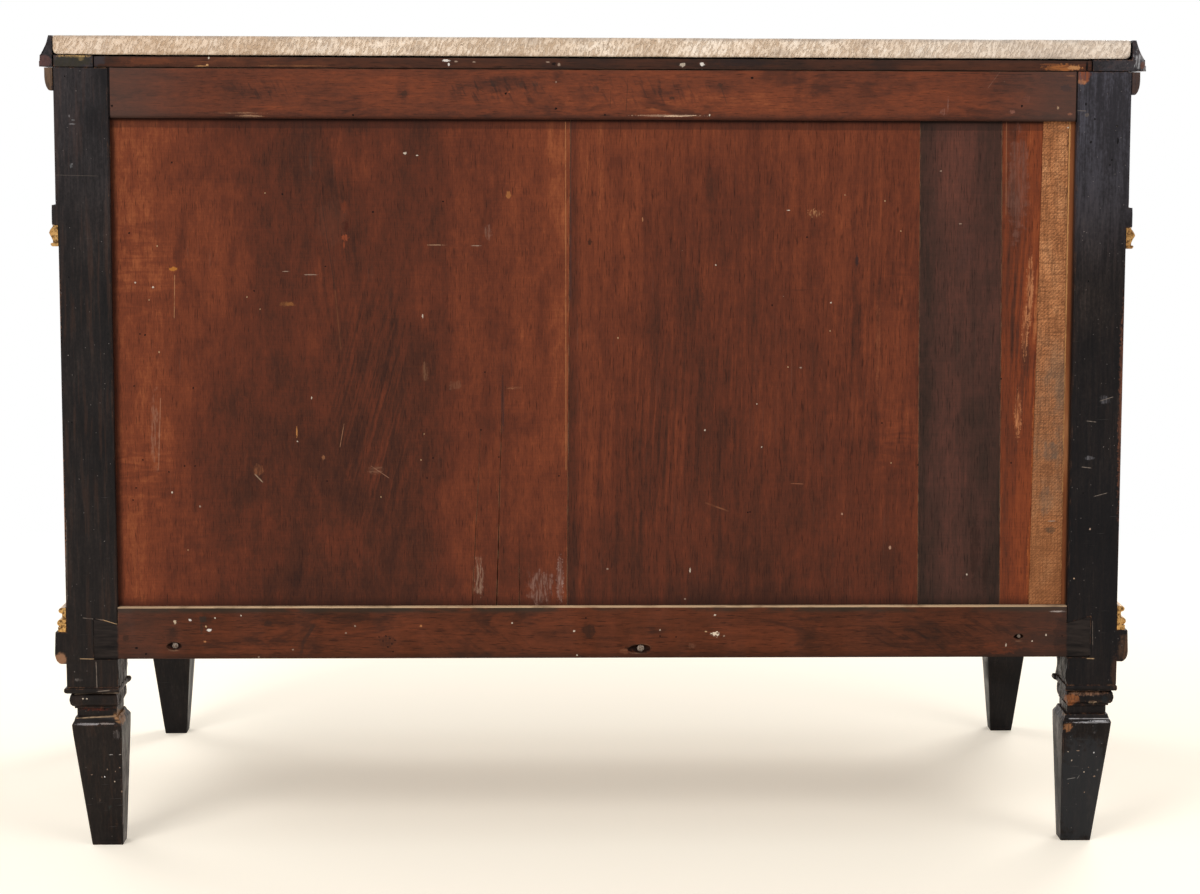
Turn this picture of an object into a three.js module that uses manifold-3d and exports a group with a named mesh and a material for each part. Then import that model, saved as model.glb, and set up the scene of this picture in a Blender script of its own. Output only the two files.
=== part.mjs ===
// A commode chest with a stone top: four tapered corner posts, a panelled back,
// a frieze drawer over two deep drawers, gilt mounts and bail handles.
// Millimetres, +Z up, the front faces -Y, the origin is under the middle on the floor.
import * as THREE from 'three';
import { mergeVertices } from 'three/addons/utils/BufferGeometryUtils.js';
import Module from 'manifold-3d';

// Case
const caseWidth = 1175;
const caseDepth = 600;
const fitGap = 0.3;
const cutOverrun = 5;
const weldDistance = 0.001;

// Corner posts
const postWidth = 59;
const postDepth = 64;
const shaftStep = 2.5;
const plateReach = 4.5;
const plinthReach = 11;
const plinthHeight = 36;
const plinthDrop = 5.5;
const plinthToe = 4;
const plinthToeHeight = 12;
const plinthLean = 1;
const rootDepth = 5;

// Legs, from the floor up
const footHeight = 141.5;
const capHeight = 8.5;
const capFilletHeight = 4;
const capFilletShare = 0.42;
const capLedgeShare = 0.6;
const neckHeight = 9.5;
const collarHeight = 18.5;
const collarFilletHeight = 2;
const beadHeight = 7;
const blockHeight = 32;
const blockInset = 1.5;
const beadReach = 3.5;
const collarInset = 3.2;
const collarFilletInset = 7.8;
const quirkInset = 7;
const neckInset = 10.5;
const innerInsetShare = 0.45;
const footOuterInset = 5.4;
const footInnerReach = 2;
const footEndInset = 1.5;
const footOuterTaper = 17.3;
const footInnerTaperBack = 4;
const footInnerTaperFront = 10;
const footEndTaper = 19;
const footFarTaper = 18;

// Levels of the case above the legs
const baseRailHeight = 58;
const deepOpening = 201.5;
const lowerRailHeight = 20;
const upperRailHeight = 22;
const friezeOpening = 123;
const topRailHeight = 25.5;

// Rails and their joints
const frontRailDepth = 50;
const baseRailDepth = 26;
const frontRailReveal = 1.5;
const tenonLength = 26;
const tenonShoulder = 5;
const tenonCheek = 8;
const backRailDepth = 26;
const backTopRailHeight = 54.5;
const backTopRailInset = 1.5;
const railRound = 4;
const tailLength = 26.5;
const tailRootHeight = 38.5;
const tailTipHeight = 45.5;
const tailDepth = 18;

// Back boards and the linen strip glued over their last joint
const boardInset = 9.5;
const boardThickness = 12;
const boardHousing = 9;
const seamTopShares = [0.0518, -0.675, -0.846];
const seamBottomShares = [0.059, -0.685, -0.859];
const linenThickness = 0.9;
const linenTopShares = [-0.932, -0.984];
const linenBottomShares = [-0.921, -0.989];

// Side panels
const panelReveal = 0.5;
const panelField = 9;
const panelThickness = 26;
const panelCove = 8;
const tongueLength = 8;
const tongueThickness = 10;
const tongueInset = 3;

// Dust boards and drawer guides
const dustThickness = 12;
const dustHousing = 6;
const guideHeight = 18;

// Top frame and stone slab
const rimOverhang = 15.5;
const ledgeWidth = 43.5;
const ledgeThickness = 13;
const filletStep = 1;
const lipFoot = 2;
const lipTopWidth = 4.5;
const lipHollow = 1.2;
const slabThickness = 21;
const slabEndGap = 0.6;
const slabLowerRound = 6;
const slabUpperRound = 2;
const topStripThickness = 12;
const topStripInset = 2;
const topStripDepth = 55;

// Bed moulding under the top frame
const bedReach = 9.5;
const bedHeight = 25.5;
const bedFlat = 9;
const bedToe = 3;

// Gilt capitals and bases
const capitalHeight = 23;
const capitalReach = 6.5;
const capitalToe = 1;
const capitalBead = 4;
const capitalBeadReach = 3;
const baseFilletHeight = 5.5;
const baseFilletReach = 6.8;
const lowerTorusHeight = 9;
const lowerTorusReach = 8;
const scotiaHeight = 6;
const scotiaReach = 2;
const upperTorusReach = 6;

// Drawers
const drawerSideGap = 1.5;
const drawerTopGap = 2;
const drawerReveal = 3;
const drawerBackRoom = 18;
const frontThickness = 24;
const frontLap = 7;
const frontChamfer = 1.5;
const sideThickness = 14;
const drawerBackThickness = 12;
const drawerBackDrop = 8;
const bottomThickness = 9;
const bottomLift = 8;
const bottomHousing = 7;
const sideDrop = 3;
const pinTip = 7;
const pinFlare = 3;
const keyholeHead = 3;
const keyholeSlot = 1.6;
const keyholeDrop = 11;
const lockWidth = 66;
const lockHeight = 42;
const lockThickness = 5;
const lockRise = 12;

// Bail handles and key plates
const handleSpread = 300;
const handleRise = 12;
const plateHalfWidth = 60;
const plateHalfHeight = 23;
const plateThickness = 1.8;
const plateBevel = 0.7;
const plateBorder = 2.8;
const bossSpread = 48;
const bossBall = 5.4;
const bossNeck = 3.4;
const bossFoot = 9;
const bossFootHeight = 2;
const pivotReach = 9.6;
const bailHalfSpan = 39.5;
const bailDrop = 36;
const bailRod = 2.7;
const bailEye = 3.8;
const bailEyeLength = 4.4;
const pinRadius = 1.8;
const pinLength = 3.6;
const bailBead = 4.4;
const bailBeadLength = 15;
const bailTaperShare = 0.2;
const keyPlateHalfWidth = 13;
const keyPlateHalfHeight = 21;

// Counts of tails, and how finely the round forms are cut
const deepTails = 4;
const friezeTails = 3;
const curveSteps = 6;
const roundSides = 12;
const rodSides = 8;
const bailSteps = 16;
const ovalSteps = 24;

// Places worked out from the sizes
const halfWidth = caseWidth / 2;
const openingHalf = halfWidth - postWidth;
const backY = (caseDepth + rimOverhang - beadReach) / 2;
const frontY = backY - caseDepth;
const neckBase = footHeight + capHeight;
const collarBase = neckBase + neckHeight;
const beadBase = collarBase + collarHeight;
const blockBase = beadBase + beadHeight;
const caseBase = blockBase + blockHeight;
const bottomDrawerBase = caseBase + baseRailHeight;
const lowerRailBase = bottomDrawerBase + deepOpening;
const middleDrawerBase = lowerRailBase + lowerRailHeight;
const upperRailBase = middleDrawerBase + deepOpening;
const friezeDrawerBase = upperRailBase + upperRailHeight;
const topRailBase = friezeDrawerBase + friezeOpening;
const postTop = topRailBase + topRailHeight;
const ledgeBase = postTop + fitGap;
const slabBase = ledgeBase + ledgeThickness + fitGap;
const slabTop = slabBase + slabThickness;
const plinthTop = caseBase - plinthDrop + plinthHeight;
const panelInnerX = halfWidth - panelReveal - panelThickness;
const boardFaceY = backY - boardInset;
const boardFrontY = boardFaceY - boardThickness;
const backTopRailBase = postTop - backTopRailHeight;

// Finishes
const ebonised = new THREE.MeshStandardMaterial({ color: 0x1b1917, roughness: 0.5 });
const walnut = new THREE.MeshStandardMaterial({ color: 0x5e2c1a, roughness: 0.6 });
const backWood = new THREE.MeshStandardMaterial({ color: 0x7a3518, roughness: 0.65 });
const darkWood = new THREE.MeshStandardMaterial({ color: 0x43251a, roughness: 0.65 });
const drawerWood = new THREE.MeshStandardMaterial({ color: 0xa9784a, roughness: 0.7 });
const stone = new THREE.MeshStandardMaterial({ color: 0xcdb9a0, roughness: 0.85 });
const linen = new THREE.MeshStandardMaterial({ color: 0x9a6b42, roughness: 0.95 });
const gilt = new THREE.MeshStandardMaterial({ color: 0xc8912f, roughness: 0.35, metalness: 0.9 });

const wasm = await Module();
wasm.setup();

const commode = new THREE.Group();

// Turns a closed geometry into a solid that can be cut and joined.
function toSolid(geometry) {
  const bare = geometry.clone();
  bare.deleteAttribute('normal');
  bare.deleteAttribute('uv');
  const welded = mergeVertices(bare, weldDistance);
  const corners = [];
  for (let i = 0; i < welded.index.count; i += 3) {
    const [a, b, c] = welded.index.array.slice(i, i + 3);
    if (a !== b && b !== c && c !== a) {
      corners.push(a, b, c);
    }
  }
  return new wasm.Manifold(new wasm.Mesh({
    numProp: 3,
    vertProperties: new Float32Array(welded.attributes.position.array),
    triVerts: new Uint32Array(corners),
  }));
}

// Turns a solid back into a geometry.
function toGeometry(solid) {
  const mesh = solid.getMesh();
  const geometry = new THREE.BufferGeometry();
  geometry.setAttribute('position', new THREE.BufferAttribute(new Float32Array(mesh.vertProperties), 3));
  geometry.setIndex(new THREE.BufferAttribute(new Uint32Array(mesh.triVerts), 1));
  geometry.computeVertexNormals();
  return geometry;
}

// Adds a named piece to a group.
function addPiece(parent, name, shape, material) {
  const geometry = shape.isBufferGeometry ? shape : toGeometry(shape);
  const mesh = new THREE.Mesh(geometry, material.clone());
  mesh.name = name;
  parent.add(mesh);
  return mesh;
}

// A box between two corners, in any order.
function box(x0, x1, y0, y1, z0, z1) {
  const geometry = new THREE.BoxGeometry(Math.abs(x1 - x0), Math.abs(y1 - y0), Math.abs(z1 - z0));
  geometry.translate((x0 + x1) / 2, (y0 + y1) / 2, (z0 + z1) / 2);
  return toSolid(geometry);
}

// An outline drawn in Y and Z, carried along X.
function prismAlongX(outline, x0, x1) {
  const geometry = new THREE.ExtrudeGeometry(outline, { depth: Math.abs(x1 - x0), bevelEnabled: false });
  const turn = new THREE.Matrix4().makeBasis(
    new THREE.Vector3(0, 1, 0), new THREE.Vector3(0, 0, 1), new THREE.Vector3(1, 0, 0));
  geometry.applyMatrix4(turn);
  geometry.translate(Math.min(x0, x1), 0, 0);
  return toSolid(geometry);
}

// An outline drawn in X and Z, carried along Y.
function prismAlongY(outline, y0, y1) {
  const geometry = new THREE.ExtrudeGeometry(outline, { depth: Math.abs(y1 - y0), bevelEnabled: false });
  geometry.rotateX(Math.PI / 2);
  geometry.translate(0, Math.max(y0, y1), 0);
  return toSolid(geometry);
}

// An outline drawn in X and Y, carried along Z.
function prismAlongZ(outline, z0, z1) {
  const geometry = new THREE.ExtrudeGeometry(outline, { depth: z1 - z0, bevelEnabled: false });
  geometry.translate(0, 0, z0);
  return toSolid(geometry);
}

function outlineOf(points) {
  return new THREE.Shape(points.map(([a, b]) => new THREE.Vector2(a, b)));
}

// Turns the faces of a closed geometry outwards where they point in.
function facingOut(geometry) {
  const place = geometry.attributes.position;
  const index = geometry.index.array;
  const corners = [new THREE.Vector3(), new THREE.Vector3(), new THREE.Vector3()];
  let volume = 0;
  for (let i = 0; i < index.length; i += 3) {
    corners.forEach((corner, k) => corner.fromBufferAttribute(place, index[i + k]));
    volume += corners[0].dot(corners[1].clone().cross(corners[2]));
  }
  if (volume < 0) {
    for (let i = 0; i < index.length; i += 3) {
      [index[i], index[i + 1]] = [index[i + 1], index[i]];
    }
  }
  return geometry;
}

// Joins rings of equal length into one closed skin. The caps are the triangles that
// close the last ring, in the order in which a ring is walked.
function loft(rings, caps) {
  const count = rings[0].length;
  const last = (rings.length - 1) * count;
  const faces = [];
  for (let low = 0; low < last; low += count) {
    const high = low + count;
    for (let i = 0; i < count; i += 1) {
      const next = (i + 1) % count;
      faces.push(low + i, low + next, high + next, low + i, high + next, high + i);
    }
  }
  for (const [a, b, c] of caps) {
    faces.push(a, c, b, last + a, last + b, last + c);
  }
  const places = rings.flat().flatMap((point) => point.toArray());
  const geometry = new THREE.BufferGeometry();
  geometry.setAttribute('position', new THREE.BufferAttribute(new Float32Array(places), 3));
  geometry.setIndex(new THREE.BufferAttribute(new Uint32Array(faces), 1));
  return facingOut(geometry);
}

// The triangles of a ring that bulges everywhere.
function fan(count) {
  return Array.from({ length: count - 2 }, (unused, i) => [0, i + 1, i + 2]);
}

// A moulding: an outline of reach and height, led past the stations of a plan line.
// Each station is a point of the face that it runs along, and the way a reach moves out.
function moulding(profile, stations) {
  const rings = stations.map(({ x, y, outX, outY }) => (
    profile.map(([reach, z]) => new THREE.Vector3(x + reach * outX, y + reach * outY, z))
  ));
  const flat = profile.map(([reach, z]) => new THREE.Vector2(reach, z));
  const clockwise = THREE.ShapeUtils.isClockWise(flat);
  const caps = THREE.ShapeUtils.triangulateShape(flat, []).map(([a, b, c]) => (
    clockwise ? [a, c, b] : [a, b, c]
  ));
  return loft(rings, caps);
}

// Points of a quarter or half round, from the share of the turn to a reach and a height.
function roundPoints(turn, place) {
  return Array.from({ length: curveSteps + 1 }, (unused, i) => place((turn * i) / curveSteps));
}

// Stations of a moulding that wraps the outer faces of a corner post.
function postStations(side, end) {
  const x = side * halfWidth;
  if (end > 0) {
    return [
      { x, y: backY, outX: side, outY: 0 },
      { x, y: backY - postDepth, outX: side, outY: 0 },
    ];
  }
  return [
    { x: side * openingHalf, y: frontY, outX: 0, outY: -1 },
    { x, y: frontY, outX: side, outY: -1 },
    { x, y: frontY + postDepth, outX: side, outY: 0 },
  ];
}

// Stations along the front, and along a flank, with a mitre at the front corners.
const frontStations = [
  { x: fitGap - halfWidth, y: frontY, outX: -1, outY: -1 },
  { x: halfWidth - fitGap, y: frontY, outX: 1, outY: -1 },
];

function flankStations(side) {
  return [
    { x: side * halfWidth, y: frontY, outX: side, outY: -1 },
    { x: side * halfWidth, y: backY, outX: side, outY: 0 },
  ];
}

// Corner posts

// The square sections of a post, from the floor up. Each names how far it lies in
// from the outer flank face, the inner face, the end face and the far face.
function postSections(end) {
  const innerTaper = end > 0 ? footInnerTaperBack : footInnerTaperFront;
  const even = (z, inset) => {
    const inner = inset * innerInsetShare;
    return { z, outer: inset, inner, end: inset, far: inner };
  };
  const shown = (z, reach, inset) => ({
    z, outer: inset - reach, inner: -reach, end: (end > 0 ? 0 : inset) - reach, far: -reach,
  });
  const block = (z, reach) => shown(z, reach, blockInset);
  const flush = (z) => shown(z, 0, 0);
  const shaft = (z) => shown(z, 0, shaftStep);
  const footTop = {
    z: footHeight, outer: footOuterInset, inner: -footInnerReach, end: footEndInset, far: -footInnerReach,
  };
  const footBase = {
    z: 0,
    outer: footTop.outer + footOuterTaper,
    inner: footTop.inner + innerTaper,
    end: footTop.end + footEndTaper,
    far: footTop.far + footFarTaper,
  };
  const neck = even(neckBase, neckInset);
  const capRing = (z, share) => ({
    z,
    outer: THREE.MathUtils.lerp(footTop.outer, neck.outer, share),
    inner: THREE.MathUtils.lerp(footTop.inner, neck.inner, share),
    end: THREE.MathUtils.lerp(footTop.end, neck.end, share),
    far: THREE.MathUtils.lerp(footTop.far, neck.far, share),
  });
  const cap = [
    footTop, capRing(neckBase - capFilletHeight, capFilletShare), capRing(neckBase, capLedgeShare), neck,
  ];
  const collar = roundPoints(Math.PI, (turn) => {
    const rise = (1 - Math.cos(turn)) / 2;
    const root = THREE.MathUtils.lerp(collarFilletInset, quirkInset, rise);
    return even(
      collarBase + collarFilletHeight + (collarHeight - collarFilletHeight) * rise,
      root - (root - collarInset) * Math.sin(turn),
    );
  });
  const bead = roundPoints(Math.PI, (turn) => block(
    beadBase + (beadHeight * (1 - Math.cos(turn))) / 2,
    beadReach * Math.sin(turn),
  ));
  return [
    footBase, ...cap,
    even(collarBase, neckInset), even(collarBase, collarFilletInset), ...collar,
    ...bead, block(caseBase, 0),
    flush(caseBase), flush(plinthTop),
    shaft(plinthTop), shaft(upperRailBase),
    flush(upperRailBase), flush(postTop),
  ];
}

function postBody(side, end) {
  const endFace = end > 0 ? backY : frontY;
  const rings = postSections(end).map((section) => {
    const outerX = side * (halfWidth - section.outer);
    const innerX = side * (openingHalf + section.inner);
    const endY = endFace - end * section.end;
    const farY = endFace - end * (postDepth - section.far);
    return [
      new THREE.Vector3(outerX, endY, section.z),
      new THREE.Vector3(innerX, endY, section.z),
      new THREE.Vector3(innerX, farY, section.z),
      new THREE.Vector3(outerX, farY, section.z),
    ];
  });
  return toSolid(loft(rings, fan(4)));
}

// The plate over the gilt capital, and the plinth block under the gilt base.
function capitalPlate(side, end) {
  const profile = [
    [-rootDepth, upperRailBase], [plateReach, upperRailBase],
    [plateReach, friezeDrawerBase], [-rootDepth, friezeDrawerBase],
  ];
  return toSolid(moulding(profile, postStations(side, end)));
}

function plinthBlock(side, end) {
  const base = plinthTop - plinthHeight;
  const toe = roundPoints(Math.PI / 2, (turn) => [
    plinthToe + (plinthReach - plinthToe) * Math.sin(turn),
    base + plinthToeHeight * (1 - Math.cos(turn)),
  ]);
  const profile = [
    [-rootDepth, base], ...toe, [plinthReach - plinthLean, plinthTop], [-rootDepth, plinthTop],
  ];
  return toSolid(moulding(profile, postStations(side, end)));
}

// Rails: each is a bar between the posts with a tenon at both ends.
const frontRails = [
  { name: 'front_top_rail', low: topRailBase, high: postTop, depth: frontRailDepth },
  { name: 'drawer_rail_upper', low: upperRailBase, high: friezeDrawerBase, depth: frontRailDepth },
  { name: 'drawer_rail_lower', low: lowerRailBase, high: middleDrawerBase, depth: frontRailDepth },
  { name: 'front_plinth_rail', low: caseBase, high: bottomDrawerBase, depth: baseRailDepth },
].map((rail) => {
  const face = frontY + frontRailReveal;
  return { ...rail, face, back: face + rail.depth, tenonLow: rail.low + tenonShoulder };
});

const backTopRail = {
  name: 'back_top_rail',
  low: backTopRailBase,
  high: postTop,
  face: backY - backTopRailInset - backRailDepth,
  back: backY - backTopRailInset,
  tenonLow: backTopRailBase + boardHousing + tenonShoulder,
};

// A tenon of a rail, or the mortise for it when it is grown.
function tenon(rail, side, grow) {
  return box(
    side * (openingHalf - rootDepth), side * (openingHalf + tenonLength + grow),
    rail.face + tenonCheek - grow, rail.back - tenonCheek + grow,
    rail.tenonLow - grow, rail.high - tenonShoulder + grow,
  );
}

function railBar(rail) {
  const end = openingHalf - fitGap;
  return box(-end, end, rail.face, rail.back, rail.low, rail.high);
}

function tenonedRail(rail, bar) {
  return bar.add(tenon(rail, 1, 0)).add(tenon(rail, -1, 0));
}

// The tail of the bottom back rail, let into the post's back face, or its housing.
function railTail(side, grow) {
  const root = side * (openingHalf - rootDepth);
  const tip = side * (openingHalf + tailLength + grow);
  const slope = (tailTipHeight - tailRootHeight) / tailLength;
  const outline = outlineOf([
    [root, caseBase - grow], [tip, caseBase - grow],
    [tip, caseBase + tailTipHeight + grow],
    [root, caseBase + tailRootHeight - slope * rootDepth + grow],
  ]);
  return prismAlongY(outline, backY - tailDepth - grow, backY + (grow > 0 ? cutOverrun : 0));
}

// The groove that takes the edges of the back boards in posts and rails.
function boardGroove(x0, x1, z0, z1) {
  return box(x0, x1, boardFrontY - fitGap, boardFaceY + fitGap, z0, z1);
}

// The tongue of a side panel, or the groove for it.
function panelTongue(side, end, grow) {
  const panelEnd = (end > 0 ? backY : frontY) - end * (postDepth + fitGap);
  return box(
    side * (panelInnerX + tongueInset - grow), side * (panelInnerX + tongueInset + tongueThickness + grow),
    panelEnd - end * rootDepth, panelEnd + end * (tongueLength + grow),
    caseBase + tenonShoulder - grow, postTop - tenonShoulder + grow,
  );
}

function cornerPost(side, end) {
  let post = postBody(side, end)
    .add(capitalPlate(side, end))
    .add(plinthBlock(side, end))
    .subtract(panelTongue(side, end, fitGap));
  if (end < 0) {
    for (const rail of frontRails) {
      post = post.subtract(tenon(rail, side, fitGap));
    }
    return post;
  }
  const groove = boardGroove(
    side * (openingHalf - cutOverrun), side * (openingHalf + boardHousing),
    bottomDrawerBase - boardHousing, backTopRailBase + boardHousing);
  return post
    .subtract(tenon(backTopRail, side, fitGap))
    .subtract(railTail(side, fitGap))
    .subtract(groove);
}

for (const [sideName, side] of [['left', -1], ['right', 1]]) {
  addPiece(commode, `post_front_${sideName}`, cornerPost(side, -1), ebonised);
  addPiece(commode, `post_back_${sideName}`, cornerPost(side, 1), ebonised);
}

// Gilt mounts on the posts
const mountBack = fitGap - shaftStep;

const capitalTop = upperRailBase - fitGap;
const capitalBase = capitalTop - capitalHeight;
const capitalProfile = [
  [mountBack, capitalBase],
  ...roundPoints(Math.PI, (turn) => [
    capitalToe + (capitalBeadReach - capitalToe) * Math.sin(turn),
    capitalBase + (capitalBead * (1 - Math.cos(turn))) / 2,
  ]),
  ...roundPoints(Math.PI, (turn) => [
    capitalToe + ((capitalReach - capitalToe) * (1 - Math.cos(turn))) / 2,
    capitalBase + capitalBead + (capitalHeight - capitalBead) * (turn / Math.PI),
  ]).slice(1),
  [mountBack, capitalTop],
];

const baseMountBase = plinthTop + fitGap;
const baseMountTop = bottomDrawerBase;
const lowerTorusBase = baseMountBase + baseFilletHeight;
const scotiaBase = lowerTorusBase + lowerTorusHeight;
const upperTorusBase = scotiaBase + scotiaHeight;

// A torus of the base, swelling from the line of the scotia.
function torus(low, high, reach) {
  return roundPoints(Math.PI, (turn) => [
    scotiaReach + (reach - scotiaReach) * Math.sin(turn),
    low + ((high - low) * (1 - Math.cos(turn))) / 2,
  ]);
}

const baseProfile = [
  [mountBack, baseMountBase], [baseFilletReach, baseMountBase], [baseFilletReach, lowerTorusBase],
  ...torus(lowerTorusBase, scotiaBase, lowerTorusReach),
  ...torus(upperTorusBase, baseMountTop, upperTorusReach),
  [mountBack, baseMountTop],
];

for (const [sideName, side] of [['left', -1], ['right', 1]]) {
  for (const [endName, end] of [['front', -1], ['back', 1]]) {
    const stations = postStations(side, end);
    addPiece(commode, `capital_${endName}_${sideName}`, moulding(capitalProfile, stations), gilt);
    addPiece(commode, `base_mount_${endName}_${sideName}`, moulding(baseProfile, stations), gilt);
  }
}

// Top frame round the stone, and the bed moulding under it
const ledgeTop = ledgeBase + ledgeThickness;
const lipFootReach = rimOverhang - lipFoot;
const rimProfile = [
  [-ledgeWidth, ledgeBase], [rimOverhang, ledgeBase],
  [rimOverhang, ledgeBase + ledgeThickness / 2], [rimOverhang - filletStep, ledgeBase + ledgeThickness / 2],
  [rimOverhang - filletStep, ledgeTop],
  ...roundPoints(Math.PI, (turn) => {
    const share = turn / Math.PI;
    return [
      THREE.MathUtils.lerp(lipFootReach, lipTopWidth, share) - lipHollow * Math.sin(turn),
      THREE.MathUtils.lerp(ledgeTop, slabTop, share),
    ];
  }),
  [0, slabTop], [0, ledgeTop], [-ledgeWidth, ledgeTop],
];
const bedProfile = [
  [fitGap, postTop], [bedReach, postTop],
  ...roundPoints(Math.PI / 2, (turn) => [
    bedToe + (bedReach - bedToe) * Math.cos(turn),
    postTop - bedFlat - (bedHeight - bedFlat) * Math.sin(turn),
  ]),
  [fitGap, postTop - bedHeight],
];

addPiece(commode, 'rim_front', moulding(rimProfile, frontStations), ebonised);
for (const [sideName, side] of [['left', -1], ['right', 1]]) {
  addPiece(commode, `rim_${sideName}`, moulding(rimProfile, flankStations(side)), ebonised);
  addPiece(commode, `bed_mould_${sideName}`, moulding(bedProfile, flankStations(side)), ebonised);
}

const backStripEnd = halfWidth - ledgeWidth - fitGap;
const backStripFace = backY - topStripInset;
addPiece(commode, 'back_top_strip', box(
  -backStripEnd, backStripEnd, backStripFace - topStripDepth, backStripFace,
  ledgeBase, ledgeBase + topStripThickness), darkWood);

// The stone slab, with its rough back edge rounded at the ends
function slabOutline() {
  const end = halfWidth - slabEndGap;
  const outline = new THREE.Shape();
  const quarter = (x, z, round, turn) => outline.absarc(x, z, round, turn, turn + Math.PI / 2, false);
  outline.moveTo(-end + slabLowerRound, slabBase);
  quarter(end - slabLowerRound, slabBase + slabLowerRound, slabLowerRound, -Math.PI / 2);
  quarter(end - slabUpperRound, slabTop - slabUpperRound, slabUpperRound, 0);
  quarter(-end + slabUpperRound, slabTop - slabUpperRound, slabUpperRound, Math.PI / 2);
  quarter(-end + slabLowerRound, slabBase + slabLowerRound, slabLowerRound, Math.PI);
  return new THREE.Shape(uniquePoints(outline.getPoints(curveSteps)));
}

// The points of a path without the repeats where its stretches meet.
function uniquePoints(points) {
  return points.filter((point, i) => (
    point.distanceTo(points[(i + points.length - 1) % points.length]) > weldDistance
  ));
}

addPiece(commode, 'marble_top', prismAlongY(slabOutline(), frontY + slabEndGap, backY), stone);

// Rails of the front and the back
for (const rail of frontRails) {
  let bar = railBar(rail);
  if (rail.name === 'front_top_rail') {
    const end = openingHalf - fitGap;
    const seat = box(-end, end, frontY - bedToe / 2, rail.face + rootDepth, rail.low, rail.high);
    bar = bar.add(seat).add(toSolid(moulding(bedProfile, frontStations)));
  }
  addPiece(commode, rail.name, tenonedRail(rail, bar), ebonised);
}

// The top rail of the back has a rounded lower edge over the recessed boards.
function backTopRailBar() {
  const outline = new THREE.Shape();
  outline.moveTo(backTopRail.face, backTopRail.low);
  outline.absarc(
    backTopRail.back - railRound, backTopRail.low + railRound, railRound, -Math.PI / 2, 0, false);
  outline.lineTo(backTopRail.back, backTopRail.high);
  outline.lineTo(backTopRail.face, backTopRail.high);
  const end = openingHalf - fitGap;
  const shape = new THREE.Shape(uniquePoints(outline.getPoints(curveSteps)));
  return prismAlongX(shape, -end, end);
}

const acrossGroove = openingHalf + cutOverrun;
const topRailGroove = boardGroove(
  -acrossGroove, acrossGroove, backTopRailBase - cutOverrun, backTopRailBase + boardHousing);
addPiece(
  commode, backTopRail.name, tenonedRail(backTopRail, backTopRailBar()).subtract(topRailGroove), darkWood);

const backBottomRail = {
  low: caseBase, high: bottomDrawerBase, face: backY - baseRailDepth, back: backY,
};
const bottomRailGroove = boardGroove(
  -acrossGroove, acrossGroove, bottomDrawerBase - boardHousing, bottomDrawerBase + cutOverrun);
addPiece(commode, 'back_bottom_rail', railBar(backBottomRail)
  .add(railTail(1, 0))
  .add(railTail(-1, 0))
  .subtract(bottomRailGroove), darkWood);

// Back boards, upright, from the right post to the left one; their joints run a little aslant.
const boardBase = bottomDrawerBase - boardHousing + fitGap;
const boardTop = backTopRailBase + boardHousing - fitGap;
const boardEnd = openingHalf + boardHousing - fitGap;
const seamTops = [boardEnd, ...seamTopShares.map((share) => share * openingHalf), -boardEnd];
const seamBottoms = [boardEnd, ...seamBottomShares.map((share) => share * openingHalf), -boardEnd];

for (let i = 0; i + 1 < seamTops.length; i += 1) {
  const near = i === 0 ? 0 : fitGap / 2;
  const far = i + 2 === seamTops.length ? 0 : fitGap / 2;
  const outline = outlineOf([
    [seamBottoms[i + 1] + far, boardBase], [seamBottoms[i] - near, boardBase],
    [seamTops[i] - near, boardTop], [seamTops[i + 1] + far, boardTop],
  ]);
  addPiece(commode, `back_board_${i + 1}`, prismAlongY(outline, boardFrontY, boardFaceY), backWood);
}

const linenLow = bottomDrawerBase + fitGap;
const linenHigh = backTopRailBase + railRound;
const linenOutline = outlineOf([
  [linenBottomShares[1] * openingHalf, linenLow], [linenBottomShares[0] * openingHalf, linenLow],
  [linenTopShares[0] * openingHalf, linenHigh], [linenTopShares[1] * openingHalf, linenHigh],
]);
const linenBack = boardFaceY + fitGap;
addPiece(commode, 'linen_strip', prismAlongY(linenOutline, linenBack, linenBack + linenThickness), linen);

// Dust boards and the bottom board, notched round the posts, with the drawer guides on top
const panelFrontY = frontY + postDepth + fitGap;
const panelBackY = backY - postDepth - fitGap;
const dustBoards = [
  { name: 'dust_board_upper', top: friezeDrawerBase, depth: frontRailDepth, back: boardFrontY },
  { name: 'dust_board_lower', top: middleDrawerBase, depth: frontRailDepth, back: boardFrontY },
  { name: 'bottom_board', top: bottomDrawerBase, depth: baseRailDepth, back: backBottomRail.face },
];

function dustBoard({ top, depth, back }) {
  const narrow = openingHalf - fitGap;
  const wide = panelInnerX + dustHousing - fitGap;
  const frontEdge = frontY + frontRailReveal + depth + fitGap;
  const backEdge = back - fitGap;
  const outline = outlineOf([
    [-narrow, frontEdge], [narrow, frontEdge], [narrow, panelFrontY], [wide, panelFrontY],
    [wide, panelBackY], [narrow, panelBackY], [narrow, backEdge], [-narrow, backEdge],
    [-narrow, panelBackY], [-wide, panelBackY], [-wide, panelFrontY], [-narrow, panelFrontY],
  ]);
  let board = prismAlongZ(outline, top - dustThickness, top);
  for (const side of [-1, 1]) {
    board = board.add(box(
      side * openingHalf, side * (panelInnerX - fitGap), panelFrontY, panelBackY,
      top - dustThickness, top + guideHeight));
  }
  return board;
}

for (const row of dustBoards) {
  addPiece(commode, row.name, dustBoard(row), drawerWood);
}

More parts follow.
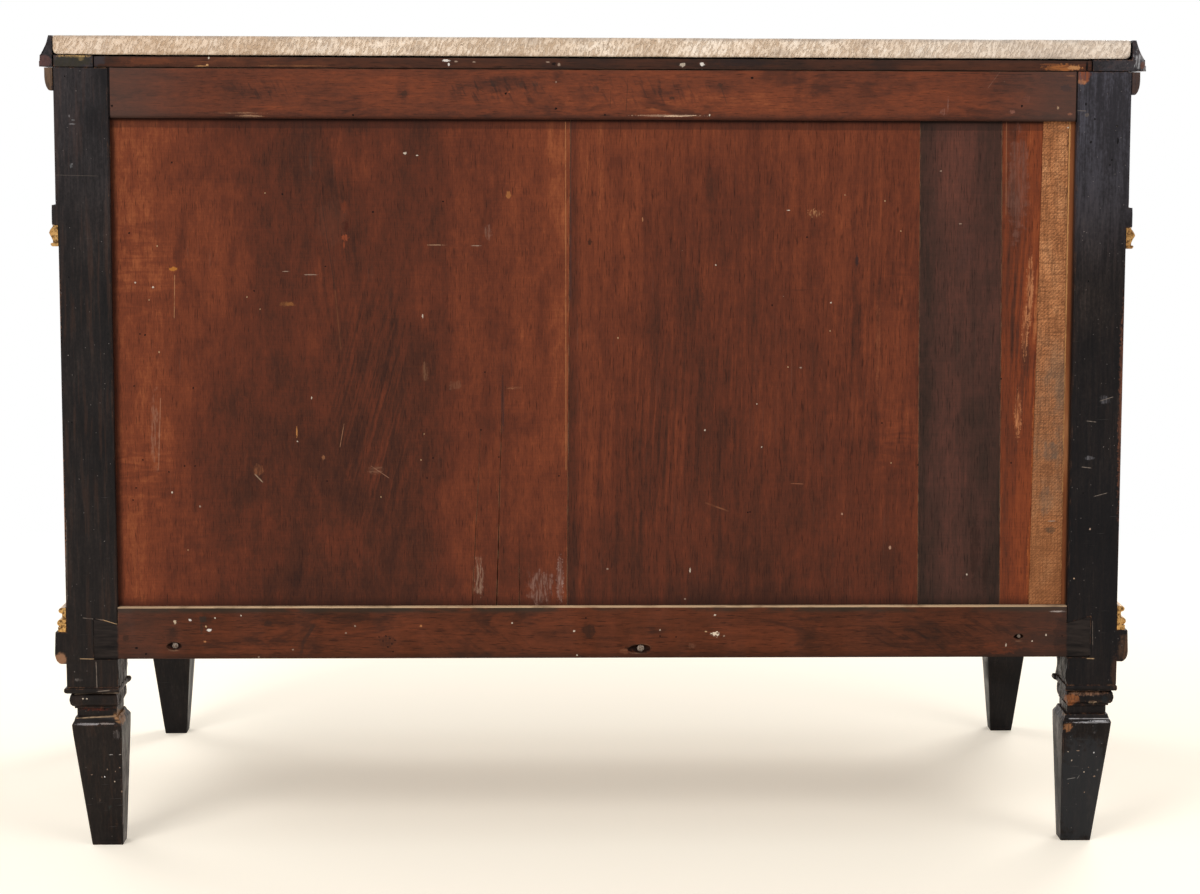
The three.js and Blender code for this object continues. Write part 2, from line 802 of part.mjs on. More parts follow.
// Side panels: a base band and a frieze flush with the posts, and a sunk field between coves
function sidePanel(side) {
  const reach = (depth) => side * (halfWidth - depth);
  const cove = (turn) => panelReveal + (panelField - panelReveal) * Math.sin(turn);
  const lower = roundPoints(Math.PI / 2, (turn) => [
    reach(cove(turn)), bottomDrawerBase + panelCove * (1 - Math.cos(turn)),
  ]);
  const upper = roundPoints(Math.PI / 2, (turn) => [
    reach(cove(turn)), upperRailBase - panelCove * (1 - Math.cos(turn)),
  ]).reverse();
  const outline = outlineOf([
    [side * panelInnerX, caseBase], [reach(panelReveal), caseBase], ...lower, ...upper,
    [reach(panelReveal), postTop], [side * panelInnerX, postTop],
  ]);
  let panel = prismAlongY(outline, panelFrontY, panelBackY)
    .add(panelTongue(side, 1, 0))
    .add(panelTongue(side, -1, 0));
  for (const { top } of dustBoards) {
    panel = panel.subtract(box(
      side * (panelInnerX - cutOverrun), side * (panelInnerX + dustHousing),
      panelFrontY - tongueLength - cutOverrun, panelBackY + tongueLength + cutOverrun,
      top - dustThickness - fitGap, top + fitGap));
  }
  return panel;
}

for (const [sideName, side] of [['left', -1], ['right', 1]]) {
  addPiece(commode, `side_panel_${sideName}`, sidePanel(side), walnut);
}

// Drawers, each in a group of its own: y runs in from its face and z up from what it runs on
const drawerHalf = openingHalf - drawerSideGap;
const drawerLength = boardFrontY - drawerBackRoom - frontY - drawerReveal;
const backPlateBase = bottomLift + bottomThickness + 2 * fitGap;

// The gaps between the tails of a side, as one cutter. Grown, it leaves slimmer pins.
function pinSockets(side, tip, root, low, high, count, grow, floor, ceiling) {
  const sockets = [];
  const lean = Math.sign(root - tip);
  for (let i = 0; i <= count; i += 1) {
    const middle = low + ((high - low) * i) / count;
    const tipHalf = pinTip / 2 - grow;
    const rootHalf = pinTip / 2 + pinFlare - grow;
    const clip = (z) => THREE.MathUtils.clamp(z, floor, ceiling);
    const outline = outlineOf([
      [tip - lean * cutOverrun, clip(middle - tipHalf)], [root, clip(middle - rootHalf)],
      [root, clip(middle + rootHalf)], [tip - lean * cutOverrun, clip(middle + tipHalf)],
    ]);
    sockets.push(prismAlongX(
      outline, side * (drawerHalf - sideThickness - cutOverrun), side * (drawerHalf + cutOverrun)));
  }
  return wasm.Manifold.union(sockets);
}

// A drawer side with dovetail tails at both ends, or the cutter that makes room for it.
function drawerSide(side, drawer, grow) {
  const low = fitGap;
  const high = drawer.top - sideDrop;
  const blank = box(
    side * (drawerHalf - sideThickness - grow), side * (drawerHalf + grow),
    frontLap - grow, drawerLength + grow, low - grow, high + grow);
  return blank
    .subtract(pinSockets(
      side, frontLap, frontThickness + fitGap, low, high, drawer.tails, grow,
      low - cutOverrun, high + cutOverrun))
    .subtract(pinSockets(
      side, drawerLength, drawerLength - drawerBackThickness - fitGap,
      backPlateBase, high - drawerBackDrop, drawer.tails, grow,
      backPlateBase, high - drawerBackDrop));
}

// The bottom board of a drawer, or the groove for it.
function drawerBottom(grow) {
  const end = drawerHalf - sideThickness + bottomHousing - fitGap + grow;
  return box(
    -end, end, frontThickness - bottomHousing + fitGap - grow, drawerLength + (grow > 0 ? cutOverrun : 0),
    bottomLift + fitGap - grow, bottomLift + fitGap + bottomThickness + grow);
}

// A keyhole cut through from one depth to another, with its round head at a height.
function keyhole(y0, y1, z) {
  const outline = new THREE.Shape();
  const shoulder = Math.asin(keyholeSlot / keyholeHead);
  outline.moveTo(keyholeSlot, z - keyholeDrop);
  outline.absarc(0, z, keyholeHead, shoulder - Math.PI / 2, Math.PI * 1.5 - shoulder, false);
  outline.lineTo(-keyholeSlot, z - keyholeDrop);
  return prismAlongY(new THREE.Shape(uniquePoints(outline.getPoints(curveSteps))), y0, y1);
}

// A drawer front: a board with an eased face, sockets for the tails, a groove for the
// bottom, a keyhole and the lock case on its inner face.
function drawerFront(drawer) {
  const rings = [[0, frontChamfer], [frontChamfer, 0], [frontThickness, 0]].map(([y, inset]) => {
    const end = drawerHalf - inset;
    const low = drawer.base + inset;
    const high = drawer.top - inset;
    return [[-end, low], [end, low], [end, high], [-end, high]].map(([x, z]) => new THREE.Vector3(x, y, z));
  });
  const lockTop = drawer.top - lockRise;
  const lock = box(
    -lockWidth / 2, lockWidth / 2, frontThickness - rootDepth, frontThickness + lockThickness,
    lockTop - lockHeight, lockTop);
  return toSolid(loft(rings, fan(4)))
    .add(lock)
    .subtract(drawerSide(1, drawer, fitGap))
    .subtract(drawerSide(-1, drawer, fitGap))
    .subtract(drawerBottom(fitGap))
    .subtract(keyhole(-cutOverrun, frontThickness, drawer.keyZ));
}

function drawerBack(drawer) {
  return box(
    -drawerHalf, drawerHalf, drawerLength - drawerBackThickness, drawerLength,
    backPlateBase, drawer.top - sideDrop - drawerBackDrop)
    .subtract(drawerSide(1, drawer, fitGap))
    .subtract(drawerSide(-1, drawer, fitGap));
}

// Rings of an oval plate: its edge, an eased border and a sunk field.
function ovalPlate(halfLength, halfHeight) {
  const rings = [
    [0, 0], [plateThickness - plateBevel, 0], [plateThickness, plateBevel],
    [plateThickness, plateBorder], [plateThickness - plateBevel, plateBorder + plateBevel],
  ].map(([reach, inset]) => Array.from({ length: ovalSteps }, (unused, i) => {
    const turn = (2 * Math.PI * i) / ovalSteps;
    return new THREE.Vector3(
      (halfLength - inset) * Math.cos(turn), -fitGap - reach, (halfHeight - inset) * Math.sin(turn));
  }));
  return toSolid(loft(rings, fan(ovalSteps)));
}

// A turned boss of a handle plate, with its ball at the pivot, bored for the bail's pin.
const bailPinEnd = bailHalfSpan + bailEyeLength / 2 + pinLength;

function boss(side) {
  const pivot = fitGap + pivotReach;
  const neckEnd = pivot - Math.sqrt(bossBall ** 2 - bossNeck ** 2);
  const neckTurn = Math.asin(bossNeck / bossBall);
  const footBase = fitGap + plateBevel / 2;
  const footTop = fitGap + plateThickness + bossFootHeight;
  const ball = roundPoints(Math.PI - neckTurn, (turn) => new THREE.Vector2(
    bossBall * Math.sin(turn + neckTurn), pivot - bossBall * Math.cos(turn + neckTurn)));
  ball[ball.length - 1].x = 0;
  const profile = [
    new THREE.Vector2(0, footBase), new THREE.Vector2(bossFoot, footBase),
    new THREE.Vector2(bossFoot, footTop - bossFootHeight / 2), new THREE.Vector2(bossNeck, footTop),
    new THREE.Vector2(bossNeck, neckEnd), ...ball.slice(1),
  ].map(({ x, y }) => new THREE.Vector2(x, -y));
  const turned = facingOut(new THREE.LatheGeometry(profile, roundSides));
  turned.translate(side * bossSpread, 0, 0);
  const bore = new THREE.CylinderGeometry(pinRadius + fitGap, pinRadius + fitGap, bossBall * 2, roundSides);
  bore.rotateZ(Math.PI / 2);
  bore.translate(side * (bailPinEnd + fitGap - bossBall), -pivot, 0);
  return toSolid(turned).subtract(toSolid(bore));
}

function handlePlate() {
  return ovalPlate(plateHalfWidth, plateHalfHeight).add(boss(1)).add(boss(-1));
}

// A bail that hangs from its pivot: a swelling rod in a half oval, with an eye and a pin
// at each end and a turned bead in the middle.
function bail() {
  const rings = Array.from({ length: bailSteps + 1 }, (unused, step) => {
    const turn = (Math.PI * step) / bailSteps;
    const centre = new THREE.Vector3(-bailHalfSpan * Math.cos(turn), 0, -bailDrop * Math.sin(turn));
    const across = new THREE.Vector3(-bailDrop * Math.cos(turn), 0, -bailHalfSpan * Math.sin(turn));
    across.normalize();
    const radius = bailRod * (1 - bailTaperShare * Math.abs(Math.cos(turn)));
    return Array.from({ length: rodSides }, (alsoUnused, i) => {
      const around = (2 * Math.PI * i) / rodSides;
      return centre.clone()
        .addScaledVector(across, radius * Math.cos(around))
        .add(new THREE.Vector3(0, radius * Math.sin(around), 0));
    });
  });
  const bead = new THREE.SphereGeometry(bailBead, roundSides, curveSteps);
  bead.rotateZ(Math.PI / 2);
  bead.scale(bailBeadLength / (2 * bailBead), 1, 1);
  bead.translate(0, 0, -bailDrop);
  let solid = toSolid(loft(rings, fan(rodSides))).add(toSolid(bead));
  for (const side of [-1, 1]) {
    const eye = new THREE.CylinderGeometry(bailEye, bailEye, bailEyeLength, roundSides);
    eye.rotateZ(Math.PI / 2);
    eye.translate(side * bailHalfSpan, 0, 0);
    const pin = new THREE.CylinderGeometry(pinRadius, pinRadius, pinLength + bailEyeLength / 2, rodSides);
    pin.rotateZ(Math.PI / 2);
    pin.translate(side * (bailPinEnd - (pinLength + bailEyeLength / 2) / 2), 0, 0);
    solid = solid.add(toSolid(eye)).add(toSolid(pin));
  }
  return solid;
}

const drawers = [
  { name: 'frieze', level: friezeDrawerBase, opening: friezeOpening, tails: friezeTails, deep: false },
  { name: 'middle', level: middleDrawerBase, opening: deepOpening, tails: deepTails, deep: true },
  { name: 'bottom', level: bottomDrawerBase, opening: deepOpening, tails: deepTails, deep: true },
].map((drawer) => {
  const top = drawer.opening - drawerTopGap / 2;
  return { ...drawer, base: drawerTopGap / 2, top, keyZ: top - lockRise - lockHeight / 2 };
});

for (const drawer of drawers) {
  const group = new THREE.Group();
  group.position.set(0, frontY + drawerReveal, drawer.level);
  commode.add(group);
  addPiece(group, `${drawer.name}_drawer_front`, drawerFront(drawer), walnut);
  for (const [sideName, side] of [['left', -1], ['right', 1]]) {
    const plank = drawerSide(side, drawer, 0).subtract(drawerBottom(fitGap));
    addPiece(group, `${drawer.name}_drawer_side_${sideName}`, plank, drawerWood);
  }
  addPiece(group, `${drawer.name}_drawer_back`, drawerBack(drawer), drawerWood);
  addPiece(group, `${drawer.name}_drawer_bottom`, drawerBottom(0), drawerWood);
  if (!drawer.deep) {
    continue;
  }
  const keyPlate = ovalPlate(keyPlateHalfWidth, keyPlateHalfHeight)
    .subtract(keyhole(-cutOverrun, cutOverrun, 0));
  addPiece(group, `${drawer.name}_key_plate`, keyPlate, gilt).position.z = drawer.keyZ;
  for (const [sideName, side] of [['left', -1], ['right', 1]]) {
    const handle = new THREE.Group();
    handle.position.set(side * handleSpread, 0, drawer.opening / 2 + handleRise);
    group.add(handle);
    addPiece(handle, `${drawer.name}_handle_plate_${sideName}`, handlePlate(), gilt);
    addPiece(handle, `${drawer.name}_bail_${sideName}`, bail(), gilt).position.y = -fitGap - pivotReach;
  }
}

export default commode;
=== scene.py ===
"""The looks of a commode chest with a stone top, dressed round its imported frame.

Metres, +Z up. The front faces -Y. The camera stands behind the chest, so +X is at the left of its view.
"""

import logging
import math
from contextlib import contextmanager
from dataclasses import dataclass, replace
from enum import Enum
from typing import Callable, Iterator, Sequence

import bmesh
import bpy
from mathutils import Matrix, Vector, noise


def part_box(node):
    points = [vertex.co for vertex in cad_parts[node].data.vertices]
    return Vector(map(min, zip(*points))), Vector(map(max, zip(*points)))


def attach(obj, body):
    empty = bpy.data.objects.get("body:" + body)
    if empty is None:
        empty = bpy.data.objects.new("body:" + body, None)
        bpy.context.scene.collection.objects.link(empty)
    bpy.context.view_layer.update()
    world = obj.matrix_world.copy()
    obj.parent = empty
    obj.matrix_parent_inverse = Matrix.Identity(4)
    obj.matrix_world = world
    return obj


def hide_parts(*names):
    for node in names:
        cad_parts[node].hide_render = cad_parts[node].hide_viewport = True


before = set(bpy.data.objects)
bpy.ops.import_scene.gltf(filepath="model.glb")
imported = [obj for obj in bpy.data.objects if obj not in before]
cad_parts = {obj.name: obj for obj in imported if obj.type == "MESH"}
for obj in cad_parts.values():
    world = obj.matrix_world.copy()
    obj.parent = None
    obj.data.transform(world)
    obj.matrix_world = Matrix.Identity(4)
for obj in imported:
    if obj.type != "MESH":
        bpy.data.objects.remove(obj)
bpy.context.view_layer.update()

LOG = logging.getLogger("commode")
MM = 0.001
WELD = 0.00001
FLAT_ANGLE = math.radians(0.4)
SMOOTH_ANGLE = math.radians(38)
SIDES = (("left", -1), ("right", 1))

Colour = tuple[float, float, float]
Socket = bpy.types.NodeSocket
Value = float | Socket
Place = tuple[float, float, float]
Pixel = tuple[float, float]
Rows = tuple[tuple, ...]


class Slot(Enum):
    """The finishes that the record names."""

    EBONISED = "ebonised_wood"
    WALNUT = "walnut_veneer"
    BOARDS = "back_boards"
    RAILS = "back_rails"
    DRAWER = "drawer_wood"
    STONE = "stone"
    LINEN = "linen"
    GILT = "gilt_bronze"


class Grain(Enum):
    """The axis that a timber's grain runs along."""

    X = 0
    Y = 1
    Z = 2


# The places of the case that the finishes and cuts follow, read from the frame
BOARD_HOUSING = 8.7 * MM
OPENING_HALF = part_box("back_board_1")[1].x - BOARD_HOUSING
POST_OUTER = OPENING_HALF + 59 * MM
BACK_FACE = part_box("back_bottom_rail")[1].y
BOARD_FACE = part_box("back_board_1")[1].y
BOARD_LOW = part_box("back_bottom_rail")[1].z
BOARD_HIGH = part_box("back_top_rail")[0].z
CASE_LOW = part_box("back_bottom_rail")[0].z
LEG_NECK = 150 * MM
BEAD_LOW = 178.2 * MM
BEAD_HIGH = 184.8 * MM
POST_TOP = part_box("post_back_left")[1].z
SLAB_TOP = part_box("marble_top")[1].z
SLAB_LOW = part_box("marble_top")[0].z
FRONT_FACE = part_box("frieze_drawer_front")[0].y


@dataclass(frozen=True)
class PhotoCamera:
    """The camera of the photograph, behind the chest: its lens, place and turn."""

    lens: float = 78.054
    sensor: float = 36.0
    x: float = 0.02845
    distance: float = 2.8545
    height: float = 0.8194
    pitch: float = 6.212
    yaw: float = 1.731
    roll: float = 0.220
    wide: float = 1200.0
    high: float = 894.0
    shift: tuple[float, float] = (-0.0396, -0.0406)

    def turn(self) -> Matrix:
        """The camera's rotation as a 3x3 matrix."""
        heading = Matrix.Rotation(math.radians(180 - self.yaw), 3, "Z")
        tilt = Matrix.Rotation(math.radians(90 - self.pitch), 3, "X")
        return heading @ tilt @ Matrix.Rotation(math.radians(self.roll), 3, "Z")

    def place(self) -> Vector:
        """Where the camera stands."""
        return Vector((self.x, BACK_FACE + self.distance, self.height))

    def on_face(self, pixel: Pixel, y: float) -> Vector:
        """The point of an upright face that shows at a pixel of the photograph.

        Args:
            pixel: across and down, in the 1200 by 894 frame.
            y: where the face lies.

        Returns:
            The point, in metres.
        """
        focal = self.lens / self.sensor
        across = pixel[0] / self.wide - 0.5 + self.shift[0]
        up = (self.high / 2 - pixel[1]) / self.wide + self.shift[1]
        ray = self.turn() @ Vector((across / focal, up / focal, -1))
        start = self.place()
        return start + ray * ((y - start.y) / ray.y)

    def span(self, pixels: float) -> float:
        """How long a run of pixels is on the back of the chest."""
        return pixels / self.wide * self.sensor / self.lens * self.distance

    def build(self) -> bpy.types.Object:
        """Makes the camera and hands it to the scene."""
        data = bpy.data.cameras.new("photo_camera")
        data.lens = self.lens
        data.sensor_width = self.sensor
        data.shift_x, data.shift_y = self.shift
        data.clip_start = 0.05
        data.clip_end = 60
        camera = bpy.data.objects.new("photo_camera", data)
        camera.matrix_world = Matrix.Translation(self.place()) @ self.turn().to_4x4()
        bpy.context.scene.collection.objects.link(camera)
        bpy.context.scene.camera = camera
        return camera


CAMERA = PhotoCamera()


class Recipe:
    """A procedural material in the making. Its patterns read Object coordinates, in metres."""

    def __init__(self, name: str) -> None:
        """Starts a material of one principled surface.

        Args:
            name: the material's name.
        """
        self.material = bpy.data.materials.new(name)
        self.material.use_nodes = True
        self.tree = self.material.node_tree
        self.tree.nodes.clear()
        self.surface = self.node("ShaderNodeBsdfPrincipled")
        output = self.node("ShaderNodeOutputMaterial")
        self.tree.links.new(self.surface.outputs[0], output.inputs[0])
        self.place = self.node("ShaderNodeTexCoord").outputs["Object"]
        split = self.node("ShaderNodeSeparateXYZ")
        self.put(split.inputs[0], self.place)
        self.x, self.y, self.z = split.outputs[0], split.outputs[1], split.outputs[2]
        self.outlines: dict[float, Socket] = {}
        self.scrapes: dict[str, Socket] = {}

    def node(self, kind: str, **settings: object) -> bpy.types.Node:
        """Adds a node and sets its properties.

        Args:
            kind: the node's type name.
            settings: properties by name.

        Returns:
            The node.
        """
        made = self.tree.nodes.new(kind)
        for key, value in settings.items():
            setattr(made, key, value)
        return made

    def put(self, socket: Socket, value: object) -> None:
        """Links a socket to an input, or sets the input's own value."""
        if isinstance(value, bpy.types.NodeSocket):
            self.tree.links.new(value, socket)
        elif isinstance(value, tuple) and len(value) == 3 and socket.type == "RGBA":
            socket.default_value = (*value, 1.0)
        else:
            socket.default_value = value

    def math(self, operation: str, *values: Value, clamp: bool = False) -> Socket:
        """One sum of numbers.

        Args:
            operation: the node's operation.
            values: its inputs, numbers or sockets.
            clamp: whether the result is kept from 0 to 1.

        Returns:
            The result.
        """
        made = self.node("ShaderNodeMath", operation=operation, use_clamp=clamp)
        for socket, value in zip(made.inputs, values):
            self.put(socket, value)
        return made.outputs[0]

    def times(self, *values: Value) -> Socket:
        """The product of several values."""
        product = values[0]
        for value in values[1:]:
            product = self.math("MULTIPLY", product, value)
        return product

    def either(self, *values: Value) -> Socket:
        """The largest of several masks."""
        largest = values[0]
        for value in values[1:]:
            largest = self.math("MAXIMUM", largest, value)
        return largest

    def without(self, value: Value) -> Socket:
        """One minus a mask."""
        return self.math("SUBTRACT", 1.0, value)

    def rise(self, value: Socket, low: float, high: float, start: float = 0.0, end: float = 1.0) -> Socket:
        """A smooth step from start to end while value goes from low to high."""
        made = self.node("ShaderNodeMapRange", interpolation_type="SMOOTHSTEP", clamp=True)
        for socket, number in zip(made.inputs, (value, low, high, start, end)):
            self.put(socket, number)
        return made.outputs[0]

    def window(self, value: Socket, low: float, high: float, soft: float) -> Socket:
        """A mask that is 1 from low to high, with soft sides."""
        return self.times(self.rise(value, low - soft, low + soft), self.rise(value, high - soft, high + soft, 1, 0))

    def shifted(self, value: Value, cloud: Socket, share: float) -> Socket:
        """A value, raised and lowered by noise about its middle."""
        return self.math("MULTIPLY_ADD", self.math("SUBTRACT", cloud, 0.5), share * 2, value)

    def leaned(self, lean: float, scale: Place, place: Socket | None = None) -> Socket:
        """The place turned so that its upright lines lean, then scaled.

        Args:
            lean: degrees that the top of a line leans towards +X.
            scale: how often a pattern repeats in a metre along each turned axis.
            place: the place that it turns.

        Returns:
            The turned and scaled place.
        """
        turn = self.node("ShaderNodeVectorRotate", rotation_type="Y_AXIS")
        self.put(turn.inputs["Vector"], place or self.place)
        self.put(turn.inputs["Angle"], -math.radians(lean))
        size = self.node("ShaderNodeVectorMath", operation="MULTIPLY")
        self.put(size.inputs[0], turn.outputs[0])
        self.put(size.inputs[1], scale)
        return size.outputs[0]

    def leaning_lines(self, lean: float, scale: Place, detail: float, place: Socket | None = None) -> Socket:
        """Noise from 0 to 1 drawn out into leaning lines, with the inputs of leaned."""
        lines = self.node("ShaderNodeTexNoise")
        self.put(lines.inputs["Vector"], self.leaned(lean, scale, place))
        self.put(lines.inputs["Scale"], 1.0)
        self.put(lines.inputs["Detail"], detail)
        return lines.outputs[0]

    def scraped(self, level: bool = False) -> Socket:
        """Broken streaks about 0.5, drawn out upright or level, that every scraped mark shares."""
        key = "level" if level else "upright"
        if key not in self.scrapes:
            draw = (0.14, 1, 1) if level else (1, 1, 0.14)
            self.scrapes[key] = self.noise(2.4 * MM, draw, 5, 0.72, 0.2, 91)
        return self.scrapes[key]

    def stretched(self, size: float, stretch: Place, seed: float) -> Socket:
        """The place, scaled to patterns of a size and moved by a seed."""
        made = self.node("ShaderNodeVectorMath", operation="MULTIPLY_ADD")
        self.put(made.inputs[0], self.place)
        self.put(made.inputs[1], tuple(s / size for s in stretch))
        self.put(made.inputs[2], (seed, seed * 1.7, seed * 2.3))
        return made.outputs[0]

    def swayed(self, reach: float, size: float, seed: float = 0.0) -> Socket:
        """The place, pushed about by up to a reach in clouds of a size."""
        clouds = self.node("ShaderNodeTexNoise")
        self.put(clouds.inputs["Vector"], self.stretched(size, (1, 1, 0.6), seed))
        for key, number in (("Scale", 1.0), ("Detail", 6.0), ("Roughness", 0.72)):
            self.put(clouds.inputs[key], number)
        moved = self.node("ShaderNodeVectorMath", operation="MULTIPLY_ADD")
        self.put(moved.inputs[0], clouds.outputs["Color"])
        self.put(moved.inputs[1], (reach * 2, 0.0, reach * 2))
        self.put(moved.inputs[2], self.place)
        level = self.node("ShaderNodeVectorMath", operation="SUBTRACT")
        self.put(level.inputs[0], moved.outputs[0])
        self.put(level.inputs[1], (reach, 0.0, reach))
        return level.outputs[0]

    def glow(self, place: Socket, centre: Vector, wide: float, high: float, lean: float = 0.0) -> Socket:
        """A soft oval round a point of an upright face.

        Args:
            place: the place that it reads, swayed or not.
            centre: its middle.
            wide: its half width.
            high: its half height.
            lean: degrees that its top leans towards +X.

        Returns:
            The mask, 1 in the middle.
        """
        cosine, sine = math.cos(math.radians(lean)), math.sin(math.radians(lean))
        reach = None
        for way, half in (((cosine, 0.0, -sine), wide), ((sine, 0.0, cosine), high)):
            dot = self.node("ShaderNodeVectorMath", operation="DOT_PRODUCT")
            self.put(dot.inputs[0], place)
            self.put(dot.inputs[1], tuple(w / half for w in way))
            offset = self.math("SUBTRACT", dot.outputs["Value"], centre.dot(Vector(way)) / half)
            square = self.math("MULTIPLY", offset, offset)
            reach = square if reach is None else self.math("ADD", reach, square)
        return self.rise(reach, 0.0, 1.6, 1, 0)

    def noise(self, size: float, stretch: Place = (1, 1, 1), detail: float = 3.0, rough: float = 0.5,
              warp: float = 0.0, seed: float = 0.0) -> Socket:
        """Cloudy noise from 0 to 1.

        Args:
            size: how wide a cloud is.
            stretch: how often it repeats along each axis, next to size; below 1 draws it out.
            detail: octaves.
            rough: strength of the fine octaves.
            warp: how far it swirls.
            seed: another place in the noise.

        Returns:
            The noise.
        """
        made = self.node("ShaderNodeTexNoise")
        self.put(made.inputs["Vector"], self.stretched(size, stretch, seed))
        for key, number in (("Scale", 1.0), ("Detail", detail), ("Roughness", rough), ("Distortion", warp)):
            self.put(made.inputs[key], number)
        return made.outputs[0]

    def spots(self, spacing: float, radius: float, share: float, stretch: Place = (1, 1, 1),
              seed: float = 0.0) -> Socket:
        """Scattered round spots as a mask.

        Args:
            spacing: the mean distance between cells.
            radius: the largest spot's radius.
            share: the part of the cells that hold a spot.
            stretch: as in noise.
            seed: as in noise.

        Returns:
            The mask.
        """
        cells = self.node("ShaderNodeTexVoronoi")
        self.put(cells.inputs["Vector"], self.stretched(spacing, stretch, seed))
        self.put(cells.inputs["Scale"], 1.0)
        pick = self.node("ShaderNodeSeparateColor")
        self.put(pick.inputs[0], cells.outputs["Color"])
        spot = self.rise(cells.outputs["Distance"], radius / spacing * 0.6, radius / spacing, 1, 0)
        return self.times(spot, self.math("LESS_THAN", pick.outputs[0], share))

    def ragged(self, size: float) -> Socket:
        """Noise about zero that every ragged outline of one size shares."""
        if size not in self.outlines:
            self.outlines[size] = self.math("SUBTRACT", self.noise(size, detail=4, rough=0.65), 0.5)
        return self.outlines[size]

    def patch(self, centre: Sequence[float], radii: Place, wobble: float = 0.25, soft: float = 0.35) -> Socket:
        """An oval mask round a point, with a ragged edge.

        Args:
            centre: its middle.
            radii: its half sizes along each axis.
            wobble: how ragged its edge is.
            soft: how wide its edge fades.

        Returns:
            The mask.
        """
        shift = self.node("ShaderNodeVectorMath", operation="SUBTRACT")
        self.put(shift.inputs[0], self.place)
        self.put(shift.inputs[1], tuple(centre))
        scale = self.node("ShaderNodeVectorMath", operation="DIVIDE")
        self.put(scale.inputs[0], shift.outputs[0])
        self.put(scale.inputs[1], radii)
        span = self.node("ShaderNodeVectorMath", operation="LENGTH")
        self.put(span.inputs[0], scale.outputs[0])
        reach = span.outputs["Value"]
        if wobble:
            least = min(radii[0], radii[2])
            size = 1.1 * MM if least < 1.8 * MM else 2.6 * MM if least < 6 * MM else 9 * MM
            reach = self.math("MULTIPLY_ADD", self.ragged(size), wobble * 4, reach)
        return self.rise(reach, 1 - soft, 1, 1, 0)

    def line(self, start: Vector, end: Vector, width: float, soft: float = 0.5) -> Socket:
        """A thin mark on an upright face, from one point to another.

        Args:
            start: one end, of which x and z count.
            end: the other end.
            width: how wide it is.
            soft: the share of the width that fades.

        Returns:
            The mask.
        """
        run = Vector((end.x - start.x, 0, end.z - start.z))
        along = run.normalized()
        across = Vector((-along.z, 0, along.x))
        distances = []
        for way in (along, across):
            dot = self.node("ShaderNodeVectorMath", operation="DOT_PRODUCT")
            self.put(dot.inputs[0], self.place)
            self.put(dot.inputs[1], tuple(way))
            offset = way.dot(Vector((start.x, 0, start.z)))
            distances.append(self.math("SUBTRACT", dot.outputs["Value"], offset))
        near = self.rise(self.math("ABSOLUTE", distances[1]), width / 2 * (1 - soft), width / 2, 1, 0)
        return self.times(near, self.window(distances[0], 0, run.length, width))

    def mix(self, share: Value, first: object, second: object, blend: str = "MIX") -> Socket:
        """A blend of two colours."""
        made = self.node("ShaderNodeMix", data_type="RGBA", blend_type=blend)
        self.put(made.inputs[0], share)
        self.put(made.inputs[6], first)
        self.put(made.inputs[7], second)
        return made.outputs[2]

    def ramp(self, value: Socket, stops: Sequence[tuple[float, Colour]]) -> Socket:
        """Colours by value, from stops in rising order."""
        made = self.node("ShaderNodeValToRGB")
        elements = made.color_ramp.elements
        while len(elements) < len(stops):
            elements.new(1.0)
        for element, (position, colour) in zip(elements, stops):
            element.position = position
            element.color = (*colour, 1.0)
        self.put(made.inputs[0], value)
        return made.outputs[0]

    def profile(self, value: Socket, stops: Sequence[tuple[float, float]]) -> Socket:
        """A number by value, from stops in rising order."""
        grey = self.ramp(value, [(position, (tone, tone, tone)) for position, tone in stops])
        split = self.node("ShaderNodeSeparateColor")
        self.put(split.inputs[0], grey)
        return split.outputs[0]

    def edges(self, radius: float) -> Socket:
        """A mask of what lies within a radius of a sharp edge."""
        rounded = self.node("ShaderNodeBevel", samples=4)
        self.put(rounded.inputs["Radius"], radius)
        dot = self.node("ShaderNodeVectorMath", operation="DOT_PRODUCT")
        self.put(dot.inputs[0], rounded.outputs[0])
        self.put(dot.inputs[1], self.node("ShaderNodeNewGeometry").outputs["Normal"])
        return self.rise(dot.outputs["Value"], 0.72, 0.99, 1, 0)

    def relief(self, height: Socket, depth: float, under: Socket | None = None) -> Socket:
        """A bump of a height from 0 to 1, over another bump."""
        made = self.node("ShaderNodeBump")
        self.put(made.inputs["Distance"], depth)
        self.put(made.inputs["Height"], height)
        if under is not None:
            self.put(made.inputs["Normal"], under)
        return made.outputs[0]

    def done(self, colour: Socket, rough: Value, normal: Socket | None = None, metal: Value = 0.0,
             shine: float = 0.5) -> bpy.types.Material:
        """Sets the surface's own inputs.

        Args:
            colour: base colour.
            rough: roughness.
            normal: the last bump.
            metal: metalness.
            shine: specular level.

        Returns:
            The finished material.
        """
        self.put(self.surface.inputs["Base Color"], colour)
        self.put(self.surface.inputs["Roughness"], rough)
        self.put(self.surface.inputs["Metallic"], metal)
        self.surface.inputs["Specular IOR Level"].default_value = shine
        if normal is not None:
            self.put(self.surface.inputs["Normal"], normal)
        return self.material


# Marks carry painted highlights and painted shade as well as dabs, chips, stains and holes.
@dataclass(frozen=True)
class Mark:
    """A dab, chip, stain or hole in a face, at a pixel of the photograph, its sizes in millimetres.

    What is broken shows in streaks only, upright or level. The tables below give each mark as a row of
    these fields, and strokes and shades likewise.
    """

    across: float
    down: float
    wide: float
    high: float
    colour: Colour
    strength: float = 1.0
    broken: float = 0.0
    level: bool = False
    wobble: float = 0.5

    @property
    def pixel(self) -> Pixel:
        """Where it is in the photograph."""
        return self.across, self.down


# Strokes carry painted highlight lines as well as scratches, scribes and seams.
@dataclass(frozen=True)
class Stroke:
    """A scratch, scribe or seam between two pixels of the photograph, its width in millimetres."""

    start_across: float
    start_down: float
    end_across: float
    end_down: float
    width: float
    colour: Colour
    strength: float = 1.0

    @property
    def ends(self) -> tuple[Pixel, Pixel]:
        """Where it starts and stops in the photograph."""
        return (self.start_across, self.start_down), (self.end_across, self.end_down)


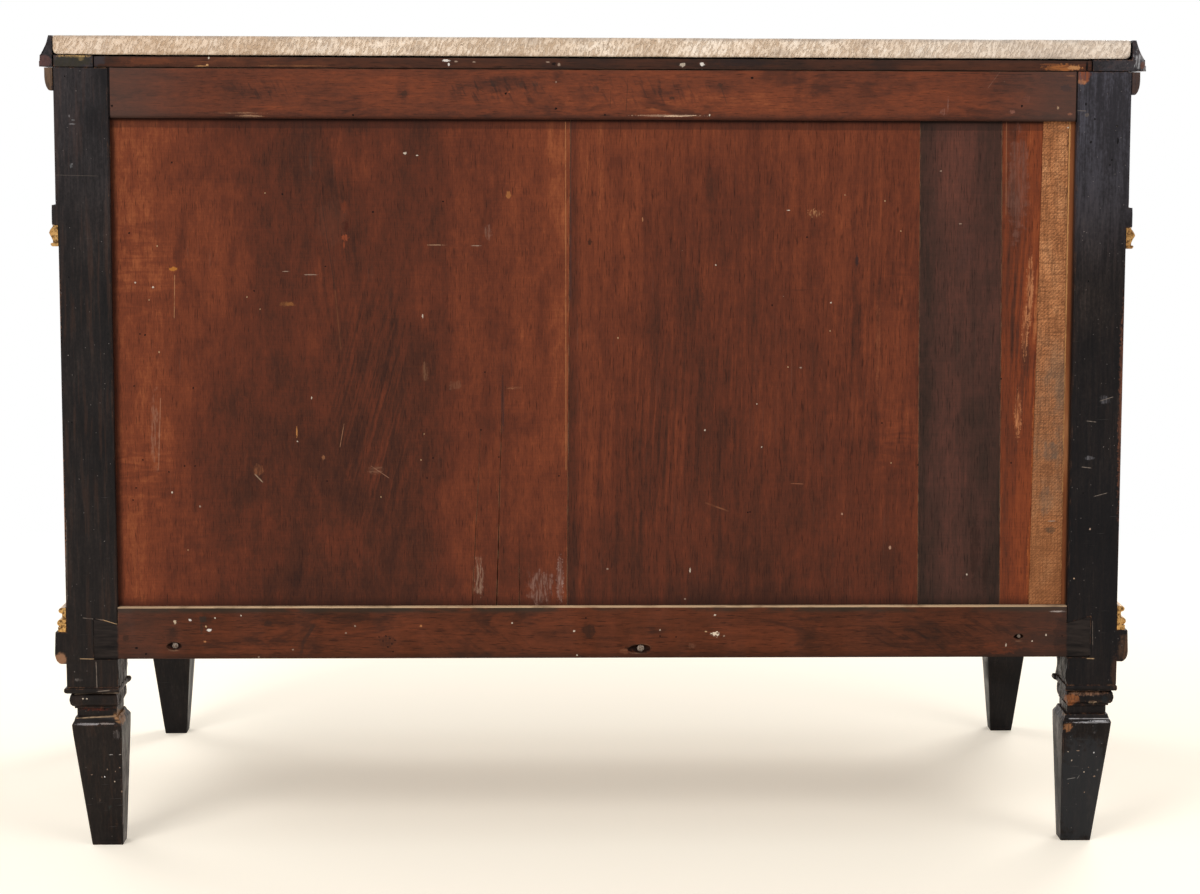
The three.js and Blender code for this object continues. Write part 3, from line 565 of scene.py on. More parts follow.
@dataclass(frozen=True)
class Shade:
    """A soft darker or lighter place round a pixel of the photograph, its half sizes in pixels."""

    across: float
    down: float
    wide: float
    high: float
    amount: float
    lean: float = 0.0

    @property
    def pixel(self) -> Pixel:
        """Where it is in the photograph."""
        return self.across, self.down


def shaded(recipe: Recipe, tone: Socket, shades: Rows, face: float, seed: float, depth: float) -> Socket:
    """Lays soft shades over a tone.

    Args:
        recipe: the material in the making.
        tone: what they change.
        shades: their rows.
        face: where the face lies along Y.
        seed: the sway of their outlines.
        depth: how strongly they count.

    Returns:
        The changed tone.
    """
    place = recipe.swayed(26 * MM, 0.05, seed)
    for shade in (Shade(*row) for row in shades):
        spot = recipe.glow(place, CAMERA.on_face(shade.pixel, face), CAMERA.span(shade.wide), CAMERA.span(shade.high),
                           shade.lean)
        tone = recipe.math("MULTIPLY_ADD", spot, shade.amount * depth, tone)
    return tone


WALNUT_STOPS = ((0.028, 0.012, 0.008), (0.070, 0.027, 0.013), (0.130, 0.050, 0.022), (0.21, 0.088, 0.037),
                (0.33, 0.155, 0.068))
VENEER_FIBRES = ((9 * MM, 0.05, 0.16), (2.5 * MM, 0.04, 0.12), (0.9 * MM, 0.03, 0.08))
PLAIN_STOPS = ((0.09, 0.045, 0.021), (0.17, 0.092, 0.044), (0.25, 0.145, 0.072), (0.32, 0.195, 0.10),
               (0.42, 0.27, 0.15))
PLASTER = (0.50, 0.41, 0.32)
DUST = (0.27, 0.185, 0.135)
PALE_WOOD = (0.46, 0.30, 0.16)
# Near black: the inside of holes and seams, and painted shade in the screw pockets.
HOLE_AND_SHADE_BLACK = (0.004, 0.003, 0.003)
CHALK = (0.66, 0.60, 0.54)

# A pale mark smaller than this is drawn a little in, because its fading edge makes it look larger
SMALL_MARK = 7 * MM
SMALL_REACH = 0.43
SOOTY = 0.1
MARK_DEPTH = 20 * MM


def add_marks(recipe: Recipe, colour: Socket, marks: Rows, strokes: Rows, face: float) -> Socket:
    """Lays marks over a colour.

    Args:
        recipe: the material in the making.
        colour: what they lie on.
        marks: the rows of its dabs and holes, and of painted highlights and painted shade.
        strokes: the rows of its scratches and of painted highlight lines.
        face: where the marked face lies along Y.

    Returns:
        The marked colour.
    """
    for mark in (Mark(*row) for row in marks):
        centre = CAMERA.on_face(mark.pixel, face)
        wide, high = mark.wide * MM, mark.high * MM
        is_full = max(wide, high) > SMALL_MARK or max(mark.colour) < SOOTY
        reach = 0.5 if is_full else SMALL_REACH
        spot = recipe.patch(centre, (wide * reach, MARK_DEPTH, high * reach), mark.wobble)
        if mark.broken:
            spot = recipe.times(spot, recipe.rise(recipe.scraped(mark.level), 0.46, 0.58, 1 - mark.broken, 1))
        colour = recipe.mix(recipe.times(spot, mark.strength), colour, mark.colour)
    for stroke in (Stroke(*row) for row in strokes):
        start, end = (CAMERA.on_face(pixel, face) for pixel in stroke.ends)
        spot = recipe.line(start, end, stroke.width * MM)
        broken = recipe.rise(recipe.noise(0.006, detail=2), 0.3, 0.55, 0.35, 1)
        colour = recipe.mix(recipe.times(spot, broken, stroke.strength), colour, stroke.colour)
    return colour


@dataclass(frozen=True)
class Timber:
    """A bare or thinly finished timber: fibres along the grain, mottles, pores, dirt and wear.

    Each fibre is a size, how far it is drawn out and its share of the tone. Each mottle is a size and a share.
    """

    name: str
    grain: Grain
    stops: tuple[Colour, Colour, Colour, Colour, Colour]
    fibres: Rows = ((22 * MM, 0.12, 0.22), (6 * MM, 0.05, 0.20), (1.7 * MM, 0.03, 0.12))
    mottles: tuple[tuple[float, float], ...] = ((70 * MM, 0.30), (13 * MM, 0.12))
    lift: float = 0.0
    pore_depth: float = 0.05 * MM
    rough: float = 0.55
    shine: float = 0.06
    wear: float = 0.5
    worn: Colour = (0.34, 0.20, 0.11)
    holes: float = 0.02
    specks: float = 0.05
    seed: float = 0.0

    def along(self, draw: float) -> Place:
        """A stretch that draws a pattern out along the grain."""
        stretch = [1.0, 1.0, 1.0]
        stretch[self.grain.value] = draw
        return tuple(stretch)

    def tone(self, recipe: Recipe) -> Socket:
        """How light the wood is, from 0 to 1, before its fibres."""
        return recipe.math("ADD", 0.5, self.lift)

    def colours(self, recipe: Recipe, tone: Socket) -> Socket:
        """The wood's colour at a tone, with its mottles, fibres and pores."""
        for number, (size, share) in enumerate(self.mottles):
            cloud = recipe.noise(size, self.along(0.45), 6, 0.72, 0.35, self.seed + number)
            tone = recipe.shifted(tone, cloud, share)
        for number, (size, draw, share) in enumerate(self.fibres):
            strand = recipe.noise(size, self.along(draw), 4, 0.68, 0.10, self.seed + 3 + number)
            tone = recipe.shifted(tone, strand, share)
        colour = recipe.ramp(tone, list(zip((0.02, 0.28, 0.5, 0.74, 0.98), self.stops)))
        pores = recipe.noise(1.0 * MM, self.along(0.06), 2, 0.6, 0.0, self.seed + 7)
        return recipe.mix(recipe.rise(pores, 0.56, 0.70, 0, 0.6), colour, tuple(c * 0.5 for c in self.stops[0]))

    def dress(self, recipe: Recipe, colour: Socket) -> Socket:
        """What lies over the wood: nothing here, and marks in what extends it."""
        return colour

    def build(self) -> bpy.types.Material:
        """Makes the material."""
        recipe = Recipe(self.name)
        colour = self.colours(recipe, self.tone(recipe))
        rubbed = recipe.rise(recipe.noise(0.012, detail=3, seed=self.seed), 0.38, 0.62)
        edge = recipe.times(recipe.edges(1.6 * MM), rubbed, self.wear)
        colour = recipe.mix(edge, colour, self.worn)
        colour = self.dress(recipe, colour)
        holes = recipe.spots(0.03, 1.0 * MM, self.holes, seed=self.seed + 11)
        colour = recipe.mix(holes, colour, HOLE_AND_SHADE_BLACK)
        dust = recipe.spots(0.016, 0.65 * MM, self.specks, seed=self.seed + 13)
        colour = recipe.mix(recipe.times(dust, 0.7), colour, DUST)
        grain = recipe.noise(0.9 * MM, self.along(0.04), 3, 0.65, 0.0, self.seed)
        waves = recipe.noise(0.02, self.along(0.25), 2, 0.5, 0.0, self.seed + 17)
        normal = recipe.relief(waves, 0.5 * MM)
        normal = recipe.relief(grain, self.pore_depth, normal)
        normal = recipe.relief(recipe.without(holes), 0.8 * MM, normal)
        gloss = recipe.noise(0.05, self.along(0.2), 3, seed=self.seed + 19)
        rough = recipe.rise(gloss, 0.25, 0.75, self.rough - 0.1, self.rough + 0.12)
        return recipe.done(colour, rough, normal, shine=self.shine)


@dataclass(frozen=True)
class BackBoard(Timber):
    """A back board, with its own run of tone from edge to edge, the marks of its age, and painted shade where the top
    rail and the posts stand over it.
    """

    left: float = 0.0
    right: float = 1.0
    across: tuple[tuple[float, float], ...] = ((0.0, 0.5), (1.0, 0.5))
    upward: tuple[tuple[float, float], ...] = ((0.0, 0.0), (1.0, 0.0))
    shades: Rows = ()
    flames: Rows = ()
    curls: Rows = ()
    marks: Rows = ()
    strokes: Rows = ()
    bare_edge: bool = False
    saw: float = 0.09

    def tone(self, recipe: Recipe) -> Socket:
        """The tone across the board, with its shades, leaning flames and cross curls."""
        place = recipe.swayed(9 * MM, 0.12, self.seed + 23)
        split = recipe.node("ShaderNodeSeparateXYZ")
        recipe.put(split.inputs[0], place)
        share = recipe.math("SUBTRACT", split.outputs[0], self.left)
        share = recipe.math("DIVIDE", share, self.right - self.left, clamp=True)
        tone = recipe.math("ADD", recipe.profile(share, self.across), self.lift - 0.5)
        height = recipe.math("SUBTRACT", recipe.z, BOARD_LOW)
        height = recipe.math("DIVIDE", height, BOARD_HIGH - BOARD_LOW, clamp=True)
        tone = recipe.math("ADD", tone, recipe.profile(height, [(place, 0.5 + more) for place, more in self.upward]))
        tone = shaded(recipe, tone, self.shades, BOARD_FACE, self.seed + 25, 0.62)
        saw = recipe.noise(1.7 * MM, (0.03, 1, 1), 3, 0.65, 0.0, self.seed + 27)
        tone = recipe.shifted(tone, saw, self.saw)
        for flame in (Shade(*row) for row in self.flames):
            swayed = recipe.swayed(5 * MM, 0.09, self.seed + 29)
            lines = recipe.leaning_lines(flame.lean, (250, 250, 7), 4, swayed)
            tone = self.within(recipe, tone, recipe.rise(lines, 0.38, 0.62, -0.5, 0.5), flame)
        for curl in (Shade(*row) for row in self.curls):
            ripple = recipe.noise(11 * MM, (0.22, 1, 1), 2, 0.55, 1.2, self.seed + 31)
            tone = self.within(recipe, tone, recipe.rise(ripple, 0.34, 0.66, -0.5, 0.5), curl)
        return tone

    def within(self, recipe: Recipe, tone: Socket, level: Socket, shade: Shade) -> Socket:
        """Adds a pattern to a tone inside a soft oval."""
        centre = CAMERA.on_face(shade.pixel, BOARD_FACE)
        spot = recipe.glow(recipe.place, centre, CAMERA.span(shade.wide), CAMERA.span(shade.high))
        return recipe.math("MULTIPLY_ADD", recipe.times(spot, level), shade.amount, tone)

    def dress(self, recipe: Recipe, colour: Socket) -> Socket:
        """The dark band under the top rail, a painted shadow right under it, darker wood just above the bottom rail,
        painted shade beside the posts, scratches and marks.
        """
        dark = self.stops[0]
        ragged = recipe.math("MULTIPLY_ADD", recipe.ragged(2.5 * MM), 2 * MM, recipe.z)
        band = recipe.rise(ragged, BOARD_HIGH - 11.0 * MM, BOARD_HIGH - 9.6 * MM, 0, 0.42)
        colour = recipe.mix(band, colour, tuple(c * 0.8 for c in dark))
        # Painted shadow right under the top rail.
        shadow = recipe.rise(recipe.z, BOARD_HIGH - 4 * MM, BOARD_HIGH - 0.5 * MM, 0, 0.8)
        colour = recipe.mix(shadow, colour, tuple(c * 0.3 for c in dark))
        # Darker towards the bottom of the board, just above the bottom rail.
        grime = recipe.rise(recipe.z, BOARD_LOW, BOARD_LOW + 13 * MM, 0.55, 0)
        colour = recipe.mix(grime, colour, tuple(c * 0.9 for c in dark))
        # Painted shade beside the posts, where the board lies back from them.
        side = recipe.rise(recipe.math("ABSOLUTE", recipe.x), OPENING_HALF - 9 * MM, OPENING_HALF - 1 * MM, 0, 0.7)
        if self.bare_edge:
            colour = self.bare_strip(recipe, colour)
        else:
            colour = recipe.mix(side, colour, tuple(c * 0.5 for c in dark))
        long = recipe.noise(0.0011, self.along(0.02), 2, 0.5, 0.0, self.seed + 31)
        fade = recipe.rise(recipe.noise(0.07, seed=self.seed + 37), 0.50, 0.66)
        colour = recipe.mix(recipe.times(recipe.rise(long, 0.64, 0.74), fade, 0.07), colour, DUST)
        return add_marks(recipe, colour, self.marks, self.strokes, BOARD_FACE)

    def bare_strip(self, recipe: Recipe, colour: Socket) -> Socket:
        """The golden strip of bare wood between the linen and the post: a dark line along the linen's edge, a painted
        highlight beside it and painted shade along the post.
        """
        ragged = recipe.math("MULTIPLY_ADD", recipe.ragged(2.5 * MM), 2.4 * MM, recipe.x)
        gold = recipe.noise(0.02, (1, 1, 0.12), 4, 0.6, 0.2, 3)
        tint = recipe.ramp(gold, (
            (0.3, (0.15, 0.042, 0.016)), (0.5, (0.27, 0.092, 0.034)), (0.7, (0.46, 0.20, 0.085))))
        colour = recipe.mix(recipe.rise(ragged, -0.5185, -0.5175, 1, 0), colour, (0.050, 0.022, 0.012))
        colour = recipe.mix(recipe.rise(ragged, -0.5212, -0.5202, 1, 0), colour, tint)
        # Painted highlight along the strip's edge by the linen.
        colour = recipe.mix(recipe.window(ragged, -0.5228, -0.5212, 0.5 * MM), colour, (0.56, 0.27, 0.10))
        # Painted shade along the post.
        return recipe.mix(recipe.rise(recipe.x, -0.5282, -0.5262, 0.85, 0), colour, (0.055, 0.022, 0.011))


@dataclass(frozen=True)
class BackRail(Timber):
    """A rail of the back, painted black where it reaches over the posts, with plaster and grime on it and painted
    shade along its lower edge.
    """

    across: tuple[tuple[float, float], ...] = ((0.0, 0.5), (1.0, 0.5))
    shades: Rows = ()
    chatter: Rows = ()
    pale_arris: bool = False
    marks: Rows = ()
    strokes: Rows = ()
    low: float = 0.0
    high: float = 1.0
    face: float = 0.0
    grey_ends: float = 0.0
    painted_from: float = 0.0
    open_seam: bool = False

    def tone(self, recipe: Recipe) -> Socket:
        """The tone along the rail, from the left of the view, with its shades and slanting tool marks."""
        share = recipe.math("DIVIDE", recipe.math("SUBTRACT", OPENING_HALF, recipe.x), OPENING_HALF * 2, clamp=True)
        tone = recipe.math("ADD", recipe.profile(share, self.across), self.lift)
        tone = shaded(recipe, tone, self.shades, self.face, self.seed + 25, 0.75)
        for marks in (Shade(*row) for row in self.chatter):
            cuts = recipe.leaning_lines(marks.lean, (210, 210, 42), 4)
            spot = recipe.glow(recipe.place, CAMERA.on_face(marks.pixel, self.face), CAMERA.span(marks.wide),
                               CAMERA.span(marks.high))
            level = recipe.rise(cuts, 0.5, 0.66, 0, 1)
            tone = recipe.math("MULTIPLY_ADD", recipe.times(spot, level), marks.amount, tone)
        return tone

    def dress(self, recipe: Recipe, colour: Socket) -> Socket:
        """The pale arris, worn and with a painted highlight, painted shade along the lower edge, grime, the tails
        painted black and the marks.
        """
        dark = self.stops[0]
        cloud = recipe.noise(0.03, (0.35, 1, 1), 4, 0.65, 0.5, self.seed + 41)
        grime = recipe.times(recipe.rise(cloud, 0.52, 0.68), 0.6)
        colour = recipe.mix(grime, colour, tuple(c * 1.1 for c in dark))
        edge = self.high - self.low
        # Painted shade along the lower edge, where the rounded arris turns down from the light above.
        colour = recipe.mix(recipe.rise(recipe.z, self.low, self.low + edge * 0.16, 0.6, 0), colour, dark)
        if self.pale_arris:
            sooty = recipe.rise(recipe.z, self.high - 9 * MM, self.high - 3 * MM, 0, 0.85)
            sooty = recipe.times(sooty, recipe.rise(cloud, 0.36, 0.56))
            colour = recipe.mix(sooty, colour, (0.030, 0.022, 0.015))
            # The pale arris: worn wood, with a painted highlight along the top edge.
            ledge = recipe.rise(recipe.z, self.high - 1.3 * MM, self.high - 0.5 * MM)
            broken = recipe.rise(recipe.noise(0.03, (1, 1, 1), 3, seed=self.seed), 0.25, 0.5, 0.35, 0.9)
            colour = recipe.mix(recipe.times(ledge, broken), colour, (0.62, 0.42, 0.25))
        else:
            seam = recipe.rise(recipe.z, self.high - 1.6 * MM, self.high - 0.6 * MM, 0, 0.5)
            colour = recipe.mix(seam, colour, dark)
        across = recipe.math("ABSOLUTE", recipe.x)
        ends = recipe.rise(across, OPENING_HALF - 0.12, OPENING_HALF, 0, self.grey_ends)
        colour = recipe.mix(ends, colour, (0.070, 0.046, 0.038))
        colour = add_marks(recipe, colour, self.marks, self.strokes, self.face)
        if self.open_seam:
            seam = recipe.rise(across, OPENING_HALF - 2.4 * MM, OPENING_HALF - 1.4 * MM)
            colour = recipe.mix(seam, colour, HOLE_AND_SHADE_BLACK)
        edge = OPENING_HALF + self.painted_from
        reach = recipe.math("MULTIPLY_ADD", recipe.ragged(9 * MM), 5 * MM, across)
        painted = recipe.rise(reach, edge - 1.5 * MM, edge + 1.5 * MM)
        paint = recipe.noise(5 * MM, (0.12, 1, 1), 4, 0.7, 0.3, self.seed + 43)
        black = recipe.ramp(paint, [(0.35, (0.0085, 0.0070, 0.0068)), (0.62, (0.027, 0.0205, 0.0180))])
        return recipe.mix(painted, colour, black)


@dataclass(frozen=True)
class Patch:
    """A worn place on black timber. What is broken shows in streaks only.

    The centre is in metres. The size gives its radii in millimetres.
    """

    centre: Place
    size: Place
    colour: Colour
    strength: float = 1.0
    wobble: float = 0.3
    broken: float = 0.0

    @property
    def radii(self) -> Place:
        """The radii in metres."""
        return tuple(reach * MM for reach in self.size)


@dataclass(frozen=True)
class Ebonised:
    """Black-stained wood, rubbed brown on its edges, with scratches, wormholes and specks.

    Where side is 1 or -1, the flank that faces the middle of the chest is lumpy, with a painted reflection in pale
    streaks.
    """

    name: str
    seed: float = 0.0
    wear: float = 0.8
    grey: float = 0.3
    brown: float = 0.3
    deep: float = 0.0
    deep_foot: float = 0.0
    side: int = 0
    specks: float = 0.05
    holes: float = 0.10
    shine: float = 0.12
    grain: Place = (1, 1, 0.05)
    patches: Rows = ()
    marks: Rows = ()
    strokes: Rows = ()

    def along(self, draw: float) -> Place:
        """A stretch that draws a pattern out along the grain."""
        return tuple(1.0 if share == 1 else draw for share in self.grain)

    def stain(self, recipe: Recipe) -> Socket:
        """The black itself: grain, pits, brown streaks and the grey of its upper part."""
        cloud = recipe.noise(0.06, self.along(0.3), 6, 0.7, 0.1, self.seed)
        streak = recipe.noise(5 * MM, self.along(0.06), 4, 0.68, 0.05, self.seed + 3)
        fibre = recipe.noise(1.7 * MM, self.along(0.07), 3, 0.65, 0.0, self.seed + 4)
        pits = recipe.noise(2.6 * MM, self.along(0.6), 4, 0.75, 0.0, self.seed + 1)
        tone = cloud
        for pattern, share in ((streak, 0.26), (fibre, 0.24), (pits, 0.26)):
            tone = recipe.shifted(tone, pattern, share)
        colour = recipe.ramp(tone, (
            (0.22, (0.0045, 0.0036, 0.0036)), (0.45, (0.0105, 0.0078, 0.0072)), (0.60, (0.0185, 0.0136, 0.0118)),
            (0.80, (0.044, 0.032, 0.027))))
        colour = recipe.mix(recipe.times(recipe.rise(streak, 0.5, 0.66), self.brown), colour, (0.046, 0.020, 0.0115))
        upper = recipe.rise(recipe.z, 0.62, 0.84, 0, self.grey)
        colour = recipe.mix(recipe.times(upper, recipe.rise(tone, 0.34, 0.66, 0.3, 1)), colour, (0.060, 0.057, 0.070))
        if self.deep:
            lower = recipe.rise(recipe.z, 0.34, 0.76, self.deep, 0)
            lower = recipe.times(lower, recipe.rise(recipe.z, 0.12, 0.20, self.deep_foot, 1))
            colour = recipe.mix(lower, colour, (0.0045, 0.0045, 0.0055))
        else:
            lower = recipe.rise(recipe.z, 0.20, 0.50, 0.42, 0)
            colour = recipe.mix(lower, colour, (0.0080, 0.0055, 0.0045))
        return colour

    def flank(self, recipe: Recipe) -> Socket:
        """A mask of the flank that faces the middle, below the boards."""
        split = recipe.node("ShaderNodeSeparateXYZ")
        recipe.put(split.inputs[0], recipe.node("ShaderNodeNewGeometry").outputs["Normal"])
        facing = recipe.rise(recipe.times(split.outputs[0], -self.side), 0.7, 0.9)
        return recipe.times(facing, recipe.rise(recipe.z, BOARD_LOW - 20 * MM, BOARD_LOW, 1, 0))

    def build(self) -> bpy.types.Material:
        """Makes the material."""
        recipe = Recipe(self.name)
        colour = self.stain(recipe)
        rub = recipe.noise(7 * MM, self.along(0.35), 5, 0.72, 0.2, self.seed + 5)
        worn = recipe.times(recipe.edges(2.6 * MM), recipe.rise(rub, 0.47, 0.56), self.wear)
        colour = recipe.mix(worn, colour, (0.085, 0.035, 0.018))
        bare = recipe.times(recipe.edges(1.2 * MM), recipe.rise(rub, 0.55, 0.61), self.wear)
        colour = recipe.mix(bare, colour, (0.30, 0.16, 0.085))
        if self.side:
            # Painted reflection of the pale floor, in streaks on the flank that faces the middle.
            painted_reflection = recipe.noise(4 * MM, (1, 1, 0.22), 5, 0.7, 0.8, self.seed + 23)
            painted_reflection = recipe.times(recipe.rise(painted_reflection, 0.46, 0.62), self.flank(recipe), 0.75)
            colour = recipe.mix(painted_reflection, colour, (0.20, 0.175, 0.175))
        for patch in (Patch(*row) for row in self.patches):
            spot = recipe.patch(patch.centre, patch.radii, patch.wobble)
            if patch.broken:
                spot = recipe.times(spot, recipe.rise(recipe.scraped(), 0.44, 0.56, 1 - patch.broken, 1))
            colour = recipe.mix(recipe.times(spot, patch.strength), colour, patch.colour)
        level = recipe.noise(0.0012, (0.03, 0.03, 1), 2, 0.5, 0.0, self.seed + 7)
        fade = recipe.rise(recipe.noise(0.03, seed=self.seed + 9), 0.5, 0.62)
        scratch = recipe.times(recipe.rise(level, 0.68, 0.76), fade)
        colour = recipe.mix(recipe.times(scratch, 0.55), colour, (0.10, 0.09, 0.085))
        colour = add_marks(recipe, colour, self.marks, self.strokes, BACK_FACE)
        for spacing, radius, share, pale in (
                (9 * MM, 0.55 * MM, self.specks, 0.75), (5 * MM, 0.6 * MM, self.specks * 2.5, 0.3)):
            specks = recipe.spots(spacing, radius, share, seed=self.seed + 11 + spacing * 100)
            colour = recipe.mix(recipe.times(specks, pale), colour, (0.36, 0.31, 0.28))
        holes = recipe.spots(0.014, 0.95 * MM, self.holes, (1, 1, 0.8), self.seed + 13)
        colour = recipe.mix(holes, colour, (0.001, 0.001, 0.001))
        fibre = recipe.noise(0.0013, self.along(0.05), 2, 0.6, 0.0, self.seed + 15)
        dents = recipe.noise(0.012, self.along(0.5), 4, 0.6, 0.0, self.seed + 17)
        normal = recipe.relief(dents, 0.7 * MM)
        normal = recipe.relief(fibre, 0.10 * MM, normal)
        normal = recipe.relief(recipe.without(recipe.either(holes, recipe.times(scratch, 0.4))), 0.9 * MM, normal)
        if self.side:
            lumps = recipe.noise(0.009, (1, 1, 0.5), 4, 0.7, 0.8, self.seed + 19)
            block = recipe.window(recipe.z, 0.150, BOARD_LOW, 4 * MM)
            normal = recipe.relief(recipe.times(lumps, self.flank(recipe), block), 2.4 * MM, normal)
        rough = recipe.rise(recipe.noise(0.02, self.along(0.4), 3, seed=self.seed + 21), 0.3, 0.7, 0.34, 0.54)
        return recipe.done(colour, rough, normal, shine=self.shine)


@dataclass(frozen=True)
class Stone:
    """A pale slab: polished above, hewn and stained along its back edge, with painted shade along the foot of that
    edge.
    """

    name: str = "pale_marble"
    seed: float = 4.0

    def build(self) -> bpy.types.Material:
        """Makes the material."""
        recipe = Recipe(self.name)
        back = recipe.rise(recipe.y, BACK_FACE - 4 * MM, BACK_FACE - 2.2 * MM)
        cloud = recipe.noise(0.16, (1, 1, 1), 5, 0.6, 1.4, self.seed)
        vein_noise = recipe.noise(0.22, (1, 1, 1), 6, 0.62, 2.2, self.seed + 3)
        vein = recipe.rise(recipe.math("ABSOLUTE", recipe.math("SUBTRACT", vein_noise, 0.5)), 0.0, 0.035, 1, 0)
        fine_noise = recipe.noise(0.07, (1, 1, 1), 5, 0.65, 1.5, self.seed + 5)
        fine = recipe.rise(recipe.math("ABSOLUTE", recipe.math("SUBTRACT", fine_noise, 0.5)), 0.0, 0.018, 1, 0)
        polished = recipe.ramp(cloud, (
            (0.3, (0.46, 0.41, 0.35)), (0.5, (0.62, 0.57, 0.50)), (0.72, (0.74, 0.70, 0.63))))
        polished = recipe.mix(recipe.times(vein, 0.55), polished, (0.22, 0.19, 0.17))
        polished = recipe.mix(recipe.times(fine, 0.35), polished, (0.36, 0.24, 0.14))
        hewn_cloud = recipe.noise(0.05, (0.6, 1, 1), 5, 0.65, 0.4, self.seed + 7)
        hewn = recipe.ramp(hewn_cloud, (
            (0.25, (0.50, 0.345, 0.225)), (0.5, (0.82, 0.645, 0.485)), (0.75, (0.99, 0.86, 0.72))))
        chisel = recipe.leaning_lines(-24, (400, 60, 150), 6)
        cut = recipe.rise(chisel, 0.48, 0.60)
        ridge = recipe.rise(chisel, 0.30, 0.42, 1, 0)
        hewn = recipe.mix(recipe.times(cut, 0.52), hewn, (0.44, 0.285, 0.165))
        hewn = recipe.mix(recipe.times(ridge, 0.62), hewn, (0.99, 0.87, 0.74))
        dirt = recipe.rise(recipe.noise(0.02, (0.5, 1, 1), 4, 0.6, seed=self.seed + 9), 0.5, 0.7)
        hewn = recipe.mix(recipe.times(dirt, 0.5), hewn, (0.36, 0.27, 0.20))
        fleck = recipe.noise(2.2 * MM, (1, 1, 0.6), 4, 0.75, 0.0, self.seed + 13)
        hewn = recipe.mix(recipe.rise(fleck, 0.52, 0.66, 0, 0.7), hewn, (0.36, 0.24, 0.155))
        upper = recipe.rise(recipe.z, SLAB_TOP - 5 * MM, SLAB_TOP - 1 * MM, 0, 0.7)
        hewn = recipe.mix(recipe.times(upper, recipe.rise(hewn_cloud, 0.35, 0.6)), hewn, (0.36, 0.29, 0.235))
        # Painted shadow along the lower edge of the hewn face.
        foot = recipe.rise(recipe.z, SLAB_LOW, SLAB_LOW + 2.4 * MM, 0.6, 0)
        hewn = recipe.mix(foot, hewn, (0.27, 0.18, 0.11))
        right_grey = recipe.rise(recipe.x, -0.55, -0.2, 0.35, 0)
        hewn = recipe.mix(right_grey, hewn, (0.66, 0.59, 0.52))
        left_warm = recipe.rise(recipe.x, 0.15, 0.55, 0, 0.34)
        hewn = recipe.mix(left_warm, hewn, (0.55, 0.345, 0.20))
        colour = recipe.mix(back, polished, hewn)
        rough = recipe.math("MULTIPLY_ADD", back, 0.62, 0.22)
        grit = recipe.noise(0.0022, (1, 1, 1), 4, 0.7, 0.0, self.seed + 11)
        height = recipe.times(recipe.math("ADD", grit, recipe.times(cut, -0.7)), back)
        return recipe.done(colour, rough, recipe.relief(height, 0.9 * MM))


@dataclass(frozen=True)
class Gilt:
    """Gilt bronze, bright on what stands proud and brown in its hollows."""

    name: str = "gilt_bronze"
    hollow: float = 3 * MM

    def build(self) -> bpy.types.Material:
        """Makes the material."""
        recipe = Recipe(self.name)
        shade = recipe.node("ShaderNodeAmbientOcclusion", samples=6)
        shade.inputs["Distance"].default_value = self.hollow
        dark = recipe.rise(shade.outputs["AO"], 0.55, 1.0, 1, 0)
        cloud = recipe.noise(0.018, detail=4, rough=0.6, seed=2)
        colour = recipe.mix(recipe.rise(cloud, 0.35, 0.7), (0.60, 0.345, 0.12), (0.33, 0.165, 0.055))
        colour = recipe.mix(recipe.times(dark, 0.95), colour, (0.045, 0.018, 0.008))
        grime = recipe.noise(3 * MM, detail=4, rough=0.7, seed=8)
        colour = recipe.mix(recipe.rise(grime, 0.44, 0.58, 0, 0.85), colour, (0.055, 0.024, 0.010))
        spots = recipe.spots(0.006, 0.6 * MM, 0.12, seed=5)
        colour = recipe.mix(recipe.times(spots, 0.6), colour, (0.16, 0.08, 0.03))
        rough = recipe.either(recipe.rise(cloud, 0.3, 0.7, 0.20, 0.38), recipe.times(dark, 0.6))
        pits = recipe.noise(0.0016, detail=3, rough=0.6)
        return recipe.done(colour, rough, recipe.relief(pits, 0.08 * MM), metal=recipe.rise(dark, 0.2, 1, 1, 0.55))


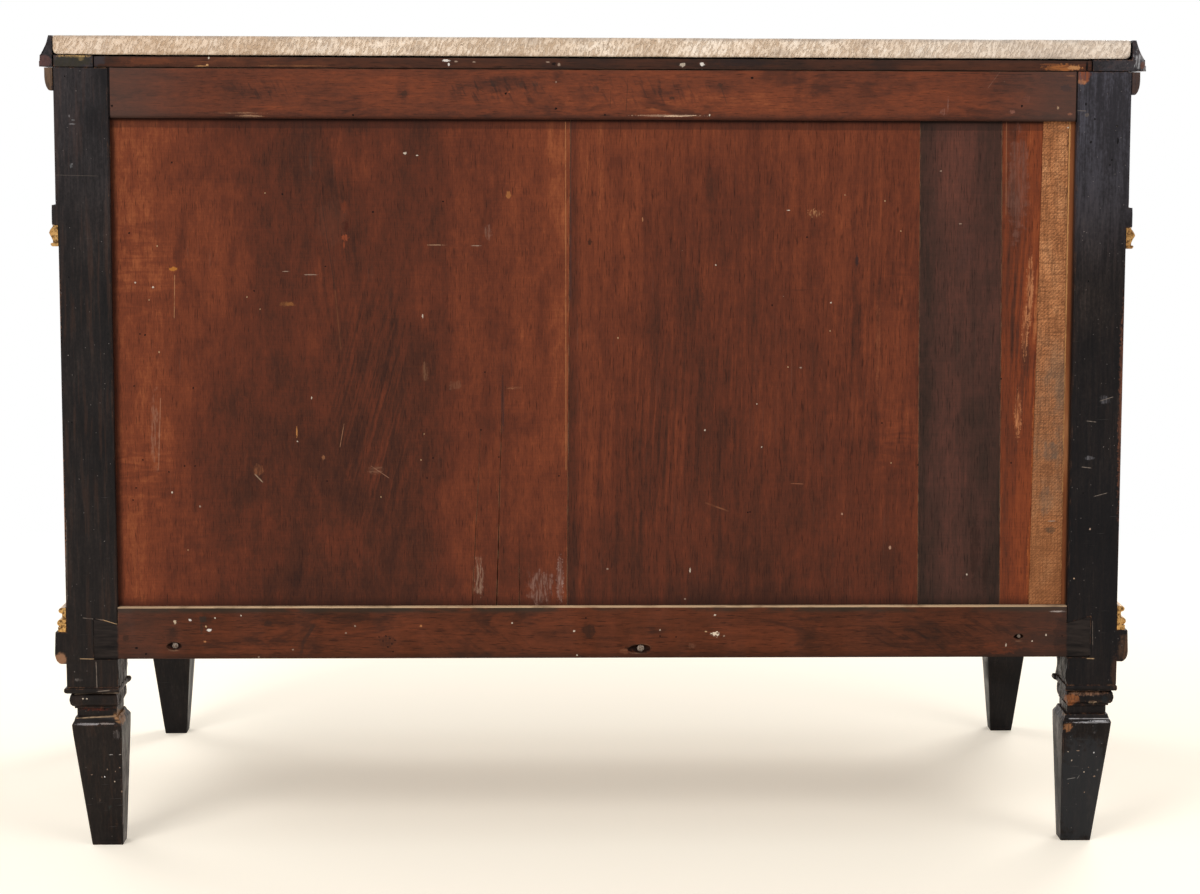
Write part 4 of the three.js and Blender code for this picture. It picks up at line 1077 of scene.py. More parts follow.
@dataclass(frozen=True)
class Linen:
    """A coarse plain weave, tanned with glue and grime."""

    name: str = "glued_linen"
    thread: float = 2.1 * MM

    def weave(self, recipe: Recipe, over: Socket, run: Socket) -> Socket:
        """One set of threads: rounded ribs across, rising and falling along.

        Args:
            recipe: the material in the making.
            over: the coordinate across the threads.
            run: the coordinate along them.

        Returns:
            Their height, from 0 to 1.
        """
        turn = math.pi / self.thread
        rib = recipe.math("ABSOLUTE", recipe.math("SINE", recipe.times(over, turn)))
        sway = recipe.math("SINE", recipe.math("ADD", recipe.times(run, turn), recipe.times(over, turn)))
        return recipe.times(rib, recipe.math("MULTIPLY_ADD", sway, 0.4, 0.6))

    def build(self) -> bpy.types.Material:
        """Makes the material."""
        recipe = Recipe(self.name)
        drift = recipe.noise(0.03, detail=2, seed=1)
        bent = recipe.math("MULTIPLY_ADD", drift, 3 * MM, recipe.x)
        sag = recipe.math("MULTIPLY_ADD", drift, 4 * MM, recipe.z)
        height = recipe.either(self.weave(recipe, bent, sag), self.weave(recipe, sag, bent))
        slub = recipe.noise(0.004, (1, 1, 0.3), 3, 0.6, seed=3)
        height = recipe.times(height, recipe.rise(slub, 0.2, 0.8, 0.7, 1.1))
        cloud = recipe.noise(0.03, (1, 1, 0.6), 4, 0.65, 0.4, 6)
        colour = recipe.ramp(cloud, (
            (0.3, (0.36, 0.130, 0.048)), (0.52, (0.55, 0.222, 0.088)), (0.75, (0.72, 0.345, 0.155))))
        colour = recipe.mix(recipe.rise(height, 0.20, 0.72, 0.30, 0), colour, (0.075, 0.028, 0.012))
        for drawn, seed in (((1, 1, 0.09), 8), ((0.09, 1, 1), 12)):
            single = recipe.noise(2.0 * MM, drawn, 3, 0.7, seed=seed)
            colour = recipe.mix(recipe.rise(single, 0.44, 0.62, 0, 0.52), colour, (0.12, 0.045, 0.018))
        knots = recipe.noise(2.0 * MM, detail=3, rough=0.7, seed=16)
        colour = recipe.mix(recipe.rise(knots, 0.50, 0.64, 0, 0.65), colour, (0.10, 0.040, 0.017))
        dark = recipe.times(recipe.window(recipe.z, 0.40, 0.56, 0.05), recipe.rise(cloud, 0.42, 0.62, 0.15, 0.6))
        colour = recipe.mix(dark, colour, (0.10, 0.075, 0.055))
        lower = recipe.rise(recipe.z, 0.28, 0.52, 0.52, 0)
        colour = recipe.mix(lower, colour, (0.20, 0.075, 0.028))
        marks = (
            (1068, 127.5, 3, 2.4, PLASTER), (1052, 521, 11, 1.6, DUST),
            (1050, 530, 14, 9, (0.06, 0.045, 0.03), 0.6, 0.5), (1050, 452, 20, 26, (0.11, 0.085, 0.065), 0.55, 0.5),
            (1046, 500, 16, 40, (0.12, 0.085, 0.060), 0.45, 0.6), (1060, 131, 20, 3, (0.13, 0.06, 0.03), 0.5),
        )
        colour = add_marks(recipe, colour, marks, (), BOARD_FACE)
        return recipe.done(colour, 0.92, recipe.relief(height, 0.5 * MM), shine=0.15)


@dataclass(frozen=True)
class Veneer(Timber):
    """Figured walnut veneer, matched about the middle, on a board that is bare inside."""

    matched: bool = False
    bare_from: float | None = None
    figure: float = 0.55

    def tone(self, recipe: Recipe) -> Socket:
        """Flames and clouds, mirrored about the middle where the sheets are matched."""
        across = recipe.math("ABSOLUTE", recipe.x) if self.matched else recipe.x
        joined = recipe.node("ShaderNodeCombineXYZ")
        for socket, part in zip(joined.inputs, (across, recipe.y, recipe.z)):
            recipe.put(socket, part)
        recipe.place = joined.outputs[0]
        flame = recipe.noise(0.20, self.along(0.55), 4, 0.55, 1.6, self.seed)
        burr = recipe.noise(0.045, self.along(0.6), 4, 0.6, 1.0, self.seed + 1)
        tone = recipe.math("MULTIPLY_ADD", recipe.math("SUBTRACT", flame, 0.5), self.figure * 2, 0.5 + self.lift)
        return recipe.math("MULTIPLY_ADD", recipe.math("SUBTRACT", burr, 0.5), self.figure, tone)

    def dress(self, recipe: Recipe, colour: Socket) -> Socket:
        """The bare carcass wood behind the veneer."""
        if self.bare_from is None:
            return colour
        inside = recipe.rise(recipe.y, self.bare_from, self.bare_from + 0.3 * MM)
        plain = recipe.noise(0.006, (0.04, 1, 1), 4, 0.6, 0.1, self.seed + 51)
        bare = recipe.ramp(plain, [(0.3, (0.20, 0.105, 0.05)), (0.5, (0.30, 0.17, 0.085)), (0.7, (0.40, 0.24, 0.13))])
        return recipe.mix(inside, colour, bare)


class Workpiece:
    """One piece on the bench, shaped by operators and then set on its body."""

    def __init__(self, piece: bpy.types.Object) -> None:
        """Takes a mesh object onto the bench.

        Args:
            piece: the mesh object.
        """
        self.piece = piece

    @classmethod
    def of_node(cls, node: str, name: str | None = None) -> "Workpiece":
        """A copy of a CAD node, its triangles merged into clean faces.

        Args:
            node: the node's name.
            name: the new piece's name.

        Returns:
            The copy on the bench.
        """
        piece = bpy.data.objects.new(name or f"{node}_made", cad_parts[node].data.copy())
        bpy.context.scene.collection.objects.link(piece)
        piece.data.materials.clear()
        work = cls(piece)
        work.hold()
        bpy.ops.mesh.customdata_custom_splitnormals_clear()
        with work.editing():
            bpy.ops.mesh.select_all(action="SELECT")
            bpy.ops.mesh.remove_doubles(threshold=WELD)
            bpy.ops.mesh.dissolve_limited(angle_limit=FLAT_ANGLE)
        return work

    @classmethod
    def block(cls, name: str, low: Sequence[float], high: Sequence[float]) -> "Workpiece":
        """A block between two corners, as a start for a shape."""
        deselect()
        centre = [(a + b) / 2 for a, b in zip(low, high)]
        size = [b - a for a, b in zip(low, high)]
        bpy.ops.mesh.primitive_cube_add(size=1, location=centre, scale=size)
        return cls(bpy.context.object).named(name).settled()

    @classmethod
    def turned(cls, name: str, profile: Sequence[tuple[float, float]], steps: int = 32) -> "Workpiece":
        """A shape turned about the Y axis.

        Args:
            name: the piece's name.
            profile: reach from the axis and place along it, from end to end.
            steps: how many facets go round.

        Returns:
            The turned shape, with its axis through the origin.
        """
        deselect()
        bpy.ops.mesh.primitive_plane_add(size=1, location=(0, 0, 0))
        work = cls(bpy.context.object).named(name)
        mesh = bmesh.new()
        corners = [mesh.verts.new((reach, along, 0)) for reach, along in profile]
        for first, second in zip(corners, corners[1:]):
            mesh.edges.new((first, second))
        mesh.to_mesh(work.piece.data)
        mesh.free()
        with work.editing():
            bpy.ops.mesh.select_all(action="SELECT")
            bpy.ops.mesh.spin(steps=steps, angle=math.tau, center=(0, 0, 0), axis=(0, 1, 0))
            bpy.ops.mesh.select_all(action="SELECT")
            bpy.ops.mesh.remove_doubles(threshold=WELD)
        return work.outward()

    def outward(self) -> "Workpiece":
        """Turns every face of the piece outwards."""
        with self.editing():
            bpy.ops.mesh.select_all(action="SELECT")
            bpy.ops.mesh.normals_make_consistent(inside=False)
        return self

    def named(self, name: str) -> "Workpiece":
        """Names the piece and its mesh."""
        self.piece.name = name
        self.piece.data.name = name
        return self

    def hold(self) -> None:
        """Makes this piece the only one selected, and the active one."""
        deselect()
        self.piece.select_set(True)
        bpy.context.view_layer.objects.active = self.piece

    @contextmanager
    def editing(self) -> Iterator[None]:
        """Opens the piece in edit mode for the length of a block."""
        self.hold()
        bpy.ops.object.mode_set(mode="EDIT")
        yield
        bpy.ops.object.mode_set(mode="OBJECT")

    def settled(self) -> "Workpiece":
        """Puts the piece's place, turn and scale into its mesh."""
        self.hold()
        bpy.ops.object.transform_apply(location=True, rotation=True, scale=True)
        return self

    def slice(self, axis: int, places: Sequence[float]) -> "Workpiece":
        """Cuts edges into the piece on planes across an axis.

        Args:
            axis: 0, 1 or 2.
            places: where the planes lie.

        Returns:
            The piece.
        """
        across = [0.0, 0.0, 0.0]
        across[axis] = 1.0
        with self.editing():
            for place in places:
                bpy.ops.mesh.select_all(action="SELECT")
                bpy.ops.mesh.bisect(plane_co=[place * a for a in across], plane_no=across)
        return self

    def bevel_edges(self, width: float, segments: int, test: Callable[[bmesh.types.BMEdge], bool]) -> "Workpiece":
        """Rounds the edges that pass a test.

        Args:
            width: how far the round reaches.
            segments: how many facets it has.
            test: tells the edges to round.

        Returns:
            The piece.
        """
        with self.editing():
            bpy.ops.mesh.select_mode(type="EDGE")
            bpy.ops.mesh.select_all(action="DESELECT")
            mesh = bmesh.from_edit_mesh(self.piece.data)
            for edge in mesh.edges:
                if len(edge.link_faces) == 2 and test(edge):
                    edge.select = True
            bmesh.update_edit_mesh(self.piece.data)
            bpy.ops.mesh.bevel(offset=width, segments=segments, affect="EDGES", clamp_overlap=False)
        return self

    def modified(self, kind: str, **settings: object) -> "Workpiece":
        """Adds a modifier with its settings and applies it."""
        self.hold()
        modifier = self.piece.modifiers.new(kind.lower(), kind)
        for key, value in settings.items():
            setattr(modifier, key, value)
        bpy.ops.object.modifier_apply(modifier=modifier.name)
        return self

    def eased(self, width: float = 0.5 * MM, segments: int = 2, angle: float = 40) -> "Workpiece":
        """Rounds every sharp edge a little."""
        return self.modified("BEVEL", width=width, segments=segments, limit_method="ANGLE",
                             angle_limit=math.radians(angle), use_clamp_overlap=True)

    def nibbled(self, depth: float, size: float, test: Callable[[Vector], bool] = lambda place: True) -> "Workpiece":
        """Wears the piece's sharp edges in, unevenly.

        Args:
            depth: the deepest wear.
            size: how long a bite is.
            test: tells the places that may wear.

        Returns:
            The piece.
        """
        mesh = bmesh.new()
        mesh.from_mesh(self.piece.data)
        sharp = {v.index for e in mesh.edges if len(e.link_faces) == 2 and e.calc_face_angle(0) > 0.3
                 for v in e.verts if test(v.co)}
        mesh.free()
        group = self.piece.vertex_groups.new(name="sharp")
        group.add(sorted(sharp), 1.0, "REPLACE")
        clouds = bpy.data.textures.new(f"{self.piece.name}_wear", "CLOUDS")
        clouds.noise_scale = size
        clouds.noise_depth = 2
        self.modified("DISPLACE", texture=clouds, strength=-depth * 1.4, mid_level=0.0, vertex_group="sharp",
                      texture_coords="LOCAL")
        self.piece.vertex_groups.clear()
        return self

    def carved(self, move: Callable[[Vector, Vector], Vector]) -> "Workpiece":
        """Moves each point of the piece.

        Args:
            move: gives a point's new place from its place and its normal.

        Returns:
            The piece.
        """
        for vertex in self.piece.data.vertices:
            vertex.co = move(vertex.co.copy(), vertex.normal.copy())
        self.piece.data.update()
        return self

    def cut(self, cutter: "Workpiece") -> "Workpiece":
        """Takes another piece away from this one, and uses it up."""
        self.modified("BOOLEAN", object=cutter.piece, operation="DIFFERENCE", solver="EXACT")
        bpy.data.objects.remove(cutter.piece)
        return self

    def joined(self, *others: "Workpiece") -> "Workpiece":
        """Takes other pieces into this one's mesh."""
        self.hold()
        for other in others:
            other.piece.select_set(True)
        bpy.ops.object.join()
        return self

    def copied(self, name: str, place: Vector) -> "Workpiece":
        """A copy with its own mesh, moved by a place."""
        twin = self.piece.copy()
        twin.data = self.piece.data.copy()
        bpy.context.scene.collection.objects.link(twin)
        twin.data.transform(Matrix.Translation(place))
        return Workpiece(twin).named(name)

    def dropped(self) -> None:
        """Takes the piece off the bench."""
        bpy.data.objects.remove(self.piece)

    def set_on(self, body: str, slot: Slot, material: bpy.types.Material, *nodes: str) -> "Workpiece":
        """Gives the piece its finish and its body, in place of CAD nodes.

        Args:
            body: the body that it rides on.
            slot: the record's name for its finish; not used.
            material: its material.
            nodes: the CAD nodes that it stands for.

        Returns:
            The piece.
        """
        self.hold()
        bpy.ops.object.shade_smooth_by_angle(angle=SMOOTH_ANGLE)
        self.piece.data.materials.clear()
        self.piece.data.materials.append(material)
        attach(self.piece, body)
        if nodes:
            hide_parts(*nodes)
        LOG.info("%s: %d faces on %s", self.piece.name, len(self.piece.data.polygons), body)
        return self


def deselect() -> None:
    """Clears the selection."""
    for piece in bpy.context.selected_objects:
        piece.select_set(False)


def steps(low: float, high: float, spacing: float) -> list[float]:
    """Evenly spaced places between two ends, the ends left out."""
    count = max(2, round((high - low) / spacing))
    return [low + (high - low) * i / count for i in range(1, count)]


def upright(edge: bmesh.types.BMEdge) -> bool:
    """Tells an edge that runs mostly up and down."""
    run = edge.verts[1].co - edge.verts[0].co
    return abs(run.z) > 0.75 * run.length


@dataclass
class CornerPosts:
    """The four posts with their legs, and the gilt mounts on them."""

    corner_round: float = 1.3 * MM
    corner_segments: int = 3
    joint_from: float = 8 * MM
    joint_to: float = 45 * MM
    joint_low: float = 0.16
    inner_reach: float = 5 * MM
    slice_spacing: float = 13 * MM
    neck_spacing: float = 3.1 * MM
    depth_spacing: float = 4.3 * MM
    wear_depth: float = 0.5 * MM
    wear_size: float = 16 * MM
    pitch: float = 8 * MM
    leaf_depth: float = 1.5 * MM
    leaf_columns: float = 1.0 * MM
    leaf_rows: float = 1.6 * MM
    small_pitch: float = 5 * MM
    small_leaf: float = 0.9 * MM
    bead_radius: float = 1.9 * MM
    bead_spacing: float = 4.1 * MM
    bead_height: float = 2 * MM
    bead_reach: float = 1.6 * MM
    block_width: float = 57.5 * MM
    block_depth: float = 64 * MM
    bruise_depth: float = 2.2 * MM
    belly_length: float = 14 * MM
    belly_reach: float = 8.6 * MM

    def finishes(self) -> dict[str, Ebonised]:
        """The black finish of each post, with its own worn places and, on the back feet, painted highlights."""
        face, half = BACK_FACE, OPENING_HALF
        scribe = (0.20, 0.16, 0.13)
        left_of_view = Ebonised(
            "post_back_right_black", seed=2.0, grey=0.18, brown=0.35, side=1, specks=0.07,
            patches=(
                ((half + 0.065, face, 0.2175), (9, 30, 8), (0.26, 0.13, 0.07)),
                ((half + 0.000, face - 0.02, 0.1485), (10, 26, 9.5), (0.36, 0.185, 0.085), 0.9, 0.5, 0.45),
                ((half + 0.055, face, 0.118), (3, 20, 8), (0.34, 0.14, 0.05), 0.9, 0.5, 0.3),
                ((half + 0.057, face, 0.62), (1.8, 20, 60), (0.16, 0.08, 0.05), 0.8, 0.7, 0.7),
                ((half + 0.057, face, 0.37), (2.0, 20, 80), (0.22, 0.10, 0.05), 0.9, 0.7, 0.7),
                ((half + 0.028, face, 0.158), (28, 14, 3.4), (0.12, 0.022, 0.010), 0.85, 0.4, 0.6),
                ((half - 0.002, face - 0.03, 0.174), (5, 30, 9), (0.42, 0.36, 0.34), 0.6, 0.5, 0.8),
            ),
            strokes=(
                (56, 175, 98, 176, 0.7, scribe, 0.3), (96, 662, 97, 688, 1.0, scribe, 0.9),
                (80, 658.8, 104, 659.3, 1.0, PALE_WOOD, 0.8), (83, 618, 103, 620, 0.9, scribe, 0.8),
                (103, 620, 119, 625, 1.1, PALE_WOOD, 0.8), (66.5, 520, 67, 600, 1.0, scribe, 0.5),
                # The pale strokes across the top of the collar and along the top of the cap are painted highlights.
                (95, 640, 95.2, 659, 0.8, scribe, 0.8), (74, 695, 119, 692.8, 1.5, (0.36, 0.27, 0.20)),
                (75, 719.6, 119, 718, 1.3, (0.42, 0.29, 0.18), 0.8), (98, 691, 110, 690, 1.4, scribe, 0.8),
                (72, 722.2, 118, 721.4, 2.4, (0.006, 0.005, 0.005), 0.8),
            ),
            marks=(
                (65, 568.5, 1.8, 4, PLASTER), (71, 166, 4, 6, (0.10, 0.10, 0.10), 1, 0.6),
                (69, 116, 2.2, 4, (0.12, 0.11, 0.11)), (73, 120, 5, 2, (0.10, 0.095, 0.095)),
                (72, 124, 8, 1.6, (0.13, 0.12, 0.12)), (72, 164, 3, 3, (0.10, 0.095, 0.095)),
                (82.5, 699.3, 2.6, 2.2, PLASTER), (86.3, 699.5, 2.6, 2.2, PLASTER),
                # The two level pale bands on the cap of the foot are painted highlights.
                (88, 724.9, 31, 2.6, (0.36, 0.33, 0.33), 1, 0.5, True), (106, 724.4, 20, 2.0, (0.22, 0.18, 0.16)),
                (78, 680, 10, 4, (0.12, 0.10, 0.09), 1, 0.8), (110, 756, 6, 1.3, (0.34, 0.31, 0.29)),
                (119, 756, 4, 1.3, (0.34, 0.31, 0.29)), (103.3, 779, 1.7, 2.0, (0.8, 0.8, 0.8)),
                (90, 776.8, 4, 1.4, DUST), (113, 783.8, 1.9, 2.4, PLASTER), (100.4, 779.2, 2, 1.8, DUST),
                (106, 771.5, 1.6, 3, DUST), (118.5, 769.5, 2, 2, DUST), (114, 773.5, 1.6, 2.2, DUST),
                (98, 803, 5, 6, (0.17, 0.11, 0.08), 1, 0.8), (120, 794.5, 2.6, 4, DUST),
                (108, 811, 7, 9, (0.020, 0.030, 0.028), 0.6), (114, 828, 6, 26, (0.075, 0.036, 0.022), 0.6, 0.5),
                (116, 735, 9, 14, (0.10, 0.085, 0.08), 0.7, 0.8),
            ),
        )
        right_of_view = Ebonised(
            "post_back_left_black", seed=7.0, grey=1.0, brown=0.10, deep=0.62, side=-1, specks=0.14, holes=0.20,
            shine=0.08,
            patches=(
                ((-half - 0.006, face, 0.864), (9, 12, 9), (0.20, 0.060, 0.028), 1.0, 0.5, 0.6),
                ((-half - 0.004, face, 0.857), (6, 12, 3), (0.36, 0.15, 0.07), 0.9, 0.6, 0.5),
                ((-half - 0.0080, face, 0.1675), (10, 26, 9.5), (0.27, 0.095, 0.034), 0.9, 0.5, 0.45),
                ((-half - 0.026, face, 0.1745), (26, 14, 3.4), (0.22, 0.115, 0.07), 0.9, 0.6, 0.8),
                ((-half - 0.0325, face, 0.1635), (6.5, 14, 2.4), (0.30, 0.21, 0.14), 0.9, 0.6, 0.6),
                ((-half - 0.024, face - 0.02, 0.062), (40, 60, 78), (0.027, 0.029, 0.032), 0.6, 0.3),
                ((-half - 0.0045, face, 0.136), (5.5, 20, 5.5), (0.26, 0.115, 0.05), 0.9, 0.5, 0.5),
                ((-half + 0.001, face - 0.02, 0.152), (4, 26, 6), (0.40, 0.20, 0.09), 0.8, 0.5, 0.5),
                ((-half - 0.066, face, 0.226), (8, 30, 18), (0.085, 0.045, 0.025), 0.8, 0.5, 0.6),
                ((-half - 0.0555, face, 0.50), (3.2, 20, 120), (0.13, 0.050, 0.028), 0.9, 0.7, 0.7),
                ((-half - 0.057, face, 0.44), (1.5, 20, 90), (0.28, 0.15, 0.10), 0.8, 0.7, 0.8),
                ((-half - 0.055, face, 0.20), (4, 20, 24), (0.050, 0.024, 0.016), 0.8, 0.6, 0.6),
                ((-half - 0.056, face, 0.132), (2.6, 20, 10), (0.090, 0.060, 0.070), 0.8, 0.5, 0.4),
            ),
            strokes=(
                (1068, 623.5, 1090, 618.8, 1.0, scribe), (1091.3, 618, 1091.3, 656, 1.0, (0.002, 0.002, 0.002)),
                (1092.6, 621, 1092.8, 645, 0.7, scribe, 0.6), (1087, 658.5, 1094, 658.7, 1.5, PALE_WOOD, 0.8),
                (1076, 110.5, 1086, 111, 0.8, scribe, 0.7), (1087, 421, 1096, 422, 1.1, scribe, 0.9),
                (1067, 636, 1085, 636.5, 1.2, scribe, 0.7), (1082, 467, 1091, 468, 1.2, scribe, 0.8),
                (1094, 496.5, 1107, 493, 0.9, scribe, 0.9), (1100, 401, 1113, 397, 1.0, scribe, 0.8),
                # The pale line along the top of the cap is a painted highlight.
                (1070, 719.6, 1112, 719.6, 1.2, (0.40, 0.38, 0.38), 0.9),
                (1072, 689, 1106, 689.2, 1.8, (0.002, 0.002, 0.002)),
                (1079, 781, 1081, 777.5, 0.9, (0.20, 0.19, 0.18), 0.7),
                (1069, 781.5, 1077, 780, 0.9, (0.22, 0.21, 0.20), 0.8),
            ),
            marks=(
                (1090, 529, 2.6, 3, (0.35, 0.24, 0.18)), (1074, 578.5, 2.2, 2.4, (0.45, 0.30, 0.2)),
                (1066, 117, 2.5, 2.5, HOLE_AND_SHADE_BLACK), (1086, 104, 2.5, 4, HOLE_AND_SHADE_BLACK), (1117, 126, 3, 3, HOLE_AND_SHADE_BLACK),
                (1091, 142, 3, 3, HOLE_AND_SHADE_BLACK), (1118, 141, 2.4, 9, HOLE_AND_SHADE_BLACK), (1112, 160, 2.6, 2.6, HOLE_AND_SHADE_BLACK),
                (1110, 165, 2.4, 2.4, HOLE_AND_SHADE_BLACK), (1095, 119, 2.4, 2.4, HOLE_AND_SHADE_BLACK),
                (1087, 115, 5, 6, (0.13, 0.10, 0.08), 1, 0.6), (1089, 458, 12, 5, (0.09, 0.085, 0.09), 1, 0.7),
                (1105, 400, 14, 10, (0.07, 0.065, 0.07), 1, 0.8),
                # The two pale bands on the cap of the foot are painted highlights.
                (1092, 722.8, 48, 2.2, (0.34, 0.33, 0.34), 1, 0.5, True), (1100, 721.6, 22, 1.6, (0.42, 0.41, 0.42)),
                (1095, 754, 2.2, 2.6, (0.7, 0.7, 0.7)), (1079, 752, 5, 1.6, DUST), (1069, 753, 1.8, 2, PLASTER),
                (1073, 762, 1.9, 3, PLASTER), (1085.5, 774, 2, 2.6, PLASTER), (1096, 778.5, 4, 2.6, DUST),
                (1090, 769, 2, 2, DUST), (1070, 786, 1.6, 1.6, DUST), (1086.6, 795, 2.2, 2.2, DUST),
                (1095, 733, 4, 4, (0.10, 0.09, 0.09), 1, 0.7), (1099, 772, 3, 4, (0.16, 0.14, 0.13), 1, 0.7),
                (1105, 700, 8, 9, (0.012, 0.014, 0.016), 0.8),
            ),
        )
        front = Ebonised("post_front_right_black", seed=11.0, wear=0.4, grey=0.1, brown=0.05, deep=0.55,
                         deep_foot=1.0, specks=0.01)
        return {
            "post_back_right": left_of_view,
            "post_back_left": right_of_view,
            "post_front_right": front,
            "post_front_left": replace(front, name="post_front_left_black", seed=13.0),
        }

    def is_corner(self, edge: bmesh.types.BMEdge) -> bool:
        """Tells the upright corner edges of a post from those of its joints."""
        middle = (edge.verts[0].co + edge.verts[1].co) / 2
        if not upright(edge) or edge.calc_face_angle_signed(0) < 0.9:
            return False
        in_joint = OPENING_HALF + self.joint_from < abs(middle.x) < OPENING_HALF + self.joint_to
        in_joint = in_joint and middle.z > self.joint_low
        inner_end = abs(middle.x) < OPENING_HALF + self.inner_reach
        return not in_joint or inner_end

    def post(self, node: str, material: bpy.types.Material) -> None:
        """One post: rounded and worn at its corners."""
        low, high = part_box(node)
        work = Workpiece.of_node(node)
        work.bevel_edges(self.corner_round, self.corner_segments, self.is_corner)
        work.slice(2, steps(0.0, POST_TOP, self.slice_spacing))
        if high.y > 0:
            work.slice(2, steps(LEG_NECK, CASE_LOW, self.neck_spacing))
            work.slice(1, steps(low.y, high.y, self.depth_spacing))
            work.carved(self.bruise(1 if high.x > 0 else -1))
        work.nibbled(self.wear_depth, self.wear_size)
        work.set_on("case", Slot.EBONISED, material, node)

    def bruise(self, side: int) -> Callable[[Vector, Vector], Vector]:
        """The damage of a back leg: its bead broken off here and there, its inner flank knocked about.

        Args:
            side: 1 for the post at the left of the view, -1 for the other.

        Returns:
            What moves a point of the post.
        """
        inner, outer = OPENING_HALF, OPENING_HALF + self.block_width
        far = BACK_FACE - self.block_depth

        def move(place: Vector, normal: Vector) -> Vector:
            """Wears one point."""
            out = abs(place.x)
            chip = noise.noise(Vector((place.x * 60, place.y * 95, place.z * 60 + side)))
            if BEAD_LOW < place.z < BEAD_HIGH:
                nub = place.y < far + 9 * MM
                if out < inner and not nub:
                    out = inner - (inner - out) * (0.05 if side < 0 else max(0.0, 0.25 + 1.2 * chip))
                if out > outer and side < 0:
                    out = outer + (out - outer) * 0.25
                if place.y > BACK_FACE:
                    place.y = BACK_FACE + (place.y - BACK_FACE) * (0.45 if side < 0 else 0.75)
                if place.y < far and side > 0:
                    place.y = far + (place.y - far) * max(0.0, 0.4 + 1.4 * chip)
            elif LEG_NECK < place.z < CASE_LOW - 0.6 * MM and out < inner + 4 * MM:
                out += self.bruise_depth * max(0.0, 0.25 + 1.5 * chip)
                if place.y < far + 6 * MM:
                    place.y += self.bruise_depth * max(0.0, 0.3 - 1.6 * chip)
            place.x = side * out
            return place
        return move

    def beads(self, node: str) -> list[Workpiece]:
        """A row of beads along the lower edge of a capital."""
        low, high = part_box(node)
        side = 1 if low.x + high.x > 0 else -1
        front = low.y < 0
        outer = side * POST_OUTER
        z = low.z + self.bead_height
        bpy.ops.object.select_all(action="DESELECT")
        bpy.ops.mesh.primitive_uv_sphere_add(segments=10, ring_count=6, radius=self.bead_radius)
        bead = Workpiece(bpy.context.object)
        start, end = (low.y + 4 * MM, high.y - 2 * MM) if front else (low.y + 2 * MM, high.y - 2 * MM)
        places = [Vector((outer + side * self.bead_reach, y, z))
                  for y in (start, *steps(start, end, self.bead_spacing), end)]
        if front:
            inner, corner = side * (OPENING_HALF + 2 * MM), side * (OPENING_HALF + 57 * MM)
            ends = sorted((inner, corner))
            places += [Vector((x, low.y + (6.5 - 1.6) * MM, z))
                       for x in (ends[0], *steps(*ends, self.bead_spacing), ends[1])]
        made = [bead.copied(f"bead_{i}", place) for i, place in enumerate(places)]
        bead.dropped()
        return made

    def belly(self, side: int, low: float, high: float, back: float) -> Callable[[Vector, Vector], Vector]:
        """The rounded end of a back capital: drawn in at its top, full below.

        Args:
            side: 1 for the right flank, -1 for the left.
            low: the capital's foot.
            high: its top.
            back: its end.

        Returns:
            What moves a point of the capital.
        """
        face = POST_OUTER

        def move(place: Vector, normal: Vector) -> Vector:
            """Draws one point in or out."""
            reach = abs(place.x) - face
            near = max(0.0, 1 - (back - place.y) / self.belly_length)
            if reach > 0.3 * MM and near > 0:
                share = (place.z - low) / (high - low)
                swell = math.sin(math.pi * min(1.0, max(0.0, 0.08 + share * 0.95)))
                full = self.belly_reach * (0.30 + 0.70 * swell ** 0.8)
                drawn = min(1.0, near * 2.2)
                place.x = side * (face + reach + (min(full, reach * 1.6 + 1.6 * MM) - reach) * drawn)
            return place
        return move

    def leaf(self, low: float, high: float, tip: float) -> Callable[[Vector, Vector], Vector]:
        """The carving of a row of upright leaves round a moulding.

        Args:
            low: where the leaves start.
            high: where they end.
            tip: how far their tips draw in between.

        Returns:
            What moves a point of the moulding.
        """
        def move(place: Vector, normal: Vector) -> Vector:
            """Draws one point in, deepest between two leaves."""
            if not low < place.z < high or max(abs(normal.x), abs(normal.y)) < 0.2:
                return place
            run = place.y if abs(normal.x) > abs(normal.y) else place.x
            share = (place.z - low) / (high - low)
            lobe = abs(math.sin(math.pi * run / self.pitch))
            rib = max(0.0, 1 - abs(math.cos(math.pi * run / self.pitch)) / 0.12) if lobe > 0.9 else 0.0
            hollow = (1 - lobe ** 0.6) * (0.35 + tip * share)
            out = Vector((normal.x, normal.y, 0)).normalized()
            fade = min(1.0, share * 6, (1 - share) * 6)
            return place - out * self.leaf_depth * fade * (hollow + 0.25 * rib)
        return move

    def mounts(self, material: bpy.types.Material) -> None:
        """The capitals, with leaves and beads, and the moulded bases."""
        for side, _ in SIDES:
            for end in ("front", "back"):
                node = f"capital_{end}_{side}"
                low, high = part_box(node)
                work = Workpiece.of_node(node)
                work.slice(1, steps(low.y, high.y, self.leaf_columns))
                if end == "front":
                    work.slice(0, steps(low.x, high.x, self.leaf_columns))
                work.slice(2, steps(low.z, high.z, self.leaf_rows))
                work.carved(self.leaf(low.z + 4.5 * MM, high.z, 0.9))
                if end == "back":
                    work.carved(self.belly(1 if side == "right" else -1, low.z, high.z, high.y))
                work.joined(*self.beads(node))
                work.set_on("case", Slot.GILT, material, node)
                node = f"base_mount_{end}_{side}"
                low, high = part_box(node)
                work = Workpiece.of_node(node).eased(0.4 * MM)
                work.slice(1, steps(low.y, high.y, self.leaf_columns))
                if end == "front":
                    work.slice(0, steps(low.x, high.x, self.leaf_columns))
                small = replace(self, leaf_depth=self.small_leaf, pitch=self.small_pitch)
                work.carved(small.leaf(low.z + 5.5 * MM, low.z + 14.5 * MM, 0.2))
                work.set_on("case", Slot.GILT, material, node)

    def build(self, gilt: bpy.types.Material) -> None:
        """Makes the posts and their mounts."""
        for node, finish in self.finishes().items():
            self.post(node, finish.build())
        self.mounts(gilt)


